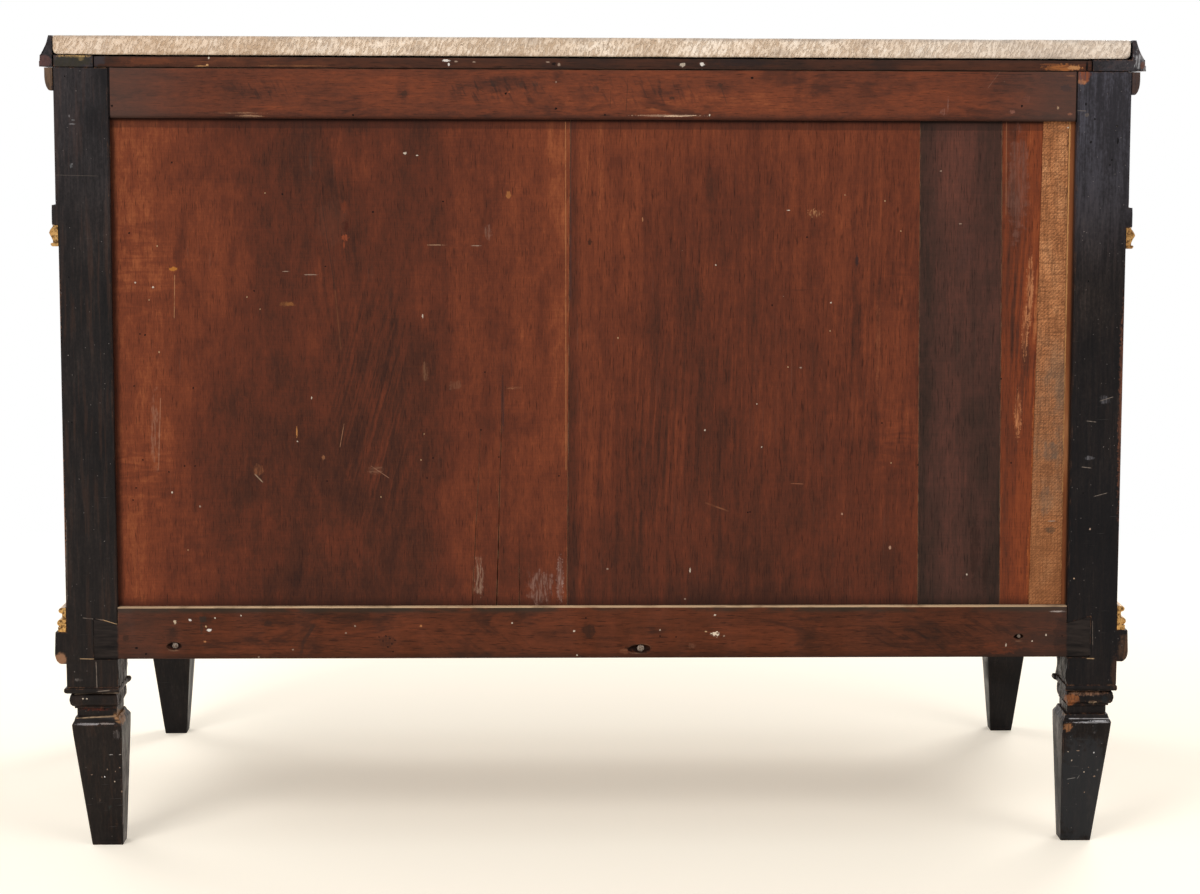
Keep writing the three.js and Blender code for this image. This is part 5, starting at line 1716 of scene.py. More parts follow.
@dataclass
class TopFrame:
    """The rim round the stone, the bed moulding and the strip at the back."""

    split_depth: float = 16 * MM
    split_width: float = 1.4 * MM
    split_height: float = 12.6 * MM
    worn_reach: float = 14 * MM
    worn_height: float = 13 * MM
    mould_reach: float = 64 * MM

    def finish(self, name: str, seed: float, patches: Rows) -> bpy.types.Material:
        """A dull purplish black."""
        black = Ebonised(name, seed=seed, wear=0.9, grey=0.35, brown=0.5, specks=0.03, grain=(1, 0.05, 1),
                         patches=patches)
        return black.build()

    def rim(self, side_name: str, side: int) -> None:
        """One end of the rim. The end at the left of the view is split and worn."""
        node = f"rim_{side_name}"
        low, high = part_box(node)
        outer = POST_OUTER
        work = Workpiece.of_node(node).eased(0.7 * MM)
        if side > 0:
            work.cut(Workpiece.block(
                "split", (outer - self.split_width / 2, high.y - self.split_depth, low.z - 2 * MM),
                (outer + self.split_width / 2, high.y + 2 * MM, low.z + self.split_height)))
        work.slice(1, [high.y - s for s in (2 * MM, 4 * MM, 7 * MM, 11 * MM, 16 * MM, 24 * MM)])
        work.slice(1, steps(low.y + 20 * MM, high.y - 30 * MM, 25 * MM))
        work.nibbled(0.6 * MM, 10 * MM)
        if side > 0:
            def bite(place: Vector, normal: Vector) -> Vector:
                """Wears the two fillets back at the end, one more than the other."""
                low_end = place.x > outer + 1 * MM and place.z < low.z + self.worn_height
                if low_end and place.y > high.y - self.worn_reach:
                    share = (place.y - high.y + self.worn_reach) / self.worn_reach
                    drop = 3.2 * MM if place.z < low.z + 6.6 * MM else 1.2 * MM
                    place.y -= share * drop * (1 + 0.6 * noise.noise(place * 260))
                return place
            work.carved(bite)
        ledge = low.z + 6.5 * MM
        if side > 0:
            worn = (
                (9, 0, (9, 14, 7), (0.105, 0.048, 0.042), 0.9, 0.3, 0.35),
                (-22, 5.5, (19, 9, 2.0), (0.44, 0.27, 0.10), 0.9, 0.6, 0.6),
                (-31, 3, (3, 9, 3.4), (0.50, 0.33, 0.13), 0.9, 0.6, 0.4),
                (-20, -1, (26, 9, 7), (0.030, 0.026, 0.016), 0.85, 0.3, 0.3),
            )
        else:
            worn = (
                (10, 6, (9, 10, 15), (0.34, 0.33, 0.33), 0.8, 0.7, 0.95),
                (12, 0, (3, 10, 5), (0.12, 0.05, 0.03), 0.7, 0.5),
            )
        patches = tuple(
            ((side * (outer + across * MM), BACK_FACE, ledge + up * MM), *look) for across, up, *look in worn)
        work.set_on("case", Slot.EBONISED, self.finish(f"{node}_black", 17.0 + side, patches), node)

    def bed_mould(self, side_name: str, side: int) -> None:
        """The moulding under the rim of one flank, its end grain worn brown."""
        node = f"bed_mould_{side_name}"
        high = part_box(node)[1]
        outer = side * (OPENING_HALF + self.mould_reach)
        end_grain = (0.135, 0.078, 0.045) if side > 0 else (0.060, 0.034, 0.026)
        patches = (((outer, BACK_FACE, high.z - 12 * MM), (9, 3, 16), end_grain, 0.9, 0.3, 0.45),)
        work = Workpiece.of_node(node).eased(0.4 * MM)
        work.nibbled(0.4 * MM, 9 * MM)
        work.set_on("case", Slot.EBONISED, self.finish(f"{node}_black", 23.0 + side, patches), node)

    def back_strip(self) -> None:
        """The brown strip on the top rail, with plaster on it."""
        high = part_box("back_top_strip")[1]
        face = high.y
        finish = BackRail(
            "back_strip_wood", Grain.X, ((0.017, 0.0125, 0.011), (0.035, 0.018, 0.013), (0.062, 0.024, 0.0145),
                                         (0.102, 0.034, 0.018), (0.20, 0.075, 0.029)),
            fibres=((8 * MM, 0.06, 0.16), (3 * MM, 0.05, 0.18), (1.4 * MM, 0.04, 0.10)),
            mottles=((30 * MM, 0.22), (8 * MM, 0.16)),
            across=((0.0, 0.30), (0.02, 0.48), (0.1, 0.62), (0.25, 0.55), (0.5, 0.46), (0.65, 0.36), (0.9, 0.48),
                    (1.0, 0.55)),
            shades=(
                (135, 60, 40, 4, 0.16), (180, 62, 60, 3, 0.12), (260, 63, 60, 3, 0.10), (720, 62, 60, 5, -0.16),
                (960, 66, 60, 5, 0.10),
            ),
            low=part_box("back_top_strip")[0].z, high=high.z, face=face, seed=31.0, specks=0.08, painted_from=24 * MM,
            marks=(
                (446, 60.5, 9, 3, CHALK), (448.8, 64.5, 3, 4.4, CHALK), (456, 61.5, 5, 2.4, DUST),
                (682.4, 65, 8, 4.6, PLASTER, 1, 0.3), (702.4, 64.2, 7, 5.6, CHALK), (702, 70, 5, 2.2, CHALK),
                (559, 64.5, 4, 5, DUST), (554, 64, 5, 4, HOLE_AND_SHADE_BLACK, 0.8), (474, 62, 5, 2, DUST), (548, 62, 6, 2, DUST),
                (588, 71, 8, 1.6, PALE_WOOD), (208.7, 58, 3, 3, PLASTER), (207, 65, 4, 3, (0.52, 0.28, 0.12)),
                (207, 68.5, 5, 1.8, PALE_WOOD), (201, 66, 16, 1.8, (0.40, 0.20, 0.08), 0.9, 0.4, True),
                (1062, 68, 48, 9, (0.33, 0.115, 0.035), 0.9, 0.6, True),
                (1074, 67.5, 17, 6, (0.46, 0.22, 0.09), 0.8, 0.7, True),
                (1050, 64.4, 22, 2.4, (0.16, 0.055, 0.022), 0.8), (1087, 67, 3, 14, HOLE_AND_SHADE_BLACK),
                (150, 61, 60, 9, (0.15, 0.046, 0.021), 0.6, 0.5, True), (96, 60, 22, 12, (0.040, 0.032, 0.034), 0.8),
                (290, 66, 90, 3, (0.22, 0.085, 0.035), 0.6, 0.8, True),
                (740, 63, 70, 9, (0.020, 0.014, 0.014), 0.6, 0.5, True),
            ),
        )
        work = Workpiece.of_node("back_top_strip").eased(0.6 * MM)
        work.slice(0, steps(-0.54, 0.54, 16 * MM))
        work.nibbled(0.5 * MM, 20 * MM)
        work.set_on("case", Slot.RAILS, finish.build(), "back_top_strip")

    def build(self) -> None:
        """Makes the rim, the bed moulding and the strip."""
        for side_name, side in SIDES:
            self.rim(side_name, side)
            self.bed_mould(side_name, side)
        front = Workpiece.of_node("rim_front").eased(0.7 * MM)
        front.slice(0, steps(-0.6, 0.6, 30 * MM))
        front.nibbled(0.3 * MM, 14 * MM)
        black = Ebonised("rim_front_black", seed=19.0, wear=0.5, grey=0.1, brown=0.3, specks=0.01, grain=(0.05, 1, 1))
        front.set_on("case", Slot.EBONISED, black.build(), "rim_front")
        self.back_strip()


@dataclass
class StoneTop:
    """The slab, hewn along its back edge."""

    column: float = 3.2 * MM
    rows: int = 8
    hewn_depth: float = 7 * MM
    hew: float = 1.5 * MM
    wave: float = 1.5 * MM
    skin: float = 0.4 * MM
    corners: Rows = ((-1, False, 9 * MM), (-1, True, 4 * MM), (1, False, 4 * MM), (1, True, 3 * MM))
    short: float = 1.8 * MM

    def rounded(self, place: Vector, near: float, low: Vector, high: Vector) -> Vector:
        """Rounds a point of the hewn face in from the slab's corners, and the worn end in from its neighbour.

        Args:
            place: the point.
            near: how near the back face it is, from 0 to 1.
            low: the slab's lowest corner.
            high: the slab's highest corner.

        Returns:
            Its new place.
        """
        if place.x < low.x + self.short:
            place.x = max(place.x, low.x + self.short * near)
        for side, upper, reach in self.corners:
            end = high.x if side > 0 else low.x + self.short * near
            edge = high.z if upper else low.z
            centre = Vector((end - side * reach, place.y, edge - reach if upper else edge + reach))
            out = place - centre
            if out.x * side > 0 and (out.z > 0) == upper and out.length > reach:
                place = place.lerp(centre + out * (reach / out.length), near)
        return place

    def build(self) -> None:
        """Makes the slab."""
        low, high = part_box("marble_top")
        work = Workpiece.of_node("marble_top")
        work.slice(1, [high.y - 2 * MM, high.y - self.hewn_depth])
        work.slice(2, steps(low.z, high.z, (high.z - low.z) / self.rows))
        work.slice(0, steps(low.x, high.x, self.column))

        def hewn(place: Vector, normal: Vector) -> Vector:
            """Chisels the back face and breaks its arrises."""
            near = max(0.0, 1 - (high.y - place.y) / self.hewn_depth)
            if near <= 0:
                return place
            cell = Vector((place.x * 150 + place.z * 120, 0, place.z * 90))
            bite = 0.5 + 0.5 * noise.noise(cell) + 0.35 * noise.noise(place * 420)
            if normal.y > 0.5 or near > 0.95:
                place.y -= self.hew * near * max(0.0, bite)
                up = (place.z - low.z) / (high.z - low.z)
                place.y -= 1.4 * MM * max(0.0, abs(up - 0.5) * 2 - 0.75) * 4 * (0.6 + 0.4 * noise.noise(place * 90))
            wavy = 0.5 + 0.5 * noise.noise(Vector((place.x * 22, 3, 0)))
            wavy += 0.3 * noise.noise(Vector((place.x * 130, 5, 0)))
            if place.z > high.z - self.skin:
                place.z -= self.wave * near * max(0.0, wavy)
            if place.z < low.z + self.skin:
                place.z += 0.7 * self.wave * near * max(0.0, wavy)
            return self.rounded(place, near, low, high)
        work.carved(hewn)
        work.set_on("case", Slot.STONE, Stone().build(), "marble_top")


@dataclass(frozen=True)
class Pocket:
    """An oval screw pocket of the bottom rail, at a pixel of the photograph, its half sizes in metres."""

    pixel: Pixel
    wide: float
    high: float


@dataclass
class Back:
    """The boards of the back, the rails above and below them, the linen strip and the screws."""

    crack_depth: float = 7 * MM
    pockets: tuple[Pocket, ...] = (
        Pocket((173.8, 646), 8.4 * MM, 4.2 * MM), Pocket((639, 648.6), 12.9 * MM, 4.8 * MM),
        Pocket((1018.5, 636.5), 5.8 * MM, 2.8 * MM),
    )
    linen_top: tuple[float, float] = (-492.6 * MM, -520.0 * MM)
    linen_low: tuple[float, float] = (-486.7 * MM, -522.7 * MM)
    pocket_depth: float = 6 * MM
    pocket_lean: float = math.radians(6)
    screw_seat: float = 2.6 * MM
    rail_round: float = 1.4 * MM
    rail_spacing: float = 11 * MM
    linen_columns: int = 14
    linen_rows: int = 220
    cloth: float = 0.5 * MM

    def boards(self) -> list[BackBoard]:
        """The finish of each board, from the left of the view to the right."""
        red = ((0.028, 0.0125, 0.0095), (0.062, 0.0205, 0.0120), (0.104, 0.0275, 0.0140), (0.168, 0.0420, 0.0180),
               (0.285, 0.080, 0.030))
        tops = [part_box(f"back_board_{i}") for i in (1, 2, 3, 4)]
        gash = (0.055, 0.014, 0.008)
        first = BackBoard(
            "back_board_1_wood", Grain.Z, red, left=tops[0][1].x - BOARD_HOUSING, right=tops[0][0].x, seed=1.0,
            across=((0.0, 0.78), (0.08, 0.74), (0.14, 0.66), (0.25, 0.50), (0.38, 0.39), (0.66, 0.395), (0.71, 0.45),
                    (0.76, 0.55), (0.85, 0.58), (0.94, 0.63), (0.96, 0.74), (1.0, 0.78)),
            upward=((0.0, -0.06), (0.35, -0.03), (0.6, 0.0), (1.0, 0.01)),
            fibres=((24 * MM, 0.10, 0.14), (6 * MM, 0.08, 0.12), (2.6 * MM, 0.08, 0.10), (1.5 * MM, 0.35, 0.13)),
            mottles=((75 * MM, 0.20), (26 * MM, 0.32), (10 * MM, 0.20), (4 * MM, 0.11)), holes=0.05, specks=0.03,
            shades=(
                (213, 178, 48, 13, -0.16), (310, 165, 20, 48, -0.20), (182, 248, 7, 48, -0.24),
                (225, 245, 42, 75, 0.14), (228, 470, 48, 105, -0.13), (345, 420, 62, 120, -0.06),
                (395, 500, 32, 60, -0.07), (320, 590, 110, 26, -0.13), (318, 360, 18, 58, 0.13),
                (407, 285, 32, 38, 0.10), (355, 155, 50, 26, 0.13), (460, 500, 22, 72, 0.15),
                (515, 425, 26, 13, -0.12), (426, 400, 12, 78, -0.12), (558, 540, 13, 90, -0.20),
                (300, 215, 14, 40, 0.06), (270, 320, 30, 60, -0.06), (330, 530, 60, 28, 0.10),
                (150, 180, 22, 12, -0.08), (128, 240, 12, 70, 0.08), (490, 215, 14, 50, -0.10),
                (510, 560, 34, 40, -0.08), (440, 150, 40, 22, -0.05), (385, 345, 12, 40, -0.14, -8),
                (360, 470, 9, 55, -0.12, -12), (470, 300, 22, 60, 0.05), (170, 560, 26, 40, -0.06),
            ),
            flames=((372, 405, 40, 130, 0.24, -15), (334, 250, 24, 95, 0.16, 7), (400, 470, 20, 70, 0.12, -8)),
            curls=((142, 265, 42, 60, 0.15), (140, 480, 45, 50, 0.16), (215, 540, 60, 40, 0.08)),
            marks=(
                (344, 207, 7, 16, (0.15, 0.034, 0.014), 0.8, 0.4), (345, 226, 9, 15, gash),
                (345, 238, 9, 8, (0.24, 0.055, 0.022), 0.9, 0.5), (344, 245, 2, 9, (0.20, 0.045, 0.018)),
                (332, 222, 36, 60, (0.105, 0.040, 0.024), 0.3, 0.5), (404.9, 153.2, 5, 3.4, PLASTER),
                (417, 155.4, 3.2, 2, PLASTER), (173, 269, 10, 5, (0.42, 0.16, 0.03), 0.8),
                (290, 304, 11, 5, (0.26, 0.10, 0.03), 0.6), (310, 274.7, 16, 1.3, DUST, 0.9),
                (285.5, 271.4, 8, 1.1, DUST), (436, 245, 22, 1.1, (0.30, 0.17, 0.10)), (476, 245.7, 12, 1.1, DUST),
                (422.6, 316, 2, 6, PLASTER), (296.8, 432, 2, 13, (0.38, 0.16, 0.05)), (297.4, 441.5, 2, 2.4, PLASTER),
                (311.6, 397.7, 1.8, 4, PLASTER), (172, 492.3, 2.6, 3.2, PLASTER), (200, 506.3, 2.6, 3, DUST),
                (153.1, 287.2, 3, 3, PLASTER), (135.1, 282.6, 2.6, 2.6, PLASTER),
                (323.5, 457.5, 5, 7, (0.26, 0.11, 0.05), 0.7),
                (508.5, 194.8, 6, 9, (0.34, 0.13, 0.04), 0.7, 0.0, False, 0.6),
                (155, 430, 12, 90, (0.26, 0.12, 0.075), 0.6, 0.95), (540, 588, 30, 44, (0.24, 0.14, 0.11), 0.6, 0.9),
                (479, 578, 12, 50, (0.27, 0.16, 0.11), 0.8, 0.95), (560, 580, 9, 56, (0.29, 0.19, 0.16), 0.8, 0.8),
                (502.5, 405, 5, 74, (0.030, 0.020, 0.020), 0.55, 0.5),
                (515, 388, 22, 3, (0.27, 0.12, 0.06), 0.6, 0.8, True),
                (455, 385, 16, 12, (0.17, 0.070, 0.038), 0.6, 0.9), (425, 372, 8, 26, (0.18, 0.085, 0.045), 0.6, 0.9),
                (285, 304, 14, 6, (0.20, 0.085, 0.03), 0.5, 0.5), (488, 232, 9, 20, (0.20, 0.10, 0.07), 0.6, 0.9),
                (258, 470, 14, 14, (0.22, 0.08, 0.035), 0.7, 0.8),
                (376, 470, 20, 10, (0.18, 0.085, 0.05), 0.6, 0.8, True),
                *self.wormholes(((129, 233), (254, 291), (140, 334), (145, 335), (134, 386), (193, 388), (143, 460),
                    (169, 472), (195, 466), (136, 488), (133, 500), (327, 481), (433, 458), (427, 478), (485, 372),
                    (481, 430), (499, 457), (559, 476))),
                *self.flecks(((265, 193), (157, 246), (149, 300), (247, 297), (260, 309), (159, 352), (188, 550),
                    (421, 460), (424, 434), (381, 497))),
                (372.9, 212, 2.4, 2.4, HOLE_AND_SHADE_BLACK), (171.7, 162.6, 2.4, 2.4, HOLE_AND_SHADE_BLACK), (282.3, 194.1, 2.4, 2.4, HOLE_AND_SHADE_BLACK),
                (325.6, 266.3, 2.2, 2.2, HOLE_AND_SHADE_BLACK), (443, 201.4, 2.2, 2.2, HOLE_AND_SHADE_BLACK), (184.6, 466, 2.4, 2.4, HOLE_AND_SHADE_BLACK),
            ),
            strokes=(
                (174.6, 275, 174.2, 318, 1.0, (0.36, 0.17, 0.08), 0.8),
                (160.5, 398, 158.5, 470, 1.0, (0.34, 0.17, 0.10), 0.6),
                (255.2, 474.5, 262.5, 482, 1.6, (0.30, 0.20, 0.13), 0.9),
                (371, 466, 389, 478, 1.0, (0.26, 0.13, 0.08), 0.8),
                (344, 424, 340, 447, 0.9, (0.30, 0.15, 0.08), 0.8),
                (320.5, 195, 335, 290, 1.4, (0.045, 0.020, 0.014), 0.7),
                (335, 290, 341, 350, 1.4, (0.16, 0.06, 0.025), 0.5),
                (565.5, 122, 566, 470, 1.2, (0.34, 0.14, 0.055), 0.8),
            ),
        )
        second = BackBoard(
            "back_board_2_wood", Grain.Z, red, left=tops[1][1].x, right=tops[1][0].x, seed=5.0,
            across=((0.0, 0.36), (0.022, 0.42), (0.04, 0.62), (0.10, 0.59), (0.15, 0.51), (0.30, 0.47), (0.45, 0.43),
                    (0.60, 0.45), (0.75, 0.51), (0.85, 0.55), (0.95, 0.51), (1.0, 0.55)),
            upward=((0.0, -0.10), (0.4, -0.02), (0.65, 0.03), (1.0, 0.10)), saw=0.06,
            fibres=((26 * MM, 0.10, 0.20), (9 * MM, 0.07, 0.22), (4 * MM, 0.07, 0.16), (1.6 * MM, 0.22, 0.14)),
            mottles=((70 * MM, 0.16), (24 * MM, 0.24), (9 * MM, 0.17), (4 * MM, 0.09)), specks=0.02, holes=0.03,
            shades=(
                (740, 138, 150, 16, 0.12), (716, 185, 9, 26, -0.20), (779, 195, 11, 30, -0.13),
                (690, 330, 15, 62, -0.13), (650, 450, 24, 36, -0.13), (711, 430, 22, 32, -0.15),
                (840, 370, 13, 60, -0.10), (859, 300, 5, 95, -0.20), (895, 350, 14, 120, 0.12),
                (905, 430, 20, 42, 0.12), (780, 420, 30, 62, 0.07), (640, 250, 20, 72, 0.07),
                (600, 560, 42, 52, -0.10), (740, 596, 170, 13, -0.13), (860, 560, 52, 26, -0.10),
                (745, 475, 40, 60, 0.06), (820, 200, 60, 40, 0.05), (668, 380, 8, 50, -0.12),
                (785, 460, 10, 30, -0.10), (655, 330, 7, 30, -0.10), (620, 410, 30, 10, -0.06),
            ),
            flames=((700, 380, 90, 170, 0.12, -3), (870, 330, 40, 170, 0.14, -2), (640, 470, 60, 110, 0.14, -2)),
            curls=((895, 285, 24, 26, 0.10), (898, 440, 26, 46, 0.16)),
            marks=(
                (642.7, 219.5, 1.8, 7, (0.34, 0.15, 0.07)), (715.9, 265.1, 2.4, 2.8, PLASTER),
                (814.6, 213.5, 17, 9, (0.44, 0.22, 0.10), 0.8, 0.95, False, 0.9),
                (650, 497, 30, 60, (0.030, 0.014, 0.010), 0.4, 0.7),
                (705, 400, 22, 60, (0.034, 0.016, 0.011), 0.4, 0.7),
                (700, 300, 10, 30, (0.034, 0.016, 0.011), 0.5, 0.6),
                (733, 430, 10, 40, (0.034, 0.016, 0.011), 0.5, 0.6),
                (878, 340, 6, 120, (0.22, 0.070, 0.030), 0.5, 0.9),
                (790, 290, 60, 2, (0.035, 0.015, 0.010), 0.4, 0.8, True),
                *self.wormholes(((882, 423), (918, 465), (750, 512))),
                *self.flecks(((845, 195), (885, 201), (901, 231), (891, 463), (919, 504), (618, 338), (788, 367),
                    (830, 331))),
                (788.4, 210.3, 5, 1.4, PLASTER), (807, 237.2, 3, 2.6, HOLE_AND_SHADE_BLACK), (772.2, 305.3, 2.4, 2.4, HOLE_AND_SHADE_BLACK),
                (831, 302.7, 2.6, 2.4, PLASTER), (589.7, 242, 5, 9, (0.035, 0.014, 0.009), 0.8),
                (747.9, 512.4, 2.2, 2.2, HOLE_AND_SHADE_BLACK), (857, 260.5, 4, 15, (0.030, 0.017, 0.016), 0.8),
                (607.4, 569, 3, 2.8, DUST), (690, 570.5, 2.2, 7, PLASTER), (684.9, 599, 3.4, 2.4, DUST),
                (704.8, 430.2, 2.2, 2.2, PLASTER), (756.9, 404, 2, 2.2, PLASTER), (761.7, 447, 2, 2, PLASTER),
                (890, 547.7, 4, 5, (0.36, 0.20, 0.13)), (842, 514, 2.6, 3.6, (0.36, 0.20, 0.13)),
                (800.5, 367.7, 3.4, 2.6, DUST),
            ),
            strokes=(
                (569.5, 122, 570, 300, 5.0, (0.045, 0.024, 0.022), 0.55),
                (706, 503, 728, 511, 2.2, (0.20, 0.075, 0.035), 0.7),
                (791, 483.5, 803, 484, 1.1, (0.26, 0.10, 0.05), 0.8),
                (919.3, 480, 918.6, 515, 1.6, (0.42, 0.22, 0.11), 0.8),
                (921, 240, 921.6, 330, 1.6, (0.20, 0.06, 0.03), 0.7),
            ),
        )
        third = BackBoard(
            "back_board_3_wood", Grain.Z, ((0.018, 0.0125, 0.0100), (0.036, 0.0195, 0.0145), (0.060, 0.0265, 0.0195),
                                           (0.096, 0.036, 0.025), (0.155, 0.050, 0.031)),
            left=tops[2][1].x, right=tops[2][0].x, seed=9.0,
            across=((0.0, 0.28), (0.12, 0.38), (0.35, 0.56), (0.7, 0.50), (0.9, 0.42), (1.0, 0.36)),
            upward=((0.0, -0.06), (0.5, 0.0), (1.0, 0.06)),
            fibres=((16 * MM, 0.08, 0.16), (5 * MM, 0.06, 0.18), (2.2 * MM, 0.06, 0.18)), holes=0.01, specks=0.03,
            mottles=((40 * MM, 0.22), (16 * MM, 0.24), (6 * MM, 0.14)),
            shades=(
                (955, 185, 20, 62, 0.22), (990, 185, 10, 90, -0.10), (926, 350, 5, 130, -0.20),
                (978, 440, 20, 60, -0.14), (955, 470, 14, 22, 0.16), (990, 330, 12, 40, 0.10),
                (950, 560, 22, 40, 0.04), (972, 410, 20, 20, -0.14), (990, 570, 12, 40, -0.10),
            ),
            marks=(
                (941, 171.1, 3, 2.2, DUST), (960.5, 223.8, 4, 2.2, DUST), (966.8, 574.5, 2.4, 2.8, PLASTER),
                (1004, 407.3, 4, 4.4, (0.36, 0.20, 0.12)), (975, 550, 12, 90, (0.022, 0.011, 0.008), 0.6, 0.5),
                (985, 570, 9, 60, (0.022, 0.011, 0.008), 0.6, 0.5),
                (965, 250, 20, 60, (0.085, 0.036, 0.028), 0.4, 0.8),
            ),
        )
        fourth = BackBoard(
            "back_board_4_wood", Grain.Z, ((0.038, 0.0155, 0.0105), (0.085, 0.0260, 0.0140), (0.145, 0.0350, 0.0145),
                                           (0.220, 0.0520, 0.0180), (0.38, 0.135, 0.050)),
            left=tops[3][1].x, right=tops[3][0].x, seed=15.0,
            across=((0.0, 0.36), (0.05, 0.50), (0.14, 0.38), (0.3, 0.50), (0.5, 0.62), (0.62, 0.66), (1.0, 0.70)),
            upward=((0.0, 0.0), (0.6, 0.0), (1.0, 0.04)),
            fibres=((10 * MM, 0.06, 0.26), (4 * MM, 0.05, 0.24), (1.8 * MM, 0.05, 0.18)), holes=0.02, specks=0.03,
            mottles=((45 * MM, 0.18), (14 * MM, 0.16), (5 * MM, 0.10)), bare_edge=True,
            shades=(
                (1015, 185, 8, 70, -0.16), (1024, 360, 8, 18, -0.30), (1039, 330, 6, 90, 0.22),
                (1016, 520, 14, 70, 0.10), (1012, 300, 7, 60, -0.12), (1018, 410, 6, 24, 0.22),
                (1030, 250, 6, 60, 0.10), (1028, 470, 5, 60, 0.14),
            ),
            flames=((1026, 330, 20, 110, 0.34, -4),),
            marks=(
                (1011.3, 463, 2.4, 2.4, HOLE_AND_SHADE_BLACK), (1001, 378.8, 2.2, 2.2, HOLE_AND_SHADE_BLACK),
                (1030, 290, 9, 90, (0.42, 0.165, 0.070), 0.9, 0.9),
                (1025, 330, 8, 70, (0.44, 0.175, 0.075), 0.9, 0.9),
                (1018, 415, 9, 60, (0.46, 0.180, 0.075), 0.9, 0.9),
                (1031, 560, 10, 110, (0.33, 0.090, 0.024), 0.8, 0.7),
                (1034, 450, 6, 130, (0.36, 0.105, 0.030), 0.8, 0.7),
                (1018, 185, 26, 130, (0.21, 0.105, 0.080), 0.34, 0.6),
            ),
            strokes=((1006.5, 122, 1006, 215, 1.4, (0.24, 0.10, 0.05), 0.7),),
        )
        return [first, second, third, fourth]

    def wormholes(self, pixels: Sequence[Pixel]) -> Rows:
        """Small dark holes at pixels of the photograph."""
        return tuple((*pixel, 1.9 + 0.5 * (i % 3 == 0), 2.1, HOLE_AND_SHADE_BLACK) for i, pixel in enumerate(pixels))

    def flecks(self, pixels: Sequence[Pixel]) -> Rows:
        """Small pale chips at pixels of the photograph."""
        return tuple((*pixel, 1.6, 1.7 + 0.8 * (i % 2), PALE_WOOD) for i, pixel in enumerate(pixels))

    def crack(self, start: Pixel, end: Pixel, wide: tuple[float, float]) -> Workpiece:
        """A wedge that opens a crack between two pixels of the photograph.

        Args:
            start: its upper end.
            end: its lower end.
            wide: its width at each end.

        Returns:
            The wedge, as a cutter.
        """
        top, low = (CAMERA.on_face(pixel, BOARD_FACE) for pixel in (start, end))
        low.z = max(low.z, BOARD_LOW - 4 * MM)
        work = Workpiece.block("crack", (-0.5, BOARD_FACE - self.crack_depth, 0), (0.5, BOARD_FACE + 2 * MM, 1))
        work.slice(2, steps(0, 1, 0.1))

        def spread(place: Vector, normal: Vector) -> Vector:
            """Draws the block out along the crack, with a wander."""
            middle = low.lerp(top, place.z)
            width = wide[1] + (wide[0] - wide[1]) * place.z
            tip = 0.15 if place.y < BOARD_FACE - 1 * MM else 1.0
            wander = 0.5 * MM * noise.noise(Vector((middle.z * 40, wide[1] * 900, 0)))
            return Vector((middle.x + wander + place.x * width * tip, place.y, middle.z))
        return work.carved(spread)

    def board(self, number: int, finish: BackBoard) -> None:
        """One board, a little hollow and uneven across its face."""
        node = f"back_board_{number}"
        low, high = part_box(node)
        work = Workpiece.of_node(node)
        if number == 1:
            for start, end, wide in (((503, 374), (496.4, 611), (0.25 * MM, 1.5 * MM)),
                                     ((480.6, 430), (472.1, 611), (0.3 * MM, 0.8 * MM)),
                                     ((519.4, 539), (519.4, 611), (0.25 * MM, 0.9 * MM)),
                                     ((511.6, 598), (511.6, 611), (0.2 * MM, 0.6 * MM))):
                work.cut(self.crack(start, end, wide))
        work.slice(0, steps(low.x, high.x, 16 * MM))
        work.slice(2, steps(low.z, high.z, 60 * MM))

        def hollow(place: Vector, normal: Vector) -> Vector:
            """Sinks the show face by the marks of a hand plane."""
            if normal.y > 0.6 and abs(place.y - BOARD_FACE) < 0.5 * MM:
                wave = noise.noise(Vector((place.x * 28, number * 7, place.z * 3)))
                place.y -= 0.35 * MM * (0.5 + 0.5 * wave)
            return place
        work.carved(hollow)
        work.set_on("case", Slot.BOARDS, finish.build(), node)

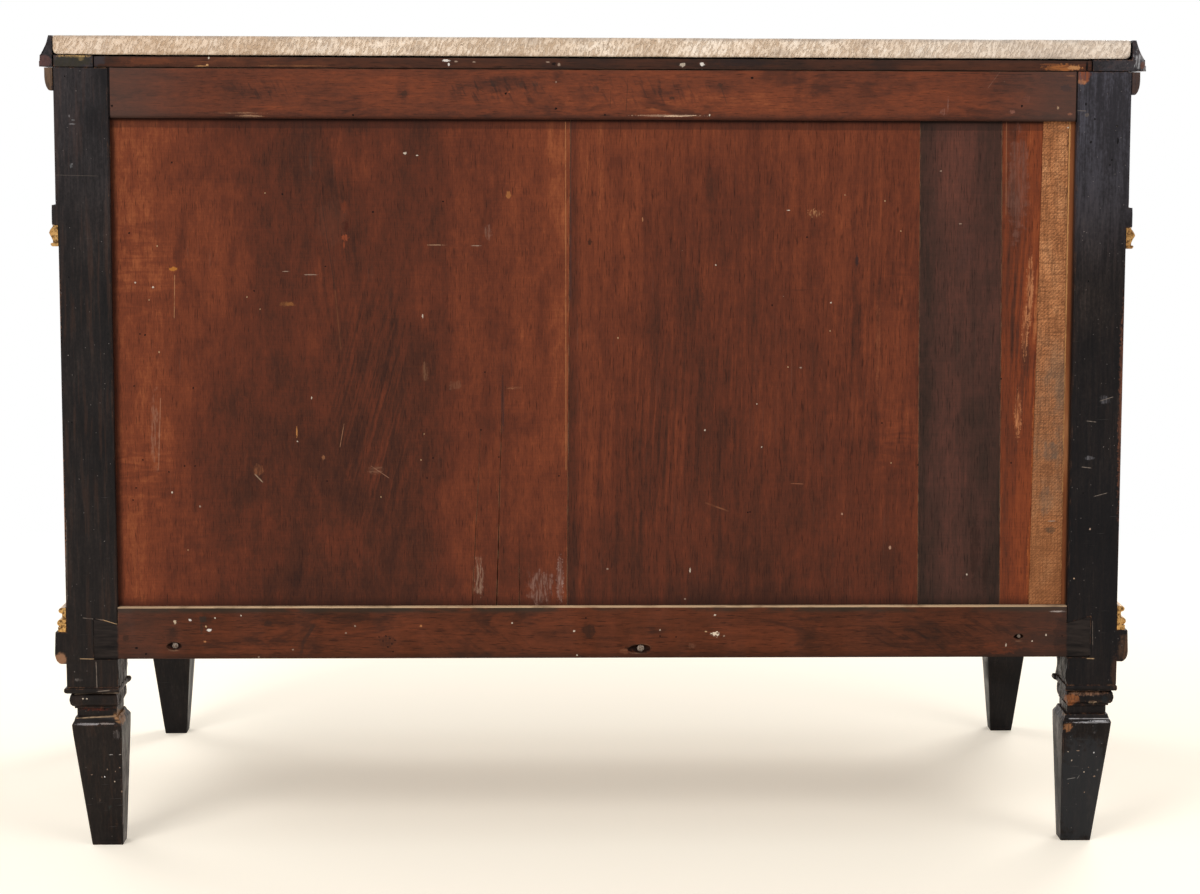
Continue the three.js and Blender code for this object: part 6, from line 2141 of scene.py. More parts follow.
    def rail_finishes(self) -> tuple[BackRail, BackRail]:
        """The finishes of the top and bottom rails."""
        rail_low, rail_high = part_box("back_top_rail")
        top = BackRail(
            "back_top_rail_wood", Grain.X, ((0.027, 0.0145, 0.0115), (0.064, 0.0240, 0.0155), (0.114, 0.0345, 0.0185),
                                            (0.172, 0.0455, 0.0205), (0.280, 0.080, 0.031)),
            fibres=((14 * MM, 0.08, 0.16), (4 * MM, 0.06, 0.18), (1.8 * MM, 0.06, 0.16)), seed=21.0, open_seam=True,
            mottles=((45 * MM, 0.20), (16 * MM, 0.28), (6 * MM, 0.20), (2.6 * MM, 0.16)),
            low=rail_low.z, high=rail_high.z, face=rail_high.y, grey_ends=0.6,
            across=((0.0, 0.50), (0.12, 0.50), (0.3, 0.58), (0.6, 0.66), (0.78, 0.58), (0.9, 0.52), (1.0, 0.44)),
            holes=0.02, specks=0.05,
            shades=(
                (404, 93, 8, 8, -0.30), (500, 86, 50, 7, -0.20), (700, 102, 60, 12, 0.12), (790, 96, 45, 16, 0.12),
                (620, 108, 50, 8, 0.08), (240, 92, 34, 12, -0.14), (330, 88, 34, 9, -0.12), (160, 80, 40, 7, -0.08),
                (580, 96, 12, 12, -0.14), (860, 80, 60, 8, -0.10), (930, 100, 40, 12, 0.06),
                # The long thin shade along the rail's lower edge is painted shade.
                (1010, 84, 50, 10, -0.10), (590, 118, 500, 3, -0.16), (672, 88, 14, 8, -0.12),
                (720, 84, 14, 8, -0.12), (450, 105, 30, 8, -0.10), (280, 108, 30, 7, 0.10), (640, 76, 120, 5, -0.06),
            ),
            chatter=((500, 92, 60, 15, -0.27, 28), (645, 92, 70, 16, -0.24, 24), (263, 91, 36, 12, -0.20, 26)),
            marks=(
                (505.8, 93.5, 3, 3, HOLE_AND_SHADE_BLACK), (556, 108.5, 3.4, 2.6, HOLE_AND_SHADE_BLACK), (353, 115, 2.6, 2.4, HOLE_AND_SHADE_BLACK),
                (605, 115, 2.6, 2.4, HOLE_AND_SHADE_BLACK), (404, 94, 9, 9, (0.040, 0.020, 0.014), 0.6), (752, 78, 3.4, 3, HOLE_AND_SHADE_BLACK),
                (672, 98, 8, 4, (0.040, 0.020, 0.014), 0.7), (720, 85, 7, 5, (0.045, 0.022, 0.015), 0.6),
                (494, 84, 9, 8, (0.042, 0.024, 0.018), 0.6, 0.4), (521, 85, 7, 6, (0.042, 0.024, 0.018), 0.6, 0.4),
                (596, 89, 10, 8, (0.042, 0.024, 0.018), 0.55, 0.4), (535, 84, 8, 7, (0.050, 0.028, 0.020), 0.5, 0.4),
                (1066, 88, 13, 9, (0.030, 0.027, 0.030), 0.6, 0.4, True),
                (1056, 78, 40, 9, (0.052, 0.030, 0.026), 0.5, 0.5, True),
                (1071, 76, 11, 2, (0.24, 0.10, 0.05), 0.7, 0.6, True),
                (1070, 114, 7, 4, (0.30, 0.12, 0.07), 0.7, 0.5), (1058, 108, 3, 5, (0.46, 0.30, 0.18), 1, 0.5),
                (1012, 112, 8, 5, (0.24, 0.10, 0.07), 0.7, 0.7), (1027, 99, 7, 12, (0.19, 0.075, 0.055), 0.5, 0.8),
                (944, 112, 10, 9, (0.22, 0.10, 0.075), 0.5, 0.9), (948, 104, 2, 16, (0.24, 0.12, 0.09), 0.6, 0.7),
                (240, 113, 60, 2, (0.34, 0.18, 0.10), 0.7, 0.8, True),
                (250, 116, 30, 3, (0.42, 0.24, 0.14), 0.7, 0.6, True),
                (668, 115.7, 76, 2.6, (0.62, 0.42, 0.28), 0.9, 0.7, True), (709.6, 115, 2, 3.4, PLASTER),
                (556, 82, 1.8, 2.6, DUST), (509, 92, 3, 2, (0.30, 0.08, 0.03)), (112, 106, 3, 3, HOLE_AND_SHADE_BLACK),
                (1022, 106, 3, 3, HOLE_AND_SHADE_BLACK),
            ),
            strokes=(
                (628, 78, 626, 112, 1.0, (0.05, 0.022, 0.014), 0.7),
                (611, 90, 610, 108, 1.0, (0.05, 0.022, 0.014), 0.6),
                (456, 84, 482, 88, 1.0, (0.05, 0.022, 0.014), 0.6), (988, 88, 1000, 72, 1.0, (0.20, 0.10, 0.07), 0.5),
                (456, 84.5, 472, 85, 1.0, (0.05, 0.022, 0.014), 0.7),
                (472, 85, 484, 92, 1.0, (0.05, 0.022, 0.014), 0.7),
                (720, 84, 727, 104, 2.0, (0.055, 0.026, 0.017), 0.6),
                (960, 73.5, 1032, 74.5, 0.9, (0.02, 0.012, 0.01), 0.8),
            ),
        )
        rail_low, rail_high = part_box("back_bottom_rail")
        bottom = BackRail(
            "back_bottom_rail_wood", Grain.X,
            ((0.020, 0.0110, 0.0080), (0.048, 0.0168, 0.0092), (0.084, 0.0250, 0.0118), (0.132, 0.0350, 0.0150),
             (0.220, 0.062, 0.025)),
            fibres=((14 * MM, 0.08, 0.16), (4 * MM, 0.06, 0.20), (1.8 * MM, 0.06, 0.18)), seed=25.0,
            mottles=((40 * MM, 0.18), (14 * MM, 0.24), (6 * MM, 0.16), (3 * MM, 0.10)),
            low=rail_low.z, high=rail_high.z, face=rail_high.y,
            across=((0.0, 0.46), (0.2, 0.54), (0.45, 0.58), (0.7, 0.54), (0.85, 0.44), (1.0, 0.38)),
            pale_arris=True, grey_ends=0.25, holes=0.015, specks=0.04,
            strokes=(
                (314.6, 624, 303, 643, 5, (0.026, 0.016, 0.012), 0.6),
                (303, 643, 301, 654, 4, (0.026, 0.016, 0.012), 0.5),
            ),
            shades=(
                (203, 618, 7, 8, -0.20), (305, 636, 7, 20, -0.16, -22), (589, 631, 8, 8, -0.20),
                (173, 635, 6, 10, -0.16), (250, 640, 60, 12, 0.06), (410, 630, 60, 12, 0.08),
                (700, 650, 60, 8, -0.10), (760, 628, 50, 9, 0.08), (900, 640, 60, 10, -0.08),
                (345, 617, 60, 5, -0.14), (623, 651, 8, 5, 0.16), (516, 617, 10, 6, -0.3),
            ),
            chatter=((950, 635, 90, 22, -0.20, 60), (480, 640, 60, 18, -0.14, 50)),
            marks=(
                (175, 622, 5.4, 6, (0.50, 0.38, 0.26), 1, 0.0, False, 0.7), (190, 620, 4.6, 3.4, CHALK),
                (209.3, 630, 6, 4.4, CHALK), (206, 626.5, 2.4, 3, PALE_WOOD),
                (203, 619, 10, 9, (0.030, 0.022, 0.017), 0.75), (201.5, 628, 4, 14, (0.032, 0.020, 0.014), 0.6),
                (136.5, 648, 4.4, 2.4, HOLE_AND_SHADE_BLACK), (146, 654, 2.4, 2.6, HOLE_AND_SHADE_BLACK), (241, 615.5, 2.2, 2.2, PLASTER),
                (215, 618, 2.4, 2.6, PLASTER), (512, 623, 3, 2.6, PLASTER), (574, 631, 3.4, 3, PLASTER),
                (577, 655, 2.6, 2.6, PLASTER), (715, 634, 9, 5.4, (0.68, 0.55, 0.42), 1, 0.0, False, 0.8),
                (715, 615, 3.4, 2.6, PLASTER), (724, 636, 3, 2.6, DUST), (706, 631.5, 4, 2, PALE_WOOD),
                (1046, 635, 2.2, 3.6, PLASTER), (1032, 641, 2.4, 2.2, PLASTER), (1006, 645, 2.2, 5, PLASTER),
                (355, 626, 3, 3, DUST), (346, 633, 2.6, 2.6, DUST), (293, 649.6, 3, 2.6, DUST),
                (258.6, 657, 3, 2.4, DUST), (421, 626, 4, 3.6, (0.36, 0.14, 0.05)),
                (205, 641.6, 4, 3, (0.36, 0.15, 0.06)), (660, 630, 2, 2.4, PLASTER),
                *self.wormholes(((586, 618), (660, 636), (676, 637), (1019, 636), (1062, 636), (379, 637),
                    (386, 636), (390, 638.5), (395, 640.5), (392, 644), (393, 651.5), (383, 641), (388, 647))),
                (388, 641, 22, 15, (0.024, 0.014, 0.010), 0.5, 0.4),
                (589, 631, 16, 17, (0.024, 0.014, 0.010), 0.7, 0.3),
                (173, 633, 9, 13, (0.026, 0.016, 0.012), 0.6, 0.4), (125.5, 638, 8, 8, (0.026, 0.016, 0.012), 0.6),
                (268, 624, 10, 8, (0.026, 0.016, 0.012), 0.5),
                (624, 651, 12, 7, (0.20, 0.085, 0.045), 0.6, 0.6, True),
                (692, 646, 10, 7, (0.19, 0.080, 0.045), 0.5, 0.6),
                (1058, 611.4, 20, 2, (0.42, 0.35, 0.31), 0.7, 0.5, True),
                (1000, 648, 50, 16, (0.14, 0.035, 0.014), 0.5, 0.6, True),
                (1064, 636, 26, 62, (0.020, 0.013, 0.011), 0.6, 0.35, True), *self.pocket_shadows(),
            ),
        )
        return top, bottom

    def rails(self) -> None:
        """The two rails, their arrises worn, with the screw pockets in the lower one."""
        top, bottom = self.rail_finishes()

        def show_edge(edge: bmesh.types.BMEdge) -> bool:
            """Tells the long edges of the lower rail's back face."""
            ends = [v.co for v in edge.verts]
            level = abs(ends[0].z - ends[1].z) < 0.1 * MM and abs(ends[0].x - ends[1].x) > 0.2
            return level and all(co.y > BACK_FACE - 0.2 * MM for co in ends)
        work = Workpiece.of_node("back_bottom_rail")
        work.bevel_edges(self.rail_round, 3, show_edge)
        work.slice(0, steps(-OPENING_HALF, OPENING_HALF, self.rail_spacing))
        inside = OPENING_HALF - 2 * MM
        work.nibbled(0.5 * MM, 22 * MM, lambda place: abs(place.x) < inside and place.y > BACK_FACE - 3 * MM)
        iron = self.iron()
        for number, pocket in enumerate(self.pockets, 1):
            centre = CAMERA.on_face(pocket.pixel, BACK_FACE)
            deselect()
            bpy.ops.mesh.primitive_uv_sphere_add(
                segments=28, ring_count=16, radius=1, location=centre,
                scale=(pocket.wide, self.pocket_depth, pocket.high), rotation=(0, self.pocket_lean, 0))
            work.cut(Workpiece(bpy.context.object).settled())
            seat = centre - Vector((0.15 * pocket.wide, self.screw_seat, 0.0))
            self.screw(f"pocket_screw_{number}", seat, pocket.high * 0.82, 30.0 * number, iron)
        work.set_on("case", Slot.RAILS, bottom.build(), "back_bottom_rail")
        work = Workpiece.of_node("back_top_rail")
        work.slice(0, steps(-OPENING_HALF, OPENING_HALF, self.rail_spacing))
        work.nibbled(0.45 * MM, 24 * MM, lambda place: abs(place.x) < inside and place.y > BACK_FACE - 9 * MM)
        work.set_on("case", Slot.RAILS, top.build(), "back_top_rail")

    def iron(self) -> bpy.types.Material:
        """Dull rubbed iron with rust in its hollows."""
        recipe = Recipe("screw_iron")
        cloud = recipe.noise(1.6 * MM, detail=4, rough=0.7, seed=3)
        colour = recipe.mix(recipe.rise(cloud, 0.42, 0.6), (0.30, 0.245, 0.20), (0.10, 0.052, 0.030))
        return recipe.done(colour, 0.55, recipe.relief(cloud, 0.3 * MM), metal=0.45)

    def pocket_shadows(self) -> Rows:
        """The painted shade in each pocket and round its rim, with a painted highlight along its lower lip."""
        marks = []
        for pocket in self.pockets:
            across, down = pocket.pixel
            wide, high = pocket.wide / MM, pocket.high / MM
            # A painted highlight along the lower lip.
            marks.append((across, down + 4.6, wide * 1.5, 1.6, (0.24, 0.14, 0.085), 0.6, 0.5, True))
            # Painted shade in the pocket and round its rim.
            marks.append((across, down, wide * 2.3, high * 2.5, HOLE_AND_SHADE_BLACK, 0.85, 0, False, 0.3))
        return tuple(marks)

    def screw(self, name: str, centre: Vector, radius: float, turn: float, iron: bpy.types.Material) -> None:
        """A slotted screw head at the bottom of its pocket."""
        head = Workpiece.turned(name, ((0, -1.5 * MM), (radius * 0.9, -1.5 * MM), (radius, -0.3 * MM),
                                       (radius * 0.7, 0.35 * MM), (0, 0.7 * MM)), 20)
        groove = Workpiece.block("groove", (-5 * MM, 0.1 * MM, -0.45 * MM), (5 * MM, 2 * MM, 0.45 * MM))
        head.cut(groove)
        head.piece.data.transform(Matrix.Translation(centre) @ Matrix.Rotation(math.radians(turn), 4, "Y"))
        head.set_on("case", Slot.GILT, iron)

    def linen(self) -> None:
        """The strip of linen glued over the last joint, cockled and ragged along one edge."""
        deselect()
        bpy.ops.mesh.primitive_grid_add(x_subdivisions=self.linen_columns, y_subdivisions=self.linen_rows, size=1)
        work = Workpiece(bpy.context.object).named("linen_strip_cloth")
        low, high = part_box("linen_strip")

        def lay(place: Vector, normal: Vector) -> Vector:
            """Lays the flat grid on the boards between the slanting edges."""
            across, up = place.x + 0.5, place.y + 0.5
            z = low.z + (high.z - low.z) * up
            near = self.linen_low[0] + (self.linen_top[0] - self.linen_low[0]) * up
            far = self.linen_low[1] + (self.linen_top[1] - self.linen_low[1]) * up
            near += 0.9 * MM * noise.noise(Vector((z * 30, 1, 0)))
            far += 1.2 * MM * noise.noise(Vector((z * 55, 2, 0))) + 0.5 * MM * noise.noise(Vector((z * 400, 3, 0)))
            cockle = 0.22 * MM * (0.5 + 0.5 * noise.noise(Vector((place.x * 2, z * 35, 0))))
            return Vector((near + (far - near) * across, low.y + cockle, z))
        work.carved(lay).outward()
        work.modified("SOLIDIFY", thickness=self.cloth, offset=0)
        work.carved(lambda place, normal: place + Vector((0, self.cloth / 2, 0)))
        work.set_on("case", Slot.LINEN, Linen().build(), "linen_strip")

    def build(self) -> None:
        """Makes the back."""
        for number, finish in enumerate(self.boards(), 1):
            self.board(number, finish)
        self.rails()
        self.linen()


@dataclass
class CaseWork:
    """The flanks, the front rails and what lies inside the case."""

    def build(self) -> None:
        """Makes the panels, rails and boards of the case."""
        for side_name, side in SIDES:
            node = f"side_panel_{side_name}"
            finish = Veneer(f"{node}_veneer", Grain.Z, WALNUT_STOPS, seed=40.0 + side, figure=0.5,
                            fibres=VENEER_FIBRES, mottles=(), rough=0.34, shine=0.5, wear=0.2, holes=0.0, specks=0.0,
                            pore_depth=0.03 * MM)
            Workpiece.of_node(node).eased(0.6 * MM).set_on("case", Slot.WALNUT, finish.build(), node)
        rails = ("front_top_rail", "drawer_rail_upper", "drawer_rail_lower", "front_plinth_rail")
        for number, node in enumerate(rails):
            black = Ebonised(f"{node}_black", seed=50.0 + number, wear=0.5, grey=0.05, brown=0.25, specks=0.01,
                             grain=(0.05, 1, 1))
            Workpiece.of_node(node).eased(0.6 * MM).set_on("case", Slot.EBONISED, black.build(), node)
        plain = Timber("dust_board_wood", Grain.X, PLAIN_STOPS, rough=0.72, wear=0.3, holes=0.02, specks=0.02,
                       seed=60.0, pore_depth=0.12 * MM).build()
        for node in ("dust_board_upper", "dust_board_lower", "bottom_board"):
            Workpiece.of_node(node).eased(0.4 * MM).set_on("case", Slot.DRAWER, plain, node)


@dataclass
class Handles:
    """The bails, their plates and the key plates of the deep drawers."""

    plate_half: tuple[float, float] = (60 * MM, 23 * MM)
    plate_thick: float = 1.8 * MM
    border_bead: float = 0.95 * MM
    border_inset: float = 1.7 * MM
    boss_spread: float = 48 * MM
    boss_ball: float = 5.4 * MM
    boss_neck: float = 3.4 * MM
    bore_radius: float = 2.1 * MM
    bore_length: float = 10.8 * MM
    pivot_reach: float = 9.6 * MM
    bail_half: float = 39.5 * MM
    bail_drop: float = 36 * MM
    rod: float = 2.7 * MM
    eye: float = 3.8 * MM
    border_beads: int = 64
    unit_rod: float = 0.05
    key_half: tuple[float, float] = (13 * MM, 21 * MM)
    field_share: float = 0.62

    def oval(self, name: str, half: tuple[float, float], beads: int) -> Workpiece:
        """An oval plate with a raised beaded border, its back on the XZ plane at the origin.

        Args:
            name: the piece's name.
            half: its half width and half height.
            beads: how many beads go round.

        Returns:
            The plate.
        """
        deselect()
        bpy.ops.mesh.primitive_cylinder_add(vertices=96, radius=1, depth=1, rotation=(math.pi / 2, 0, 0))
        work = Workpiece(bpy.context.object).named(name).settled()
        thick = self.plate_thick
        work.carved(lambda place, normal: Vector((place.x * half[0], (place.y - 0.5) * thick, place.z * half[1])))
        with work.editing():
            bpy.ops.mesh.select_mode(type="FACE")
            bpy.ops.mesh.select_all(action="DESELECT")
            mesh = bmesh.from_edit_mesh(work.piece.data)
            for face in mesh.faces:
                face.select = face.normal.y < -0.9
            bmesh.update_edit_mesh(work.piece.data)
            bpy.ops.mesh.inset(thickness=0.7 * MM)
            bpy.ops.transform.translate(value=(0, -0.3 * MM, 0))
            bpy.ops.mesh.inset(thickness=1.9 * MM)
            bpy.ops.mesh.inset(thickness=0.5 * MM)
            bpy.ops.transform.translate(value=(0, 0.75 * MM, 0))
            bpy.ops.mesh.inset(thickness=0.2 * MM)
            bpy.ops.transform.resize(value=(self.field_share, 1, self.field_share), center_override=(0, 0, 0))
            bpy.ops.mesh.inset(thickness=0.6 * MM)
            bpy.ops.transform.translate(value=(0, -0.4 * MM, 0))
        deselect()
        bpy.ops.mesh.primitive_uv_sphere_add(segments=8, ring_count=5, radius=self.border_bead)
        bead = Workpiece(bpy.context.object)
        made = []
        for i in range(beads):
            turn = math.tau * i / beads
            place = Vector(((half[0] - self.border_inset) * math.cos(turn), -thick - 0.2 * MM,
                            (half[1] - self.border_inset) * math.sin(turn)))
            made.append(bead.copied(f"{name}_bead_{i}", place))
        bead.dropped()
        return work.joined(*made)

    def boss(self, side: int) -> Workpiece:
        """A turned boss with its ball at the pivot, bored for the pin."""
        pivot, ball, neck = -self.pivot_reach, self.boss_ball, self.boss_neck
        start = math.asin(neck / ball)
        turns = [start + (math.pi - start) * i / 12 for i in range(13)]
        profile = [(0, -1 * MM), (9 * MM, -1 * MM), (9 * MM, -2.2 * MM), (8.2 * MM, -2.8 * MM), (6 * MM, -3.1 * MM),
                   (4.4 * MM, -3.9 * MM), (neck, -4.8 * MM)]
        profile += [(max(0.0, ball * math.sin(turn)), pivot + ball * math.cos(turn)) for turn in turns]
        work = Workpiece.turned("boss", profile, 32)
        deselect()
        bore = side * (-self.boss_spread + self.bail_half + 0.7 * MM)
        bpy.ops.mesh.primitive_cylinder_add(vertices=24, radius=self.bore_radius, depth=self.bore_length,
                                            location=(bore, pivot, 0), rotation=(0, math.pi / 2, 0))
        work.cut(Workpiece(bpy.context.object).settled())
        work.piece.data.transform(Matrix.Translation((side * self.boss_spread, 0, 0)))
        return work

    def plate(self) -> Workpiece:
        """A handle plate with its two bosses."""
        return self.oval("handle_plate", self.plate_half, self.border_beads).joined(self.boss(1), self.boss(-1))

    def bail(self) -> Workpiece:
        """A bail about its pivot: a swelling rod, an eye and pin at each end and a turned grip."""
        deselect()
        bpy.ops.mesh.primitive_circle_add(vertices=20, radius=1, location=(-1, 0, 0), fill_type="NGON")
        work = Workpiece(bpy.context.object).named("bail").settled()
        work.carved(lambda place, normal: Vector((-1 + (place.x + 1) * self.unit_rod, place.y * self.unit_rod, 0)))
        with work.editing():
            bpy.ops.mesh.select_all(action="SELECT")
            bpy.ops.mesh.spin(steps=48, angle=-math.pi, center=(0, 0, 0), axis=(0, 1, 0))
            bpy.ops.mesh.select_all(action="SELECT")
            bpy.ops.mesh.remove_doubles(threshold=WELD)

        def draw(place: Vector, normal: Vector) -> Vector:
            """Turns the unit half ring into the bail's half oval, thinner at its ends."""
            span = math.hypot(place.x, place.z)
            turn = math.atan2(place.z, place.x)
            down = -abs(math.sin(turn))
            centre = Vector((self.bail_half * math.cos(turn), 0, self.bail_drop * down))
            out = Vector((self.bail_drop * math.cos(turn), 0, self.bail_half * down)).normalized()
            radius = self.rod * (1 - 0.2 * abs(math.cos(turn))) * (1 + 0.10 * max(0.0, 1 - abs(math.cos(turn)) * 3))
            across = out * ((span - 1) / self.unit_rod) * radius
            return centre + across + Vector((0, place.y / self.unit_rod * radius, 0))
        work.carved(draw).outward()
        parts = []
        grip = [(0, -7.5 * MM), (2.4 * MM, -7.4 * MM), (3.5 * MM, -6.6 * MM), (2.9 * MM, -5.6 * MM),
                (3.6 * MM, -4.4 * MM), (4.3 * MM, -2.4 * MM), (4.4 * MM, 0)]
        grip += [(reach, -along) for reach, along in reversed(grip[:-1])]
        for name, profile, x, z in (
            ("grip", grip, 0.0, -self.bail_drop),
            ("eye_left", self.ring_profile(), -self.bail_half, 0.0),
            ("eye_right", self.ring_profile(), self.bail_half, 0.0),
            ("pin_left", self.pin_profile(-1), -self.bail_half, 0.0),
            ("pin_right", self.pin_profile(1), self.bail_half, 0.0),
        ):
            part = Workpiece.turned(name, profile, 24)
            part.piece.data.transform(Matrix.Translation((x, 0, z)) @ Matrix.Rotation(-math.pi / 2, 4, "Z"))
            parts.append(part)
        return work.joined(*parts)

    def ring_profile(self) -> list[tuple[float, float]]:
        """The outline of a bail's eye, a short rounded drum."""
        half = 2.2 * MM
        return [(0, -half), (self.eye - 0.7 * MM, -half), (self.eye, -half + 0.7 * MM), (self.eye, half - 0.7 * MM),
                (self.eye - 0.7 * MM, half), (0, half)]

    def pin_profile(self, side: int) -> list[tuple[float, float]]:
        """The outline of the pin that a bail turns on."""
        tip = side * 5.8 * MM
        rows = [(0, 0.0), (1.8 * MM, 0.0), (1.8 * MM, tip - side * 0.4 * MM), (1.4 * MM, tip), (0, tip)]
        return rows if side > 0 else list(reversed(rows))

    def key_plate(self) -> Workpiece:
        """An oval key plate with its keyhole cut through."""
        work = self.oval("key_plate", self.key_half, 30)
        deselect()
        bpy.ops.mesh.primitive_cylinder_add(vertices=32, radius=3 * MM, depth=12 * MM, rotation=(math.pi / 2, 0, 0))
        hole = Workpiece(bpy.context.object).settled()
        work.cut(hole)
        return work.cut(Workpiece.block("slot", (-1.6 * MM, -6 * MM, -11 * MM), (1.6 * MM, 6 * MM, 0)))

    def build(self, gilt: bpy.types.Material) -> None:
        """Models each fitting once and sets its copies in place."""
        plate, bail, key = self.plate(), self.bail(), self.key_plate()
        for drawer in ("middle", "bottom"):
            low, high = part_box(f"{drawer}_key_plate")
            place = Vector((0, high.y, (low.z + high.z) / 2))
            made = key.copied(f"{drawer}_key_plate_made", place)
            made.set_on(f"{drawer}_drawer", Slot.GILT, gilt, f"{drawer}_key_plate")
            for side, _ in SIDES:
                low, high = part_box(f"{drawer}_handle_plate_{side}")
                place = Vector(((low.x + high.x) / 2, high.y, (low.z + high.z) / 2))
                node = f"{drawer}_handle_plate_{side}"
                plate.copied(f"{node}_made", place).set_on(f"{drawer}_drawer", Slot.GILT, gilt, node)
                node = f"{drawer}_bail_{side}"
                pivot = place - Vector((0, self.pivot_reach, 0))
                bail.copied(f"{node}_made", pivot).set_on(node, Slot.GILT, gilt, node)
        for work in (plate, bail, key):
            work.dropped()


@dataclass
class Drawers:
    """The three drawers: veneered fronts, dovetailed sides and backs, and bottoms."""

    names: tuple[str, ...] = ("frieze", "middle", "bottom")
    veneer_thickness: float = 2.2 * MM

    def build(self) -> None:
        """Makes every drawer."""
        plain = dict(stops=PLAIN_STOPS, rough=0.66, wear=0.3, specks=0.0, pore_depth=0.10 * MM)
        side_wood = Timber("drawer_side_wood", Grain.Y, **plain, seed=70.0).build()
        back_wood = Timber("drawer_back_wood", Grain.X, **plain, seed=72.0).build()
        base_wood = Timber("drawer_bottom_wood", Grain.X, **plain, seed=74.0, lift=-0.06).build()
        for number, name in enumerate(self.names):
            body = f"{name}_drawer"
            finish = Veneer(f"{body}_veneer", Grain.Z, WALNUT_STOPS, seed=80.0 + 3 * number, matched=True,
                            fibres=VENEER_FIBRES, mottles=(), rough=0.32, shine=0.5, wear=0.25, holes=0.0, specks=0.0,
                            pore_depth=0.03 * MM, bare_from=FRONT_FACE + self.veneer_thickness)
            node = f"{body}_front"
            Workpiece.of_node(node).eased(0.5 * MM).set_on(body, Slot.WALNUT, finish.build(), node)
            for part, material in (("side_left", side_wood), ("side_right", side_wood), ("back", back_wood),
                                   ("bottom", base_wood)):
                node = f"{body}_{part}"
                Workpiece.of_node(node).eased(0.4 * MM).set_on(body, Slot.DRAWER, material, node)


@dataclass(frozen=True)
class SoftLight:
    """A large soft lamp that faces the chest."""

    name: str
    place: Place
    watts: float
    size: float
    colour: Colour = (1.0, 1.0, 1.0)


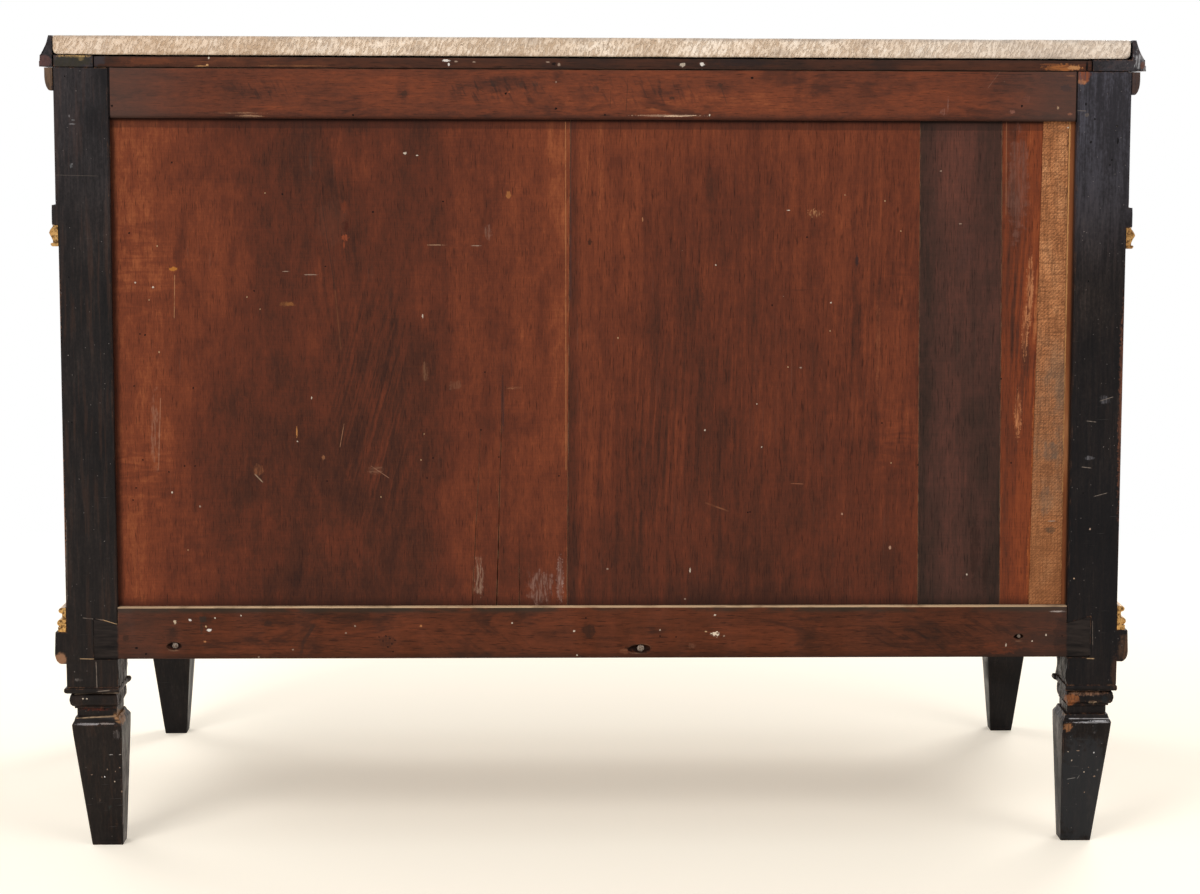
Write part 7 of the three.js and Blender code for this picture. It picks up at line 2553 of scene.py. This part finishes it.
@dataclass
class Studio:
    """The pale floor, the white surround and the soft lamps."""

    floor_radius: float = 3.4
    floor_colour: Colour = (0.93, 0.86, 0.74)
    fade: tuple[float, float] = (1.0, 2.2)
    lift: float = 0.27
    sky: float = 0.58
    target: Place = (0.0, 0.0, 0.5)
    lamps: tuple[SoftLight, ...] = (
        SoftLight("key", (2.1, 3.5, 3.0), 92.0, 1.8),
        SoftLight("fill", (-2.9, 2.9, 2.2), 38.0, 2.2),
        SoftLight("front_key", (-2.2, -3.4, 2.9), 88.0, 1.8),
        SoftLight("front_fill", (2.8, -2.8, 2.0), 42.0, 2.2),
    )

    def seen(self, tree: bpy.types.NodeTree) -> Socket:
        """A mask of the rays from the camera, with those that mirror and pass through."""
        path = tree.nodes.new("ShaderNodeLightPath")
        largest = path.outputs["Is Camera Ray"]
        for ray in ("Is Glossy Ray", "Is Transmission Ray"):
            either = tree.nodes.new("ShaderNodeMath")
            either.operation = "MAXIMUM"
            tree.links.new(largest, either.inputs[0])
            tree.links.new(path.outputs[ray], either.inputs[1])
            largest = either.outputs[0]
        return largest

    def world(self) -> None:
        """White to the camera, to reflections and through glass, and an even soft light otherwise."""
        world = bpy.data.worlds.new("surround")
        bpy.context.scene.world = world
        world.use_nodes = True
        tree = world.node_tree
        tree.nodes.clear()
        seen = self.seen(tree)
        shown, lit = tree.nodes.new("ShaderNodeBackground"), tree.nodes.new("ShaderNodeBackground")
        shown.inputs["Strength"].default_value = 1.0
        shown.inputs["Color"].default_value = (1, 1, 1, 1)
        lit.inputs["Strength"].default_value = self.sky
        lit.inputs["Color"].default_value = (1, 1, 1, 1)
        mix, out = tree.nodes.new("ShaderNodeMixShader"), tree.nodes.new("ShaderNodeOutputWorld")
        tree.links.new(seen, mix.inputs[0])
        tree.links.new(lit.outputs[0], mix.inputs[1])
        tree.links.new(shown.outputs[0], mix.inputs[2])
        tree.links.new(mix.outputs[0], out.inputs[0])

    def floor(self) -> None:
        """A wide pale floor that turns white far off."""
        deselect()
        bpy.ops.mesh.primitive_circle_add(vertices=96, radius=self.floor_radius, fill_type="NGON", location=(0, 0, 0))
        work = Workpiece(bpy.context.object).named("studio_floor").settled()
        work.piece.data.materials.append(self.floor_finish())

    def floor_finish(self) -> bpy.types.Material:
        """A cream floor that the camera sees paler than it is lit, and that fades out far off."""
        recipe = Recipe("pale_floor")
        recipe.done((*self.floor_colour, 1.0), 0.9, shine=0.05)
        glow, clear = recipe.node("ShaderNodeEmission"), recipe.node("ShaderNodeBsdfTransparent")
        recipe.put(glow.inputs[0], (1.0, 0.93, 0.80))
        recipe.put(glow.inputs[1], recipe.times(self.seen(recipe.tree), self.lift))
        pale, faded = recipe.node("ShaderNodeAddShader"), recipe.node("ShaderNodeMixShader")
        recipe.put(pale.inputs[0], recipe.surface.outputs[0])
        recipe.put(pale.inputs[1], glow.outputs[0])
        span = recipe.node("ShaderNodeVectorMath", operation="LENGTH")
        recipe.put(span.inputs[0], recipe.place)
        recipe.put(faded.inputs[0], recipe.rise(span.outputs["Value"], *self.fade))
        recipe.put(faded.inputs[1], pale.outputs[0])
        recipe.put(faded.inputs[2], clear.outputs[0])
        output = next(node for node in recipe.tree.nodes if node.type == "OUTPUT_MATERIAL")
        recipe.tree.links.new(faded.outputs[0], output.inputs[0])
        return recipe.material

    def build(self) -> None:
        """Makes the surround, the floor and the lamps."""
        self.world()
        self.floor()
        for lamp in self.lamps:
            data = bpy.data.lights.new(lamp.name, "AREA")
            data.energy = lamp.watts
            data.size = lamp.size
            data.color = lamp.colour
            light = bpy.data.objects.new(lamp.name, data)
            light.location = lamp.place
            light.rotation_euler = (Vector(self.target) - Vector(lamp.place)).to_track_quat("-Z", "Y").to_euler()
            bpy.context.scene.collection.objects.link(light)


def main() -> None:
    """Builds the chest's looks, sub-assembly by sub-assembly, and the studio round it."""
    logging.basicConfig(level=logging.INFO, format="%(name)s %(message)s")
    bpy.context.scene.view_settings.view_transform = "Standard"
    CAMERA.build()
    Studio().build()
    gilt = Gilt().build()
    CornerPosts().build(gilt)
    TopFrame().build()
    StoneTop().build()
    Back().build()
    CaseWork().build()
    Drawers().build()
    Handles().build(gilt)
    deselect()


if __name__ == "__main__":
    main()
